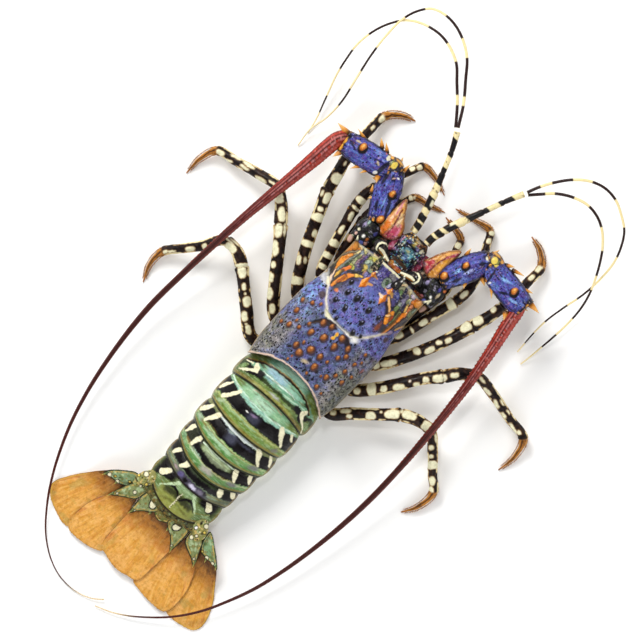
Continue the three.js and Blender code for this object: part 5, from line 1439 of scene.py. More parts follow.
for name, side in SIDES.items():
    base = tube(f"antenna_base_{name}", [(side * x, y, z, r) for x, y, z, r in BASE], columns=96,
        walls=70, cap=6)
    at = points_of(base)
    raise_by(base, (0.35 * cloud(at, 3) + 0.15 * cloud(at, 1.1)) * wall_of(base))
    coat = Coat(base, (52, 52, 56), 0.4)
    coat.tiles([(36, 36, 42), "ink", (70, 72, 82), (52, 58, 36), "ink", (120, 116, 130), "soot"], 1.8,
        line=0.16, seed=7)
    for tile in BASE_GEMS[name]:
        coat.blob("ink", *tile[1:3], tile[3] + 1.2, tile[4] + 1.2, 90, 0.4, 0.8)
        coat.blob(*tile, 90, 0.4, 0.95)
    coat.done()
    mark(base, "specks", 0.9)
    dress(base, "base", "base_dark", f"antenna_base_{name}")
    blue_segment(name, "a", SEGMENT_A[name], THORNS_A[name])
    blue_segment(name, "b", SEGMENT_B[name], THORNS_B[name])
    blue_joint(name, side)
print("segments and", sum(len(t[n]) for t in (THORNS_A, THORNS_B) for n in SIDES), "thorns")

# %% [markdown]
# A whip is horn in hundreds of rings. It is red at its root, dark red-brown along the body,
# and pale at its tip. Dark grooves run along it, with pale lines beside them that are painted
# highlights, and near the root its edges carry small spines. Most of the depth of its rings is in its
# finish, because they are so fine.

# %% Whips
WHIP = {
    "left": [(-91.6, 136), (-95.6, 130), (-97.6, 120), (-98.8, 108), (-101, 90), (-104, 68),
        (-107.5, 40), (-110, 12), (-112.3, -20), (-114, -59), (-111, -99), (-104, -139), (-98.5, -159),
        (-91, -179), (-81.5, -199), (-69, -219), (-51, -239), (-39, -247), (-25, -252), (-8, -252),
        (4, -247.5), (11, -242)],
    "right": [(87, 134), (89.4, 128), (91, 118), (92.8, 108), (94.8, 98), (97.4, 82), (100, 65),
        (102.5, 40), (104.5, 10), (105.7, -20), (105.7, -45), (103.5, -79), (101, -99), (93.5, -139),
        (88, -159), (80, -179), (70, -199), (55, -219), (44.5, -229), (32, -239), (22, -245),
        (9, -250.3)]}
whip_z = graph([(-252, 1.3), (-239, 3), (-219, 6.5), (-160, 9), (-99, 13), (-40, 20), (6, 30),
        (40, 34), (75, 38), (110, 41.5), (128, 42.5)])
whip_radius = graph(
    [(-252, 0.4), (-229, 0.7), (-199, 0.95), (-159, 1.3), (-119, 1.6), (-59, 2.15), (0, 2.5),
        (20, 2.85), (40, 3.1), (60, 3.6), (80, 4.1), (110, 5.2), (125, 5.5)])
WHIP_ROOT = [(0, 0.6), (1.2, 0.86), (3, 0.96), (6, 1)]


# Spines stand on both edges, from one length to another, at this distance.
SPINE_STRETCH = (7, 150, 3.4)
LEFT_GIRTH = 0.072  # the left whip is this much thicker near its root, and the right one thinner


def whip_shape(length, turn):
    """Ridges along the whip, and a slight swelling at each ring."""
    ridges = 0.05 * np.cos(4 * turn + 0.6)
    rings = 0.012 * np.sin(length * 2 * math.pi / WHIP_PITCH)
    return (1 + ridges + rings) * graph(WHIP_ROOT)(length)


for name, side in SIDES.items():
    stations = []
    for x, y in WHIP[name]:
        girth = 1 - side * LEFT_GIRTH * smooth(y, 20, 90)
        stations.append((x, y, float(whip_z(y)), float(whip_radius(y) * girth)))
    whip = tube(f"antenna_whip_{name}", stations, columns=26, walls=720, cap=4, shape=whip_shape)
    coat = Coat(whip, (190, 60, 46), 0.2)
    length, side_at = values(whip, "along"), values(whip, "side")
    coat.lay((124, 36, 30), smooth(length, 34, 84))
    coat.lay((72, 26, 21), smooth(length, 80, 130))
    coat.lay((78, 34, 28), smooth(length, 240, 400))
    for groove, depth in ((-0.42, 0.7), (0.14, 0.95), (0.6, 0.8)):
        coat.lay((30, 9, 10), hill(side_at - groove, 0.22) * (1 - 0.75 * smooth(length, 240, 380)) * depth)
    coat.lay((120, 40, 34), hill(np.abs(side_at) - 0.84, 0.16) * smooth(length, 60, 120) * 0.7)
    # the pale lines along the ridges below are painted highlights, the first one broken up by clouds
    broken = smooth(cloud(coat.at, 1.6), -0.4, 0.3) * coat.seen
    coat.lay((198, 130, 130), hill(side_at + 0.14, 0.2) * (1 - smooth(length, 50, 130)) * broken * 0.85)
    coat.lay((186, 104, 98), hill(side_at + 0.7, 0.24) * (1 - smooth(length, 60, 220)) * 0.55)
    coat.lay((196, 120, 118), hill(side_at - 0.4, 0.16) * (1 - smooth(length, 40, 150)) * coat.seen * 0.7)
    coat.lay((40, 14, 16), smooth(np.abs(side_at), 0.88, 0.99) * 0.7)
    coat.clouds((60, 20, 24), 2.0, 0.5, 1, 0.15, 7)
    coat.clouds((230, 170, 160), 0.9, 0.6, (1 - smooth(length, 20, 90)) * coat.seen, 0.5, 17)
    coat.lay((238, 212, 170), smooth(length, length.max() - 34, length.max() - 14))
    coat.done()
    dress(whip, "whip", "whip_red", f"antenna_whip_{name}")
    spines = []
    lengths = sized(stations)
    route = [graph(np.column_stack([lengths, np.array(stations)[:, k]])) for k in range(4)]
    for here in np.arange(*SPINE_STRETCH):
        x, y, z, radius = (float(line(here)) for line in route)
        for hand in (-1, 1):
            reach = 1.3 * (1 - here / 190)
            root_x = x + hand * radius * 0.9
            root_y = y + hand * 0.8
            spines.append(((root_x, root_y, z + 0.2), (root_x + hand * reach, root_y - 1.1, z + 0.9), 0.62))
    fringe = cones(f"whip_spines_{name}", spines, sides=6, cuts=1)
    paint_thorns(fringe, [(0, (96, 26, 24)), (0.5, (150, 50, 40)), (1, (190, 100, 70))])
    dress(fringe, "horn", "whip_red", f"antenna_whip_{name}")
print("whips:", round(float(length.max())), "mm long, with", 2 * len(spines), "spines")

# %% [markdown]
# Between the bases and the plate lie two soft pads of skin, striped in tan, crimson and
# orange, with raw flesh beside them. A squeezed ball would be too regular, so each is a
# lobe: a crowned form inside an outline, with a fold along it.

# %% Pads beside the plate
PAD_Z, PAD_THICK, FACE_Z = 36.5, 11, 31
FLESH = [(11.6, 96, 33, 2.0), (12.4, 100, 34.5, 2.8), (12.8, 105, 35, 2.8), (12.2, 111, 34, 1.8)]
PAD = {"left": [(-28.5, 131), (-24, 128.5), (-19, 121), (-13.5, 114), (-12, 106), (-19, 99.5),
        (-28, 101), (-31, 112)],
    "right": [(29.5, 130.5), (23, 127), (18, 119), (15, 112), (13, 106), (22, 100), (29, 103),
        (29, 114)]}


def ringed(points):
    """A closed smooth curve through points, by the share of the way round."""
    points = np.array(points, float)
    count = len(points)
    wrapped = np.vstack([points[-2:], points, points[:3]])
    at = np.arange(-2, count + 3) / count
    lines = [graph(np.column_stack([at, wrapped[:, k]])) for k in range(2)]
    return lambda share: np.column_stack([line(share % 1) for line in lines])


def ringed_path(outline, count=140):
    """Many points along the curve through an outline."""
    return ringed(outline)(np.linspace(0, 1, count))


CROWDING = 0.8  # below 1, the rows of a lobe crowd at its rim


def lobe(name, outline, columns, walls, middle, thickness, rim=0.5, edge=None):
    """A flat piece inside an outline: its upper face, its rim and its lower face."""
    border = ringed(outline)
    centre = np.mean(np.array(outline, float), axis=0)

    def place(turn, along, spread):
        latitude = along * math.pi
        reach = (np.sin(latitude) * spread) ** CROWDING
        share = turn / (2 * math.pi)
        rimmed = border(share)
        if edge is not None:
            rimmed = rimmed + (rimmed - centre) * (edge(rimmed, share))[:, None]
        xy = centre + (rimmed - centre) * reach[:, None]
        lift = thickness / 2 * boxed(np.cos(latitude), rim)
        return np.column_stack([xy, middle(xy[:, 0], xy[:, 1]) + lift])

    return skin(name, columns, walls, place, cap=1)


for name, side in SIDES.items():
    pad = lobe(f"antennal_pad_{name}", PAD[name], columns=120, walls=90, middle=lambda x, y: PAD_Z + 0 * x,
               thickness=PAD_THICK, rim=0.7)
    at = points_of(pad)
    fold = np.abs(at[:, 0]) - 21.5 + 0.1 * (at[:, 1] - 110)
    raise_by(pad, 0.2 * cloud(at, 2.4) - 0.9 * hill(fold, 1.3) * smooth(at[:, 2], 36, 39))
    if side < 0:
        coat = Coat(pad, "tan", 0.3)
        for brush in [
            ((224, 118, 34), [(-25, 99), (-25.4, 106), (-26, 114), (-27, 118)], [5, 5, 3.6, 2], 0.7),
            ((214, 176, 120), [(-21, 103), (-21, 112), (-22, 121)], [2, 2.6, 2], 0.6),
            ((244, 196, 150), [(-26, 112), (-26.6, 120), (-28, 127)], [2, 2.4, 1.4], 0.6, 0.9),
            ((184, 62, 92), [(-18.4, 97), (-17.4, 105), (-18, 113)], [9, 9.4, 5], 0.9),
            ((214, 110, 150), [(-14.5, 101), (-14.4, 106), (-16.5, 113)], [2.4, 2.8, 1.4], 0.9, 0.8),
            ("wine", [(-21, 99), (-20.8, 108), (-22.6, 117), (-24.6, 124)], [1.2, 1.2, 1.4, 1], 0.4),
            ("rose", [(-25.5, 119), (-27, 125), (-28.5, 130)], [1.4, 2.2, 1.2], 0.5),
            ("sand", [(-19, 113), (-20.5, 119)], [3, 2], 0.8, 0.7),
            ("orange", [(-13.5, 108), (-16, 115)], 1.6, 0.6, 0.8)]:
            coat.stroke(*brush)
    else:
        coat = Coat(pad, "tan", 0.3)
        for brush in [
            ("ochre", [(25.5, 101), (24.5, 108), (24.6, 114), (26, 121)], [6, 6.4, 5, 2.4], 0.7),
            ("amber", [(26, 106), (25.4, 112), (26, 118)], [2, 3, 1.4], 0.6),
            ((182, 56, 66), [(16.4, 98), (17, 105), (18.5, 111)], [9, 8.4, 4], 0.9),
            ("rose", [(19.5, 102), (20.5, 105)], 2, 0.7, 0.8),
            ("lilac", [(11.5, 103.5), (14.5, 104.5)], [3, 4], 0.8, 0.9),
            ("wine", [(21.6, 101), (21.3, 108), (22, 114), (24.4, 121)], [1.4, 1.3, 1.2, 1.6], 0.4),
            ("magenta", [(24.4, 120), (27.4, 126), (29.6, 129.6)], [1.2, 2.4, 1.2], 0.5),
            ("orange", [(15.6, 110), (17.5, 117)], 1.6, 0.6, 0.7)]:
            coat.stroke(*brush)
    inner = (1 - smooth(np.abs(coat.x), 20, 22)) * (1 - smooth(coat.y, 111, 116))
    coat.clouds("rose", 1.3, 0.8, inner, 0.2, 45)
    coat.clouds("ink", 1.2, 0.8, inner, 0.3, 55)
    border = far_from(coat.xy, ringed_path(PAD[name], 100))
    coat.lay((104, 54, 24), (1 - smooth(border, 0.6, 2.4)) * 0.75)
    for haze in [((150, 70, 40), 1.8, 0.55, 1, 0.2, 5), ((240, 210, 170), 1.4, 0.5, 1, 0.3, 15),
        ((96, 40, 48), 1.3, 0.5, 1, 0.45, 25)]:
        coat.clouds(*haze)
    coat.done()
    dress(pad, "pad", "pad_pink", f"antennal_pad_{name}")

# %% Flesh beside the pads, and the skin of the face below
for name, side in SIDES.items():
    flesh = tube(f"antennal_flesh_{name}", [(side * x, y, z, r) for x, y, z, r in FLESH], columns=40,
        walls=40)
    raise_by(flesh, 0.35 * cloud(points_of(flesh), 2))
    coat = Coat(flesh, (160, 56, 84), 0.4)
    for haze in [((214, 130, 160), 2.0, 0.8, 1, 0.15, 3), ("plum", 2.0, 0.8, 1, 0.2, 13),
        ("white", 1.2, 0.8, 1, 0.4, 23)]:
        coat.clouds(*haze)
    coat.done()
    dress(flesh, "pad", "pad_pink", f"antennal_pad_{name}")
FACE = [(-31, 82), (-12, 80), (12, 80), (31, 82), (31, 96), (25, 104), (12, 107), (-12, 107),
    (-25, 104), (-31, 96)]
face = lobe("face_skin", FACE, columns=120, walls=60, middle=lambda x, y: FACE_Z + 0 * x, thickness=5,
    rim=0.7)
raise_by(face, 0.5 * cloud(points_of(face), 2.4))
coat = Coat(face, (52, 34, 40), 0.4)
coat.tiles(["ink", (96, 60, 60), (140, 110, 90), "soot", "plum", (206, 180, 150)], 2.0,
    smooth(np.abs(coat.x), 10, 14), seed=21)
coat.done()
dress(face, "pad", "belly_cream", "mouth_plate")
print("pads and face done")

# %% [markdown]
# ## Antennules
# The two small feelers stand on jointed stems and fork into two fine whips each. Their bands
# of black-brown and cream have the lengths that they have on the animal.

# %% Stems and their whips
STEM = {
    "left": [(-7.5, 117.4, 38, 3), (-8.3, 123, 38.5, 3.1), (-11, 133.5, 40, 3.1), (-16, 150, 42.5, 3),
        (-21.5, 165, 44.5, 2.2), (-28.5, 183, 46, 2.1), (-34.5, 194.6, 46.5, 2.5)],
    "right": [(6, 117.4, 38, 3), (6, 123, 38.5, 3.1), (9, 134, 40, 3.1), (15, 150, 42.5, 3),
        (21, 165, 44.5, 2.2), (28.8, 184, 46, 2.1), (33.8, 194.6, 46.5, 2.5)]}
# Dark bands of the stems, from y to y; what lies between them is cream.
STEM_DARK = {"left": [(120.5, 125.5), (127, 132.4), (137, 145.8), (156, 168.5), (177, 190)],
             "right": [(119, 125), (127.2, 132), (135, 143), (152, 168), (176.4, 187)]}
FEELER = {
    "left_upper": [(-36, 197), (-44, 211), (-57, 228), (-67, 240), (-79, 248), (-91, 252),
        (-101, 252.3), (-111, 249), (-118.5, 239), (-121.8, 229), (-122.6, 212), (-121, 194),
        (-117, 172), (-113.3, 152), (-113.6, 135), (-116.6, 121), (-115, 106)],
    "left_lower": [(-37.5, 196), (-48, 209), (-60, 221.5), (-70, 231.5), (-80, 236.5), (-92, 239),
        (-104, 237.5), (-113, 234), (-120, 229), (-127, 219), (-132, 206), (-134, 190), (-133, 181),
        (-130, 165), (-124, 146.5), (-118, 128), (-116, 118)],
    "right_upper": [(34.6, 197), (39, 207), (45, 217), (53, 227), (64, 235.5), (75, 239), (87, 238),
        (98, 232.5), (107, 226), (114, 215), (118, 203), (119, 188), (117.6, 170), (113.5, 152),
        (110.7, 136), (110.3, 120), (111, 105)],
    "right_lower": [(36.5, 196), (43, 203), (51, 211), (63, 218), (75, 221), (86, 219.3), (95, 214.5),
        (104, 205.5), (110, 196.5), (116, 185), (120.5, 174), (123.4, 161), (124, 147), (123, 131),
        (121.5, 118), (120.3, 108), (119, 100)]}
# Lengths of the bands in mm: dark, pale, dark, pale, …
BANDS = {"left_upper": [17, 7, 29, 15, 21, 17, 17, 32, 22, 16, 16],
    "left_lower": [17, 7.5, 25, 15, 19, 22, 28, 18, 19, 23, 14],
    "right_upper": [11, 9, 16, 14.5, 22, 22, 24, 31, 15, 9, 22, 12, 11],
    "right_lower": [13, 7, 15, 13, 18, 18, 20, 12, 28, 18, 15]}
FEELER_Z = {"upper": [(0, 48), (0.3, 47.5), (0.5, 42), (0.65, 32), (0.8, 18), (0.93, 7), (1, 1.4)],
            "lower": [(0, 45), (0.3, 44), (0.5, 37), (0.65, 26), (0.8, 12.5), (0.93, 3.4), (1, 1.2)]}
feeler_radius = graph([(0, 1.25), (0.4, 1), (0.8, 0.75), (1, 0.5)])


BAND_SOFT = 0.3  # how far a band blurs at its edges, in mm


def banded(coat, length, bands, dark):
    """Dark bands over the ground; every second length stays pale."""
    start = 0
    for index, band in enumerate(bands):
        end = start + band
        if index % 2 == 0:
            begun = smooth(length, start - BAND_SOFT, start + BAND_SOFT)
            coat.lay(dark, begun * (1 - smooth(length, end - BAND_SOFT, end + BAND_SOFT)))
        start = end


def joint_swell(*joints):
    """A limb's shape: it swells before each joint and is narrow in it."""
    def shape(length, turn):
        scale = np.ones_like(length)
        for joint in joints:
            scale += 0.1 * hill(length - joint + 2.2, 3) - 0.16 * hill(length - joint, 1.2)
        return scale
    return shape


for name, side in SIDES.items():
    stem = tube(f"antennule_stem_{name}", STEM[name], columns=40, walls=200, cap=4,
        shape=joint_swell(16, 34, 50, 67))
    coat = Coat(stem, (236, 220, 168), 0.25)
    y = coat.at[:, 1] + 0.4 * cloud(coat.at, 2)
    for low, high in STEM_DARK[name]:
        coat.lay("ink", smooth(y, low - 0.35, low + 0.35) * (1 - smooth(y, high - 0.35, high + 0.35)))
    outer = values(stem, "side") * side
    coat.lay("cream", smooth(-outer, 0.1, 0.4) * smooth(y, 139, 141) * (1 - smooth(y, 144, 145)) * 0.9)
    coat.lay("umber", smooth(outer, 0.2, 0.5) * (1 - smooth(y, 119, 121)) * 0.8)
    for middle in (151.3, 172.4, 193):
        coat.lay("umber", hill(y - middle, 1.2) * smooth(cloud(coat.at, 1.2), -0.1, 0.3) * 0.8)
    coat.lay("ochre", smooth(np.abs(outer), 0.85, 1.0) * 0.5)
    coat.done()
    dress(stem, "antennule", "antennule_banded", f"antennule_stem_{name}")
    for level in ("upper", "lower"):
        route = FEELER[f"{name}_{level}"]
        shares = np.linspace(0, 1, len(route))
        heights, radii = graph(FEELER_Z[level])(shares), feeler_radius(shares)
        stations = [(*place, z, radius) for place, z, radius in zip(route, heights, radii)]
        feeler = tube(f"antennule_{level}_{name}", stations, columns=12, walls=560, cap=3)
        length = values(feeler, "along")
        coat = Coat(feeler, (246, 226, 168), 0)
        coat.lay((240, 222, 196), smooth(length, 150, 330) * 0.6)
        banded(coat, length, BANDS[f"{name}_{level}"], (44, 24, 22))
        coat.done()
        dress(feeler, "antennule", "antennule_banded", f"antennule_{level}_{name}")
print("antennules done, longest feeler", round(float(length.max())), "mm")

# %% [markdown]
# ## Legs
# Ten walking legs without claws, five on each side. Each is one tube that swells before its
# joints and is narrow in them, nearly black above, with cream bars in set places and a cream
# line along both edges. The last joint is a pointed, furry claw. Separate joints could be
# cut, but in the photo the skin between them is hidden, so one tube gives the same look.

# %% Routes and form of the legs
# height of the knee, half width
LEG_BUILD = {1: (12.5, 3.6), 2: (16, 3.8), 3: (22, 4.5), 4: (27, 4.6), 5: (24, 4.5)}
LEG_ROUTE = {
    ("left", 1): [(-15, 52), (-33, 63), (-38, 79), (-40, 92), (-41, 100), (-40, 109), (-37, 116),
        (-32, 122.5), (-28, 129.5), (-24, 137.5), (-12, 140.5), (0, 144.5)],
    ("left", 2): [(-19, 34), (-38, 49), (-44, 68), (-49, 88), (-52, 101), (-53, 113), (-51, 124),
        (-46, 136), (-41, 147), (-34.5, 159), (-24, 158.7), (-9, 153.5)],
    ("left", 3): [(-23, 14), (-41, 26), (-54, 46), (-69, 80), (-76, 98), (-79, 112), (-82, 124),
        (-83.5, 138), (-83.5, 153), (-82.5, 166), (-71, 177), (-63, 179.5)],
    ("left", 4): [(-26, -5), (-41, 1), (-58, 20), (-76, 44), (-84, 54), (-95, 66), (-104, 72.5),
        (-121, 70.5), (-140, 66), (-157, 61.5), (-162, 48), (-162, 34)],
    ("left", 5): [(-27, -19), (-41, -23), (-60, -9.5), (-78, 6), (-84, 11), (-95, 17), (-105, 17),
        (-117, 1), (-127, -11), (-135, -21.5), (-135.5, -35), (-130, -48)],
    ("right", 1): [(15, 52), (32, 62), (36.5, 77), (39, 89), (40, 99), (38.5, 108), (35, 115),
        (30, 121.5), (25.5, 129), (22.5, 137.5), (12, 141), (3, 142.2)],
    ("right", 2): [(19, 34), (36, 49), (42, 67), (47, 86), (51, 101), (52.5, 113), (50.5, 125),
        (45.5, 136), (40, 147), (34, 157.5), (20, 155.5), (4, 152)],
    ("right", 3): [(23, 14), (40, 26), (52, 45), (67, 78), (73, 96), (77, 108), (79.5, 121),
        (80.5, 135), (81, 150), (80.5, 164), (71, 172.5), (60, 175.5)],
    ("right", 4): [(26, -6), (40, 0), (54, 15), (75, 45), (83, 54), (91, 64), (102, 71), (118, 69.5),
        (140, 64.5), (159, 60), (163, 46), (161, 30.5)],
    ("right", 5): [(27, -21), (38, -24.5), (52, -13), (72, 4.5), (79.5, 11), (91, 16.5), (103, 17.5),
        (115, 7.5), (127, -5.5), (136.5, -15), (135.5, -31), (129, -42.5)]}
LEG_RISE = [0, 0.15, 0.6, 0.95, 1]
LEG_FALL = [1, 0.93, 0.7, 0.46, 0.29, 0.15, 0]
LEG_TAPER = [0.95, 1, 1, 0.98, 1.06, 1, 0.9, 0.86, 0.78, 0.72, 0.5, 0.14]
HIP_Z, TIP_LIFT = 9.5, 0.3


def leg_stations(key):
    """A leg climbs from its hip to the knee and comes down to its point."""
    knee, half = LEG_BUILD[key[1]]
    stations = []
    for index, (x, y) in enumerate(LEG_ROUTE[key]):
        radius = half * LEG_TAPER[index]
        rising = index < len(LEG_RISE)
        wanted = mix(HIP_Z, knee, LEG_RISE[index]) if rising else knee * LEG_FALL[index - len(LEG_RISE)]
        stations.append((x, y, max(wanted, radius + TIP_LIFT), radius))
    return stations


# Cream marks of each leg, seen from above: x, y, length along the leg, width, and a colour if not cream.
LEG_MARKS = {
    ("left", 5): [(-48, -20.3, 6, 3.6), (-57, -15, 6.5, 4), (-63, -6, 7, 5), (-72, 1, 4.5, 3),
        (-81, 8.5, 9, 5), (-84, 12, 2.5, 10), (-99.5, 15.5, 8, 5), (-104, 18.6, 6, 1.2),
        (-100, 20.5, 6, 1), (-114.5, 3, 3, 3.2), (-121, -6, 6, 3), (-130, -17, 5, 1.4),
        (-133, -20, 3, 2), (-52, -18.5, 1.2, 1.6), (-68, -2.2, 1.4, 1.2)],
    ("left", 4): [(-46, 3.5, 6, 3.6), (-55, 10.5, 8, 4), (-63, 20, 6, 4), (-67.5, 28, 4.5, 3),
        (-75, 38, 10, 4), (-82, 49.5, 9, 4.6), (-79, 53, 8, 1.6), (-88.5, 60, 9, 4.6), (-99, 68, 8, 6),
        (-118, 68, 8, 2.4), (-132, 70, 8, 2.2), (-133, 66.5, 6, 1.8), (-143, 68, 7, 1.8),
        (-146, 62, 6, 1.6), (-154, 62.5, 6, 3.4), (-110, 72.5, 5, 1.4)],
    ("left", 3): [(-47, 31, 5, 9), (-56, 43.5, 6, 3), (-52, 47, 4, 1.8), (-59, 57, 4, 9),
        (-61, 66, 5, 3), (-67, 77, 5, 10), (-70, 82.5, 3, 3.4), (-72, 92, 7, 4), (-77, 92, 4, 1.6),
        (-71, 99, 3, 2), (-76, 108, 7, 8), (-83, 154, 3, 2), (-82.5, 164, 6, 3.4), (-83, 132, 5, 1.6),
        (-80, 120, 3, 1.6)],
    ("left", 2): [(-40, 52, 4, 6), (-43, 61, 3.4, 9), (-46, 71, 4.4, 9), (-48, 82, 6, 3),
        (-49.5, 94, 6, 3), (-51, 101, 2.4, 5), (-51.5, 108, 4, 9), (-40, 152, 3.4, 3),
        (-37, 156, 3, 3.4)],
    ("left", 1): [(-39, 82, 5, 3.4, "blush"), (-39.5, 91, 3.4, 4), (-39, 99, 4, 3, "mist"),
        (-26, 135, 2.4, 3), (-24, 138, 3, 2)],
    ("right", 5): [(41, -22.5, 4, 3.6), (47, -15, 7, 2.4), (51.5, -16, 3.5, 2.4), (63, -5, 6, 4.4),
        (58, -2.5, 5, 1.2), (67, 2.5, 1.5, 1.5), (74, 7, 10, 5.4), (78, 13, 2, 2), (84, 15, 9, 5.4),
        (87, 19.5, 1.5, 1.5), (98.5, 18, 6, 6.4), (110, 16, 5, 1.4), (112.5, 9, 3, 2.8),
        (117, 4, 2.5, 2.5), (122, -0.5, 5, 8), (130, -9.5, 6, 3.4), (134, -15, 5, 3.4)],
    ("right", 4): [(43, 1.5, 4, 4), (50, 10, 6, 9), (56.5, 16.5, 4, 4), (64, 25, 7, 4),
        (72.5, 35.5, 4.5, 3), (75, 43, 4, 3.6), (82, 51, 9, 5.6), (88.5, 60, 5.5, 3),
        (106, 71.5, 5, 1.6), (105, 67, 5, 2), (114.5, 67.5, 6, 2.4), (126, 65.5, 6, 2.4),
        (128.5, 69.5, 4, 1), (136, 63, 4, 2), (137, 67, 3, 1), (148, 61, 8, 2), (153, 62, 3, 2.4),
        # the white mark on this leg is a painted glint
        (67, 34, 1.4, 0.8, "white")],
    ("right", 3): [(40, 26, 4, 6), (46, 33, 10, 4), (55, 54, 5, 4.6), (62, 61, 7, 3.6),
        (63, 70, 3.5, 2.6), (67, 76, 4.5, 3), (70, 92, 7, 6), (73, 102, 7, 5.6), (76, 116, 4, 3),
        (81, 153, 4, 2.6), (80.5, 161.5, 6, 3.4), (79, 130, 5, 1.4)],
    ("right", 2): [(37, 53, 6, 5), (42, 63, 1.4, 5), (44, 73, 6, 3.6), (48, 80, 4, 1.4),
        (50, 97, 5, 9), (52.5, 109, 6, 3.6), (38.5, 151, 3.4, 3), (36, 157, 3, 3.4)],
    ("right", 1): [(38.5, 97, 3, 4), (24, 133, 4, 4), (37, 80, 5, 3, "blush"), (38.6, 89, 4, 3)]}


def heading_near(route, x, y):
    """Which way a leg runs near a place, in degrees."""
    route = np.array(route, float)
    middle, step = (route[1:] + route[:-1]) / 2, np.diff(route, axis=0)
    dx, dy = step[np.argmin(np.hypot(*(middle - (x, y)).T))]
    return math.degrees(math.atan2(dy, dx))


def build_leg(name, number):
    """One leg with its marks; gives its stations and the lengths up to them."""
    key = (name, number)
    stations = leg_stations(key)
    at = sized(stations)
    knee, ankle, claw = at[4], at[6], at[9]
    swell = joint_swell(knee, ankle, claw)

    def shape(length, turn):
        keel = hill(np.sin(turn) - 0.2, 0.5) * smooth(-length, -ankle, -knee)
        ridge = 1 + 0.035 * np.cos(4 * turn) + 0.05 * keel
        return swell(length, turn) * ridge * (1 - 0.32 * smooth(length, claw - 1, claw + 7))

    leg = tube(f"leg_{number}_{name}", stations, columns=42, walls=400, shape=shape)
    length, side, up = (values(leg, label) for label in ("along", "side", "up"))
    raise_by(leg, 0.12 * cloud(points_of(leg), 2.4))
    coat = Coat(leg, (34, 22, 20), ragged=0.5)
    coat.clouds((58, 38, 30), 4, 0.8, 1, 0.1, number)
    coat.clouds("ink", 3, 0.8, 1, 0.0, 13)
    last = smooth(length, claw - 2, claw + 1)
    lumps = cloud(coat.at + 9, 5.0, 3)
    rim = smooth(np.abs(side) + 0.14 * lumps, 0.82, 0.92) * (1 - last)
    coat.lay((206, 160, 96), rim * smooth(lumps, -0.1, 0.15) * 0.85)
    coat.lay((238, 222, 172), rim * smooth(lumps, 0.12, 0.35))
    below = (1 - smooth(up, -0.75, -0.3)) * (1 - last)
    coat.lay((214, 186, 128), below)
    coat.clouds("umber", 4.5, 0.85, below, 0.05, 31)
    for x, y, long, wide, *colour in LEG_MARKS[key]:
        heading = heading_near(LEG_ROUTE[key], x, y)
        tint = colour[0] if colour else (240, 236, 200)
        coat.blob((190, 140, 76), x, y, 1.16 * long + 0.7, 1.16 * wide + 0.7, heading, 0.4, 0.7, 2.6)
        coat.blob(tint, x, y, 1.16 * long, 1.16 * wide, heading, 0.35, 1.0, 2.6)
    for joint in (knee, ankle):
        coat.lay("umber", hill(length - joint + 0.6, 0.9) * smooth(cloud(coat.at, 2), -0.3, 0.3) * 0.6)
    coat.lay((196, 128, 54), last)
    coat.lay((226, 172, 90), last * smooth(np.abs(side), 0.7, 0.95) * 0.7)
    back = hill(side - 0.15 + 0.2 * cloud(coat.at, 4), 0.5) * coat.seen
    coat.lay((52, 26, 14), last * back * (1 - smooth(length, at[-1] - 9, at[-1] - 3)))
    coat.lay((160, 92, 36), smooth(length, at[-1] - 6, at[-1] - 2) * 0.6)
    coat.clouds("umber", 1.6, 0.6, last, 0.1, 43)
    coat.done()
    mark(leg, "fur", last)
    dress(leg, "leg", "leg_banded", f"leg_{number}_{name}")
    return stations, at


rng = np.random.default_rng(5)
for name, number in LEG_ROUTE:
    stations, at = build_leg(name, number)
    lines = [graph(np.column_stack([at, np.array(stations)[:, k]])) for k in range(4)]
    rows = []
    for here in np.linspace(at[9] - 1, at[11] - 4, 46):
        x, y, z, radius = (float(line(here)) for line in lines)
        ahead = np.array([float(line(here + 1) - line(here - 1)) for line in lines[:2]])
        ahead /= np.linalg.norm(ahead)
        across = np.array([ahead[1], -ahead[0]])
        for hand in (-1, 1):
            reach = 0.5 + 0.5 * rng.random()
            root = np.array([x, y]) + across * hand * radius * 0.85
            tip = root + across * hand * reach + ahead * (0.9 + rng.random())
            lift = 0.8 * radius * (rng.random() - 0.4)
            rows.append(((*root, max(z + lift, 0.4)), (*tip, max(z + lift, 0.4)), 0.17))
    fur = cones(f"leg_bristles_{number}_{name}", rows, sides=4, cuts=1)
    paint_thorns(fur, [(0, "umber"), (0.5, (160, 96, 40)), (1, (206, 150, 80))])
    dress(fur, "horn", "leg_banded", f"leg_{number}_{name}")
print("legs:", len(LEG_ROUTE), "each with", len(rows), "bristles")

# %% [markdown]
# ## The belly
# Under the head shell lies the breastplate, one broad plate that widens to the rear, with a
# furrow for each pair of legs. In front of it lie the two feeding limbs. None of this is seen
# from above, so its look is guessed from what such animals have: cream with rust marks.

# %% Breastplate and feeding limbs
breast_half = graph([(-21, 25), (0, 23), (20, 19), (40, 14.5), (60, 11), (80, 8)])
BELLY_MIDDLE = (LOWER_Z - 0.3) / 2


def breast_place(turn, along, spread):
    """A flat box with round edges that widens to the rear."""
    y = mix(80, -21, along)
    x = breast_half(y) * boxed(np.cos(turn), 0.55) * spread
    return np.column_stack([x, y, BELLY_MIDDLE * (1 + boxed(np.sin(turn), 0.55) * spread)])


breast = skin("breastplate", columns=100, walls=120, place=breast_place)
at = points_of(breast)
low = 1 - smooth(at[:, 2], 1.5, 4)
furrow = sum(hill(at[:, 1] - y - 0.25 * np.abs(at[:, 0]), 1.6) for y in (-12, 6, 24, 42, 60))
raise_by(breast, -0.9 * furrow * low - 0.7 * hill(at[:, 0], 1.4) * low + 0.12 * cloud(at, 3))
coat = Coat(breast, (226, 208, 166), 0.4)
coat.lay("brown", 0.8 * furrow * low)
coat.clouds("rust", 4, 0.7, 1, 0.2)
coat.clouds("ash", 7, 0.5, 1, 0.1, 17)
coat.done()
mark(breast, "specks", 0.6)
dress(breast, "belly", "belly_cream", "breastplate")

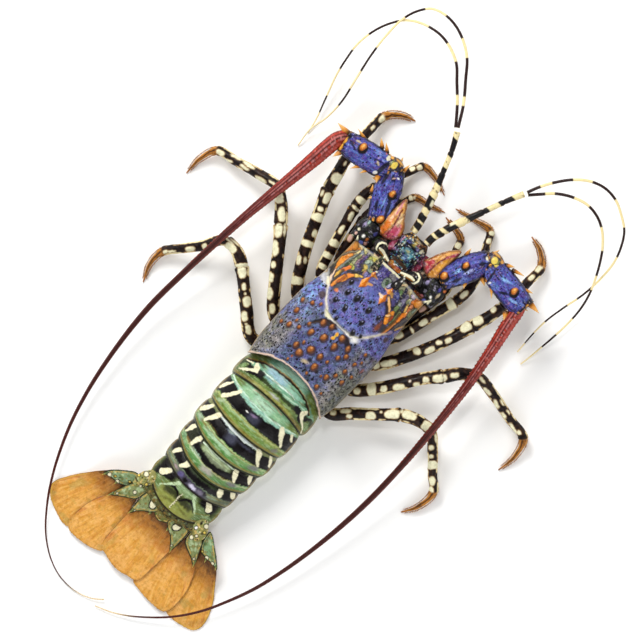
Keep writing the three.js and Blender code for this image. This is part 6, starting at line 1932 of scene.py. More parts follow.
FEEDING = [(5.5, 81, 8, 4), (8, 92, 9, 4.2), (8.5, 103, 8, 3.4), (5, 112, 6, 1.6)]
for name, side in SIDES.items():
    stations = [(side * x, y, z, r) for x, y, z, r in FEEDING]
    limb = tube(f"feeding_limb_{name}", stations, columns=40, walls=110, shape=joint_swell(11, 22))
    coat = Coat(limb, (150, 124, 84), 0.3)
    coat.clouds("umber", 3, 0.8, 1, 0.1)
    coat.clouds("cream", 3.4, 0.8, 1, 0.25, 19)
    coat.lay("rust", smooth(values(limb, "along"), 24, 30))
    coat.done()
    mark(limb, "specks", 0.5)
    dress(limb, "belly", "belly_cream", f"feeding_limb_{name}")
print("belly done")

# %% [markdown]
# ## The tail's rings
# Six rings of shell slide under each other like the plates of armour. Across each ring runs a
# fine white furrow; in front of it lies the smooth lens that slides in under the ring ahead,
# and behind it a raised band. Each side ends in a plate that points down and back.

# %% Form of the rings
# rear edge in the middle and at the side, half width, top
RINGS = [(-47.5, -52, 36, 48.5), (-81, -75.5, 35.3, 47.5), (-104.3, -95, 34.8, 45),
    (-124.4, -113, 32.8, 41.5), (-137.8, -129.5, 31, 37.5), (-160.3, -147, 29.9, 33.5)]
LAST_RING = len(RINGS) - 1
SIDE_Z, RING_CENTRE = 13, 24
flare = graph([(0, 0.93), (0.25, 1.0), (0.55, 1.025), (0.85, 1.0), (1, 0.945)])
arch = graph([(0, 0.94), (0.3, 0.985), (0.6, 1), (1, 0.985)])
ring_under = graph([(0, 13), (0.26, 1), (0.5, 2.2), (0.71, 5), (1, 6.5)])


def ring_edges(index, x):
    """The front and rear edge of a ring over x."""
    rear, side_rear, half, _ = RINGS[index]
    before, side_before = (REAR if index == 0 else RINGS[index - 1][:2])
    return bowed(before, side_before, half, x), bowed(rear, side_rear, half, x)


def ring_place(index):
    """The places of a ring's points: an arch above, a shallow vault below."""
    top = RINGS[index][3]
    next_top = RINGS[index + 1][3] if index < LAST_RING else top - 8

    def place(turn, along, spread):
        x = RINGS[index][2] * flare(along) * np.cos(turn) * spread
        high = np.abs(np.sin(turn))
        crown = mix(top, next_top + 1, along ** 2) * arch(along)
        rim = np.where(np.sin(turn) > 0, SIDE_Z + (crown - SIDE_Z) * high ** 0.8, ring_under(high))
        z = mix(RING_CENTRE, rim, spread)
        droop = np.clip(1 - z / RING_CENTRE, 0, 1) ** 1.5
        front, rear = ring_edges(index, x)
        return np.column_stack([x, mix(front + 4 - 12 * droop, rear - 2.5 * droop, along), z])

    return place


# Where the white furrow crosses each ring: middle, side, and how wide it is cut.
FURROWS = [(-34.6, -36.5, 1.0), (-58.4, -55, 1.2), (-84.6, -81, 1.2), (-105.4, -103, 1.1),
    (-124.8, -117, 1.0), (-142, -136, 0.8)]
SILL = [3.4, 9.5, 8.6, 8.4, 5.2, 9]  # how wide the raised rear band is


def furrow_at(index, x):
    """Where a ring's furrow lies over x."""
    middle, side, _ = FURROWS[index]
    return middle + (side - middle) * (np.abs(x) / 26) ** 2


def build_ring(index):
    """One ring with its furrow and its raised rear band."""
    ring = skin(f"tail_ring_{index + 1}", columns=330, walls=90, place=ring_place(index), top_share=0.74)
    at = points_of(ring)
    x, y = at[:, 0], at[:, 1]
    upper = smooth(normals_of(ring)[:, 2], 0.02, 0.25) * wall_of(ring)
    _, rear = ring_edges(index, x)
    gap = y - rear
    furrow = hill(y - furrow_at(index, x), FURROWS[index][2])
    height = -0.75 * furrow * smooth(28 - np.abs(x), 0, 4)
    height += 0.55 * smooth(SILL[index] - gap, -0.6, 0.9) - 0.3 * hill(gap - SILL[index] - 0.8, 1.6)
    height += 0.3 * hill(gap - 0.9, 1.2)
    height += 0.07 * cloud(at, 4)
    raise_by(ring, height * upper)
    return ring


rings = [build_ring(index) for index in range(len(RINGS))]
print("rings:", [len(ring.data.vertices) for ring in rings])

# %% [markdown]
# The marks of each ring are laid on from front to rear as bands across it, with the same
# cream hooks on its flanks. The bands are arcs: each has a place on the middle line and one
# at the side, 30 mm out.

# %% Coats of the rings
BLACK, SLATE, GOLD = (16, 12, 14), (78, 80, 98), (134, 104, 48)
# For each ring: the kind of mark, its colour, then what Coat.band, blob, stroke or clouds takes.
RING_MARKS = [
    [("band", (104, 152, 124), 0, arc(-26, -36)),
        ("band", (150, 192, 168), 0, arc(-25, -30), 1.2, -14, 14),
        ("band", (96, 112, 54), 0, arc(-26, -36), 0.8, -40, -20),
        ("band", (110, 128, 60), 0, arc(-24, -34), 0.8, 18, 40),
        ("band", (118, 170, 138), arc(-27, -36, 30, 3), arc(-39, -39)),
        ("band", (150, 188, 200), arc(-28, -34), arc(-33.6, -36), 1.2, -17, 2),
        ("band", (160, 206, 184), arc(-30, -34), arc(-34, -36), 1.2, 2, 16, 0.7),
        # the two dark green blobs at the sides, behind the head shell's rim, are painted shade
        ("blob", (42, 72, 44), -23, -32, 8, 3, 150, 0.9),
        ("blob", (52, 84, 50), 22, -32.4, 8, 3, 30, 0.9),
        ("blob", (140, 176, 190), -11, -36.8, 9, 2, 0, 0.8, 0.7),
        ("stroke", (226, 246, 232), [(-18, -35.6), (-10, -34.9), (0, -34.4), (9, -34.4), (14, -34.6)],
            [0.7, 1.4, 1.5, 1.0, 0.3], 0.4),
        ("stroke", (186, 218, 190), [(4, -37.8), (14, -37), (23, -36)], [0.5, 1.1, 0.9], 0.4),
        ("band", (50, 62, 32), arc(-38.6, -38), arc(-41.6, -43), 0.7),
        ("band", BLACK, arc(-39, -37), arc(-41, -42), 0.6, -27, -15),
        ("band", BLACK, arc(-38.6, -37), arc(-40.6, -43), 0.6, 17, 28),
        ("blob", "ink", -18.6, -37.8, 7, 3.6, 12, 0.6), ("blob", "ink", 19.8, -38.8, 7, 3.8, -20, 0.6),
        ("band", (112, 134, 68), arc(-41.4, -43), arc(-48, -52), 0.8),
        ("band", (166, 164, 86), arc(-44.4, -45.6), arc(-46.2, -48), 0.5, -28, 28, 0.7),
        ("blob", (176, 180, 170), 0.6, -43.6, 9, 2.2, 0, 0.8),
        ("band", (84, 108, 50), arc(-42, -43), arc(-48, -52), 1.2, -40, -20),
        ("band", (84, 104, 54), arc(-42, -43), arc(-48, -52), 1.2, 20, 40),
        ("stroke", (214, 180, 130), [(-19, -28), (-8, -26.3), (0, -26), (8, -26.3), (17, -27.8)], 0.7,
            0.3, 0.8),
        ("stroke", GOLD,
            [(-33, -35.6), (-22, -30), (-10, -26.9), (0, -26.4), (10, -26.8), (20, -29.8), (29, -35.6)],
            1.6, 0.4, 0.8),
        ("stroke", (34, 22, 14),
            [(-34, -37), (-28, -34), (-22, -31), (-15, -28.7), (-10, -27.5), (0, -27), (10, -27.3),
                (15, -28.5), (20, -30.5), (25, -33.5), (29, -36.5)], 1.5, 0.35),
        ("blob", BLACK, -29.4, -39.2, 8, 2.6, 145), ("blob", BLACK, -24, -42.4, 10, 2.4, 215),
        ("blob", BLACK, 29.6, -40.6, 9, 2.6, 40), ("blob", BLACK, 25, -43, 8, 2.2, -40),
        ("blob", (112, 142, 80), -32, -41.4, 6, 3.6, 60, 0.6),
        ("blob", (112, 140, 84), 33, -44, 7, 2.4, 110, 0.6),
        ("stroke", "cream", [(-25.6, -34.8), (-24, -37), (-21.6, -38.8)], [2.6, 4.4, 1.6], 0.3),
        ("stroke", "cream", [(-23, -39), (-28, -43), (-33.5, -46.7)], [2.6, 2.2, 1.0], 0.3),
        ("stroke", "cream", [(-33.6, -37.4), (-28.6, -36.2)], [0.8, 1.4], 0.3),
        ("stroke", "cream", [(26, -36.6), (24.6, -38.6)], [3.0, 4.4], 0.3),
        ("stroke", "cream", [(24.4, -39.6), (28, -42.6), (31.6, -46.4)], [3.2, 2.2, 0.9], 0.3),
        ("stroke", "cream", [(31.6, -46), (33.6, -49), (34.8, -54)], [1.0, 0.8, 0.8], 0.3)],
    [("band", (134, 182, 138), 0, arc(-58.4, -55)),
        ("band", (180, 216, 190), arc(-51, -52), arc(-57, -54.4), 1.6, -10, 8, 0.8),
        ("band", (104, 128, 62), arc(-50, -50), arc(-57, -54), 1.2, -40, -22),
        ("band", (112, 132, 64), arc(-50, -50), arc(-57, -54), 1.2, 22, 40),
        ("stroke", (188, 160, 130), [(-14, -49.8), (0, -48.8), (14, -49.8)], 1.0, 0.4, 0.8),
        ("band", (146, 194, 174), arc(-58, -55), arc(-62, -56)),
        ("band", BLACK, arc(-61.6, -56), arc(-71, -69), 0.7), ("clouds", SLATE, 2.6, 0.0),
        ("band", SLATE, arc(-63, -62), arc(-69.6, -68), 1.6, -5, 5, 0.55),
        # the small white blob on the black band is a painted glint
        ("blob", "white", -7, -65.4, 2.4, 1.0, 20),
        ("blob", (150, 124, 160), -1, -64.4, 5, 1.6, 5, 0.7, 0.7),
        ("band", (134, 152, 74), arc(-71, -69.4), arc(-82, -76), 0.5),
        ("band", (104, 136, 62), arc(-74.6, -72), arc(-77.4, -75), 0.9),
        ("band", (178, 186, 118), arc(-71.4, -69.8), arc(-72.6, -70.8), 0.4),
        ("band", (150, 182, 140), arc(-72.6, -70.4), arc(-74, -72), 0.6, -26, 8, 0.7),
        ("blob", (170, 190, 150), -27, -72.4, 7, 3, 25, 0.9, 0.9),
        ("blob", (120, 110, 110), 28, -73.6, 7, 3, 40, 1.0, 0.8),
        ("stroke", (206, 236, 214),
            [(-33, -52.6), (-25, -55.8), (-10, -57.8), (0, -58.2), (12, -57.8), (24, -56), (31, -54)],
            [1.0, 1.6, 1.2, 1.0, 1.2, 1.5, 0.8], 0.4),
        ("stroke", "cream", [(-29.4, -57), (-32, -61), (-34, -65.6)], [1.8, 2.4, 2.0], 0.3),
        ("stroke", "cream", [(-20.6, -58), (-22.6, -61.5), (-25, -65), (-28.4, -69)],
            [3, 3.2, 3.0, 3.6], 0.35),
        ("stroke", "cream", [(21.6, -57.6), (23.4, -60), (25.8, -63.6), (29.4, -68)],
            [3.8, 4.0, 2.8, 2.0], 0.35), ("stroke", "cream", [(30, -56), (32.6, -59.4)], 1.8, 0.3)],
    [("band", (126, 130, 88), 0, arc(-84, -80)),
        ("band", (150, 124, 104), 0, arc(-81.6, -80), 0.5, -18, 18),
        ("band", (204, 214, 216), arc(-81.8, -80.4), arc(-84.2, -82.5), 0.5, -17, 16),
        ("band", BLACK, arc(-84.2, -80), arc(-94.4, -90), 0.6),
        ("band", SLATE, arc(-84.8, -84), arc(-92.4, -92), 1.8, -6, 2, 0.7),
        ("blob", SLATE, 10, -86, 12, 1.6, 6, 0.8, 0.5),
        ("blob", (156, 170, 190), -5, -85.2, 6, 1.6, 0, 0.7, 0.7),
        ("band", (96, 84, 44), arc(-92.8, -89.6), arc(-95, -90.4), 0.5, -28, -12, 0.8),
        ("band", (112, 150, 84), arc(-94.4, -90), arc(-105.4, -95)),
        ("band", (90, 140, 72), arc(-99.5, -94), arc(-103.4, -95.6), 0.9),
        ("band", (176, 192, 132), arc(-94.8, -90.6), arc(-96, -91.4), 0.4),
        # the pale green band on the left of the green band is a painted highlight
        ("band", (172, 206, 170), arc(-96, -92), arc(-99.4, -95), 0.8, -22, 6, 0.75),
        ("blob", (122, 118, 122), 25.6, -93.6, 9, 4, 35, 1.2, 0.85),
        ("blob", (150, 170, 150), -29.6, -92, 7, 3.6, -30, 1.0, 0.85),
        ("blob", GOLD, -24, -94, 8, 1.6, -20, 0.8, 0.8),
        ("stroke", (224, 232, 226), [(-19, -81.6), (-8, -83.6), (0, -84), (8, -83.6), (18, -81.4)],
            1.1, 0.35),
        ("stroke", "cream", [(-28.6, -79.5), (-31, -83.4), (-33.2, -87)], [2.4, 3.4, 3.2], 0.3),
        ("stroke", "cream", [(-20, -81.6), (-21.2, -84), (-23.4, -87.6), (-25.6, -91)],
            [3.6, 4.6, 3.0, 2.4], 0.35),
        ("stroke", "cream", [(20, -81.4), (22, -83.6), (24, -87), (26.6, -90)], [3.6, 4.8, 3.0, 1.8],
            0.35),
        ("stroke", "cream", [(29.5, -78.8), (31.6, -81.6), (33.4, -84.8)], [2.4, 2.6, 1.8], 0.3)],
    [("band", (132, 146, 96), 0, arc(-112, -104)),
        ("band", (168, 186, 144), arc(-105.4, -103), arc(-110, -106), 0.9, -12, 13),
        ("band", (110, 116, 96), arc(-109, -105), arc(-112, -106), 0.9, -10, 12, 0.8),
        ("band", BLACK, arc(-111.6, -98), arc(-116.4, -108), 0.8),
        ("band", BLACK, arc(-104, -98), arc(-113, -108.6), 0.8, -25, -14),
        ("band", BLACK, arc(-103, -98), arc(-113, -107), 0.8, 14, 26),
        ("band", (48, 50, 34), arc(-107, -98), arc(-112, -110), 1.0, -30, -21, 0.8),
        ("band", (104, 148, 86), arc(-116.2, -108.6), arc(-125.4, -113)),
        ("band", (82, 128, 70), arc(-119.6, -112), arc(-123.4, -114.6), 0.9),
        ("band", (176, 190, 138), arc(-116.4, -109), arc(-117.6, -110), 0.4),
        ("band", (176, 166, 158), arc(-116.8, -112), arc(-121.4, -116), 1.3, -4, 6, 0.85),
        ("blob", (178, 208, 180), -14, -114.6, 11, 2.6, -18, 0.8, 0.75),
        ("blob", (122, 116, 122), 22.4, -113.6, 8, 3, 25, 1.0, 0.85),
        ("blob", GOLD, -25, -110.6, 8, 1.8, -25, 0.9, 0.8),
        ("blob", GOLD, 15, -114.6, 8, 1.2, 15, 0.8, 0.7),
        ("blob", (112, 150, 110), -29, -110, 6, 2.6, -40, 0.8),
        ("stroke", (220, 236, 212),
            [(-14.5, -104.6), (-8, -105.4), (0, -105.8), (8, -105.3), (15, -104.2)], 1.3, 0.35),
        ("stroke", "cream", [(-27.4, -99.4), (-29.2, -103), (-30.6, -107)], [2.6, 3.2, 1.8], 0.3),
        ("stroke", "cream", [(-18.4, -103.4), (-19.8, -106.4), (-21, -111)], [3.6, 3.6, 2.8], 0.35),
        ("stroke", "cream", [(17.6, -102.6), (19, -106), (21.4, -110.6)], [4.2, 4.2, 2.6], 0.35),
        ("stroke", "cream", [(27.6, -98.4), (29.4, -101.4), (31, -104.6)], [3.4, 3.4, 1.8], 0.3)],
    [("band", (26, 28, 22), 0, arc(-131.8, -125), 0.7),
        ("band", BLACK, arc(-127, -118), arc(-131.2, -124), 0.7),
        ("band", (62, 74, 48), arc(-124, -118), arc(-127, -122), 0.9, -10, 16, 0.7),
        ("band", (92, 104, 84), arc(-131.4, -124), arc(-140, -129), 0.6),
        ("band", (66, 62, 76), arc(-132, -128), arc(-138.6, -131), 0.7, -14, 15),
        ("blob", (116, 136, 106), -24, -128.6, 9, 3, -25, 0.8),
        ("blob", (126, 142, 112), 18, -130.6, 12, 3, 22, 0.8),
        ("blob", (168, 142, 146), -17.4, -131.6, 5, 2, -20, 0.7, 0.8),
        ("blob", (92, 84, 128), -11, -134, 5, 3.4, -10, 0.8),
        ("blob", BLACK, -5.6, -135, 4, 3.6, 0, 0.7),
        ("blob", (206, 200, 222), 1.8, -134.8, 6.4, 2.8, 0, 0.7),
        ("blob", (120, 112, 130), 8.6, -134.4, 5, 3, 10, 0.8),
        ("blob", (38, 34, 40), 12.6, -133, 3, 3, 10, 0.6),
        ("stroke", "cream", [(-22.6, -118.4), (-24.6, -121.6), (-26.6, -125)], [2.6, 3.2, 2.4], 0.3),
        ("stroke", "cream", [(-12.4, -123.6), (-13.4, -126), (-15.2, -129)], [4.4, 4.0, 2.8], 0.35),
        ("stroke", "cream", [(18.8, -121), (20, -123.6), (21, -125.8)], [4.2, 4.8, 3.4], 0.35),
        ("stroke", "cream", [(26, -116.4), (27.6, -118), (29, -120.4)], [3.0, 3.4, 2.2], 0.3)],
    [("band", (104, 120, 64), 0, -200),
        ("band", (138, 164, 116), arc(-138, -136), arc(-144, -139), 1.2, -9, 10),
        ("band", BLACK, arc(-134, -130), arc(-142, -147), 1.0, -29, -11),
        ("band", BLACK, arc(-134, -130), arc(-140, -145), 1.0, 12, 28),
        ("band", (100, 124, 70), arc(-142, -147), arc(-154, -158), 1.4, -40, -17),
        ("band", (96, 118, 66), arc(-140, -144), arc(-152, -158), 1.4, 16, 40),
        ("band", (148, 154, 76), arc(-150, -146), arc(-160, -151), 1.4, -16, 16),
        ("band", (40, 36, 24), arc(-145.4, -152), arc(-150.6, -156), 1.6, -14, 13, 0.85),
        ("stroke", BLACK, [(-16.4, -149), (-12, -145.4), (-8, -143.8), (-4, -145), (-1.4, -148)],
            [0.8, 2.2, 2.8, 2.2, 1.2], 0.6),
        ("stroke", BLACK, [(1.6, -149), (4.6, -145.4), (8.4, -143.6), (12, -145.6), (15, -149)],
            [1.2, 2.4, 3.0, 2.2, 0.8], 0.6), ("blob", (70, 84, 40), 0, -153.4, 20, 1.6, 0, 1.2, 0.5),
        ("blob", (76, 60, 26), -8, -155, 10, 1.6, 15, 1.0, 0.6),
        ("blob", (76, 60, 26), 10, -154, 10, 1.6, -15, 1.0, 0.6),
        ("stroke", (190, 212, 168), [(-7.4, -139.4), (-9.4, -142.4), (-13, -146), (-17.6, -150)],
            [3.2, 2.6, 1.8, 0.9], 0.4),
        ("stroke", (190, 212, 168), [(7.4, -138.4), (9.6, -142), (13, -145.4), (16.6, -148.6)],
            [3.2, 2.4, 1.8, 0.9], 0.4), ("blob", BLACK, -21.2, -139.8, 11.6, 8.4, 50, 0.4),
        ("blob", BLACK, 21.2, -137.4, 10.6, 8, 122, 0.4),
        ("stroke", "cream", [(-18.8, -137.4), (-22.6, -141.6)], [4.4, 5.2], 0.3),
        ("stroke", "cream", [(19.4, -135.4), (22.2, -139)], [4.2, 5.0], 0.3),
        ("stroke", "cream", [(0, -144), (0, -158)], 0.9, 0.3, 0.8),
        ("stroke", (150, 176, 120), [(23, -147), (25.6, -142.6)], 1.2, 0.5, 0.8),
        ("blob", "cream", 0.2, -153.4, 1.6, 1.2)]]


def paint_ring(index):
    """The marks of a ring, then wisps, gold edges, flanks and underside."""
    ring = rings[index]
    coat = Coat(ring, (100, 138, 88), ragged=0.5)
    x, y, z = coat.at.T
    lane = np.column_stack([x * 0.16, y * 1.2, z * 0.2])
    dark_wisps, light_wisps = cloud(lane + 5, 1.0, 3), cloud(lane * 1.7 + 50, 1.0)
    coat.y = coat.y + 0.5 * cloud(np.column_stack([x * 1.4, y * 0.2, z]), 1.2)
    for kind, colour, *rest in RING_MARKS[index]:
        getattr(coat, kind)(colour, *rest)
    coat.y = coat.xy[:, 1]
    green = smooth(coat.rgb[:, 1] - coat.rgb[:, 0], 0.01, 0.06)
    coat.lay((92, 80, 40), green * smooth(dark_wisps, 0.1, 0.6) * 0.5)
    coat.lay((190, 214, 170), green * smooth(light_wisps, 0.15, 0.7) * 0.35)
    _, rear = ring_edges(index, x)
    gap = y - rear
    golden = hill(gap - 1.8, 1.3) * 0.75 + hill(gap - SILL[index] + 0.3, 0.7) * 0.5
    coat.lay(GOLD, golden * coat.seen * green)
    coat.lay((28, 20, 12), (1 - smooth(gap, 0.7, 1.2)) * coat.seen * 0.95)
    flank = smooth(np.abs(x), 31.5, 34) * (1 - smooth(z, 18, 24))
    coat.lay((92, 120, 76), flank)
    coat.clouds("ink", 4, 0.9, flank, 0.0, 11)
    coat.clouds("cream", 3.4, 0.8, flank * (1 - smooth(z, 8, 16)), 0.15, 29)
    coat.lay((150, 120, 60), hill(np.abs(x) / RINGS[index][2] - 1.0, 0.03) * 0.6 * smooth(z, 8, 12))
    coat.lay("cream", (1 - smooth(z, 3, 5)) * smooth(np.abs(x), 27, 30))
    belly = (1 - smooth(normals_of(ring)[:, 2], -0.5, -0.1)) * (1 - smooth(np.abs(x), 26, 30))
    coat.lay((206, 196, 160), belly)
    coat.clouds("olive", 6, 0.5, belly, 0.1, 37)
    if index == LAST_RING:
        coat.lay("umber", hill(x, 0.7) * smooth(-y, 144, 145) * (np.sin(y * 3.6) > 0.2))
    coat.done()
    dress(ring, "ring", "ring_green", f"tail_ring_{index + 1}")


for index in range(len(RINGS)):
    paint_ring(index)
print("marks on the rings:", sum(len(marks) for marks in RING_MARKS))

# %% [markdown]
# ## The tail fan
# The fan has a middle plate and two blades on each side, which lie over each other like cards.
# The root of each is green shell with small spines; the rest is a tan leathery membrane with
# fine threads from root to rim. The blades are lobes: nets inside an outline, crowded at the rim.

# %% Outlines of the fan
TELSON = [(-17, -162.5), (-20.5, -171), (-20.6, -180), (-20.3, -200), (-18.5, -213), (-11, -216.5),
    (0, -219), (11, -217.3), (19.5, -214), (21.5, -200), (22.5, -180), (22.8, -171), (19, -162.5)]
BLADES = {
    ("left", "outer"): [(-33, -157.5), (-45, -162), (-55, -171), (-65, -183), (-72, -193), (-77, -204),
        (-72, -212.5), (-60, -218.5), (-48, -221), (-41, -214), (-38, -198), (-37, -180), (-32, -165)],
    ("left", "inner"): [(-24, -163), (-31, -164), (-38, -177), (-45, -190), (-48.5, -202),
        (-48.5, -216), (-44, -221.6), (-34, -222), (-22, -220), (-14, -214), (-15, -196), (-21, -178)],
    ("right", "outer"): [(36, -152.5), (46, -158), (55, -165.5), (66, -179.5), (73, -189.5),
        (78, -202), (77, -211.5), (70, -215.8), (56, -218), (47, -214), (42, -198), (40, -181),
        (35, -163)],
    ("right", "inner"): [(25, -162), (32.5, -160.5), (41, -172), (48, -183.5), (52, -195), (53, -208),
        (50, -218), (40, -220), (26, -219), (16, -215), (17, -196), (22.5, -178)]}
LAYER_Z = {"outer": 1.1, "inner": 3.0, "telson": 4.9}
BLADE_THICK, LEAF_THICK = 1.3, 2.2
# Plates of green shell at the roots, like leaves: outline, colour, and height over the blade.
LEAVES = {
    ("left", "outer"): [
        ([(-33, -156.5), (-31, -160.5), (-31.5, -164), (-36, -169), (-42, -171.4), (-48, -171.4),
                (-54, -173), (-52, -167.6), (-44, -160.5), (-37, -156)], (128, 152, 112), 0.9)],
    ("left", "inner"): [
        ([(-20.5, -160.5), (-25, -158.6), (-30.6, -161), (-35.6, -168), (-38, -175), (-40.4, -182),
                (-34, -178), (-27.6, -174), (-22.6, -170)], (132, 142, 92), 1.2)],
    ("right", "outer"): [([(34, -151), (38, -151.6), (44, -156), (51, -161.5), (57.6, -168),
                (51, -167.4), (45, -167.4), (39.6, -166.4), (35.4, -160)], (128, 160, 116), 0.9)],
    ("right", "inner"): [([(23.4, -158.6), (29, -156.6), (34, -158.6), (38, -165), (42.8, -177.6),
                (36.4, -174.6), (30, -172), (25, -168)], (130, 142, 90), 1.2)],
    ("mid", "telson"): [
        ([(-20, -158.5), (-13, -158.2), (-7, -161), (-4.6, -165.6), (-8, -170.4), (-12.6, -173.6),
                (-16, -176.6), (-20, -181.6), (-21.4, -170)], (134, 146, 96), 1.1),
        ([(20, -158.5), (13, -158.6), (7, -162), (5.8, -166.6), (9.6, -170.6), (14, -173), (18, -177),
                (22.4, -181.6), (23.4, -170), (22.6, -161)], (138, 148, 96), 1.1),
        ([(-12, -157.4), (12, -157.4), (8, -166), (4.6, -169), (0, -171), (-4, -170), (-7.4, -167)],
            (126, 116, 60), 0.5)]}
FAN_DOTS = [("cream", -50, -170.6, 2.6), ("cream", -42, -170.4, 2.4), ("cream", 46, -166.8, 2.6),
    ("cream", 52, -166.8, 2.2), ("cream", -27, -167.5, 2.2), ("lemon", -46, -168.6, 1.4),
    ("cream", -36, -177, 1.4), ("cream", 27, -163, 2.6), ("cream", 39.4, -174, 1.4),
    ("cream", -18, -177.6, 1.1), ("lemon", 40, -165.4, 1.4), ("lemon", -35, -164.6, 1.6),
    ("cream", 20.4, -177.6, 1.1), ("white", -6, -161, 1.7), ("lemon", 6, -160.8, 1.8),
    ("violet", 0, -161.4, 3.2), ("lemon", -3.4, -163.4, 1.2), ("lemon", 3.6, -164, 1.3)]


print("dots on the leaves:", len(FAN_DOTS))


# %% Blades with their leaves
def fan_rise(y):
    """The blades climb towards the last ring."""
    return 13 * smooth(y, -186, -158)


def scallops(rimmed, share):
    """Tiny waves along the rear rim."""
    behind = smooth(-rimmed[:, 1], 200, 212)
    return 0.004 * np.sin(share * 2 * math.pi * 46) * behind


def fan_leaf(name, key, outline, colour, over, number):
    """A raised plate of green shell with a black border, on the root of a blade."""

    def middle(x, y):
        return LAYER_Z[key[1]] + fan_rise(y) + over

    leaf = lobe(name, outline, columns=90, walls=56, middle=middle, thickness=LEAF_THICK, rim=0.8)
    at = points_of(leaf)
    border = far_from(at[:, :2], ringed_path(outline))
    lift = 0.5 * hill(border - 4.4, 3) + 0.25 * cloud(at, 2.2) - 0.5 * hill(border - 1.4, 0.9)
    raise_by(leaf, lift * smooth(normals_of(leaf)[:, 2], 0, 0.5))
    coat = Coat(leaf, colour, 0.3)
    for haze in [((176, 196, 150), 2.6, 0.8, 1, 0.1, number),
        ((96, 112, 56), 2.2, 0.8, 1, 0.1, number + 20), (GOLD, 1.5, 0.8, 1, 0.3, number + 40),
        ("ink", 1.2, 0.8, 1, 0.5, number + 60)]:
        coat.clouds(*haze)
    border = far_from(coat.xy, ringed_path(outline))
    coat.lay((206, 170, 90), hill(border - 1.5, 0.8) * smooth(cloud(coat.at, 2), -0.4, 0.1) * 0.9)
    coat.lay((36, 26, 14), (1 - smooth(border, 0.4, 1.0)) * 0.95)
    for dot_colour, x, y, size in FAN_DOTS:
        coat.blob("ink", x, y, size + 1.2)
        coat.blob(dot_colour, x, y, size)
    for x, lean in ((-11.2, 112), (13.8, 66)):
        coat.blob("ink", x, -164.4, 9.4, 6.6, lean)
        coat.blob("cream", x, -164.4, 7.2, 4.6, lean)
    coat.done()
    dress(leaf, "ring", "fan_tan", "telson" if key[1] == "telson" else f"tail_blade_{key[1]}_{key[0]}")


def build_blade(key, outline, root):
    """A blade whose threads run out from a place ahead of it, with its leaves."""
    name = "telson" if key[1] == "telson" else f"tail_blade_{key[1]}_{key[0]}"
    blade = lobe(name, outline, columns=284, walls=142, middle=lambda x, y: LAYER_Z[key[1]] + fan_rise(y),
                 thickness=BLADE_THICK, edge=scallops)
    at = points_of(blade)
    up = smooth(normals_of(blade)[:, 2], 0, 0.5)
    across = np.arctan2(at[:, 0] - root[0], root[1] - at[:, 1]) * 60
    away = np.hypot(at[:, 0] - root[0], at[:, 1] - root[1])
    rim_gap = far_from(at[:, :2], ringed_path(outline))
    height = 0.07 * np.sin(across * 1.6) + 0.22 * cloud(at, 6) + 0.1 * cloud(at, 1.6)
    height -= 0.25 * hill(rim_gap - 2.4, 1.6)
    raise_by(blade, height * up)
    coat = Coat(blade, (224, 160, 68), ragged=0.3)
    x, y = coat.x, coat.y
    grain = cloud(np.column_stack([across * 0.9, away * 0.07, 0 * away]), 1.0)
    threads = cloud(np.column_stack([across * 2.2, away * 0.12, 9 + 0 * away]), 1.0)
    coat.lay((240, 184, 98), smooth(grain, 0.1, 0.6) * 0.35)
    coat.lay((194, 124, 48), smooth(-grain, 0.15, 0.7) * 0.35)
    coat.lay((176, 112, 44), smooth(threads, 0.35, 0.8) * 0.3)
    coat.lay((244, 200, 120), smooth(-threads, 0.4, 0.85) * 0.3)
    for haze in [((234, 176, 98), 6, 0.7, 1, 0.0, 3), ((184, 130, 52), 1.5, 0.5, 1, 0.1, 23),
        ((200, 116, 48), 6, 0.5, smooth(y, -198, -184), 0.05, 43),
        ((170, 150, 76), 7, 0.5, smooth(np.abs(x), 8, 20), 0.2, 63)]:
        coat.clouds(*haze)
    flanks = hill(rim_gap, 7) * smooth(-y, 172, 190) * (1 - smooth(-y, 205, 214))
    coat.lay((176, 72, 34), smooth(grain, 0.2, 0.5) * flanks * 0.45)
    fade = smooth(y + 2.0 * cloud(coat.at, 5), -193, -174)
    coat.lay((152, 96, 36), fade * 0.85)
    coat.clouds((90, 54, 22), 2.4, 0.8, smooth(y, -184, -172), 0.0, 13)
    coat.lay((64, 36, 20), smooth(y, -176, -170) * 0.8)
    coat.lay((92, 54, 22), hill(rim_gap, 0.9) * smooth(y, -216, -206) * 0.75)
    tail = hill(rim_gap, 2.2) * (1 - smooth(y, -214, -206))
    coat.lay((196, 140, 56), tail * 0.6)
    for haze in [((146, 88, 38), 0.9, 0.8, hill(rim_gap, 7) * (1 - smooth(y, -210, -198)), 0.5, 33),
        ((244, 214, 150), 0.9, 0.7, hill(rim_gap, 7) * (1 - smooth(y, -210, -198)), 0.5, 53),
        ((120, 72, 30), 1.0, 0.8, hill(rim_gap, 1.5) * (1 - smooth(y, -214, -206)), 0.2, 13)]:
        coat.clouds(*haze)
    coat.lay((216, 170, 70), smooth(np.abs(x), 60, 66) * hill(rim_gap - 0.8, 0.9) * 0.8)
    coat.lay((216, 160, 92), (1 - smooth(normals_of(blade)[:, 2], -0.3, 0.1)) * 0.8)
    coat.done()
    mark(blade, "across", across)
    mark(blade, "along", away)
    mark(blade, "membrane", smooth(-at[:, 1], 166, 174))
    dress(blade, "fan", "fan_tan", name)
    for number, (leaf, colour, over) in enumerate(LEAVES[key]):
        fan_leaf(f"{name}_leaf_{number + 1}", key, leaf, colour, over, 3 * number + 1)


build_blade(("mid", "telson"), TELSON, (0, -100))
for key, outline in BLADES.items():
    side = SIDES[key[0]]
    build_blade(key, outline, (side * (30 if key[1] == "outer" else 12), -128))
print("blades and leaves:", 1 + len(BLADES), "and", sum(len(leaves) for leaves in LEAVES.values()))

# %% [markdown]
# Under the leaves, a stalk on each side joins the blades to the last ring, and a bridge of
# dark flesh lies between the stalks. They are tubes, because they are round and half hidden.

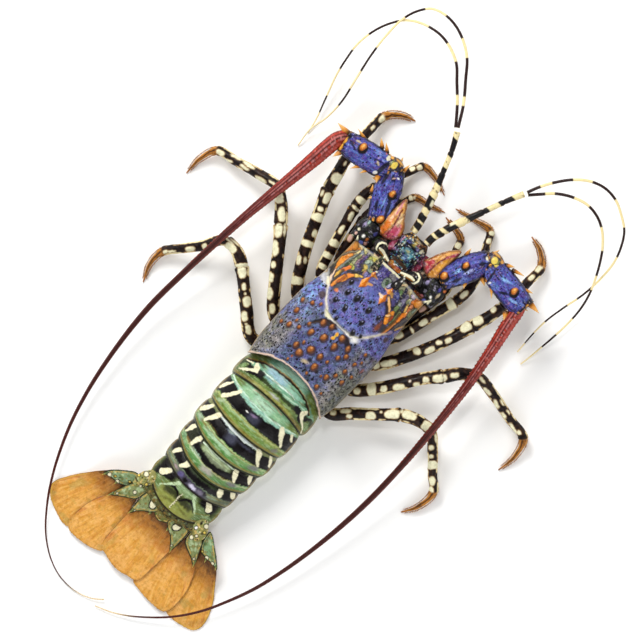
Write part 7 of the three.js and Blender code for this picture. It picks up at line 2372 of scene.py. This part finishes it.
# %% Stalks of the blades, bridge and small spines
KNUCKLE = [(20, -146.5, 20, 4.2), (24.5, -150.5, 19.4, 6.0), (28, -155, 18, 6.2),
    (30.5, -159.5, 16.5, 4.4), (31.5, -162.5, 15.4, 2.6)]
KNUCKLE_GEMS = [("cream", -30, -151.5, 3.4), ("lemon", -24.6, -157, 2.0), ("cream", 29.4, -149.6, 3.4),
    ("white", 24.4, -155.8, 2.2), ("lemon", 32, -154, 1.8), ("lemon", -33.6, -156, 1.6),
    ("cream", -27, -161, 1.8), ("cream", 29, -160, 1.6)]
for name, side in SIDES.items():
    knuckle = tube(f"tail_knuckle_{name}", [(side * x, y, z, r) for x, y, z, r in KNUCKLE], columns=72,
        walls=70)
    at = points_of(knuckle)
    raise_by(knuckle, 0.45 * cloud(at, 2.4))
    coat = Coat(knuckle, (140, 138, 76), 0.4)
    for haze in [((160, 176, 120), 2.6, 0.8, 1, 0.1), ((206, 178, 108), 2.0, 0.85, 1, 0.1, 41),
        ("ink", 2.2, 0.95, 1, 0.22, 21), ("cream", 1.3, 0.8, 1, 0.5, 61)]:
        coat.clouds(*haze)
    for dot in KNUCKLE_GEMS:
        coat.blob("ink", *dot[1:3], dot[3] + 1.2)
        coat.blob(*dot)
    coat.done()
    dress(knuckle, "ring", "ring_green", f"tail_knuckle_{name}")
FAN_ROOT = [(-24, -154.6, 16, 6), (-12, -157, 18, 6.8), (0, -158, 18.6, 7), (12, -157, 18, 6.8),
    (24, -154.6, 16, 6)]
root = tube("tail_fan_root", FAN_ROOT, columns=60, walls=80)
raise_by(root, 0.4 * cloud(points_of(root), 2.4))
coat = Coat(root, (84, 84, 44), 0.4)
for haze in [("ink", 2.4, 0.9, 1, 0.0), (GOLD, 1.6, 0.9, 1, 0.15, 21),
    ((160, 176, 130), 1.8, 0.8, 1, 0.3, 41)]:
    coat.clouds(*haze)
coat.done()
dress(root, "ring", "ring_green", "tail_ring_6")

# Small spines at the tips of the leaves: root and tip from above, for each layer of the fan.
FAN_SPINES = {"telson": [(-18.8, -177, -20.2, -183), (21.2, -177, 22.8, -183), (-8, -170, -8.4, -173),
        (9.6, -170, 10, -173)], "inner": [(-38.4, -178, -40.6, -184), (41, -173.6, 43, -179.6)],
    "outer": [(-52, -171, -54, -174.6), (55, -166, 57, -169.4), (-42, -170.6, -42.8, -173.6),
        (46, -167, 47, -170.4)]}
rows = [((x, y, fan_rise(y) + LAYER_Z[layer] + 1.0), (tx, ty, fan_rise(ty) + LAYER_Z[layer] + 1.8), 0.9)
        for layer, places in FAN_SPINES.items() for x, y, tx, ty in places]
spikes = cones("fan_spines", rows, sides=8, cuts=2)
paint_thorns(spikes, [(0, "moss"), (0.5, "olive"), (1, "lemon")])
dress(spikes, "horn", "fan_tan", "telson")
print("fan done")

# %% [markdown]
# ## Sizes
# The boxes of the fixed frame and of the looks are printed, and the count of triangles.

# %% Sizes
visual_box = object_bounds()
plain = [[list(map(float, corner)) for corner in box] for box in (cad_box, visual_box)]
for label, box in zip(("frame", "looks"), plain):
    print(label, [[round(v / MM, 1) for v in corner] for corner in box])
meshes = [thing.data for thing in bpy.context.scene.objects if thing.type == "MESH"]
print("triangles:", sum(len(face.vertices) - 2 for mesh in meshes for face in mesh.polygons))
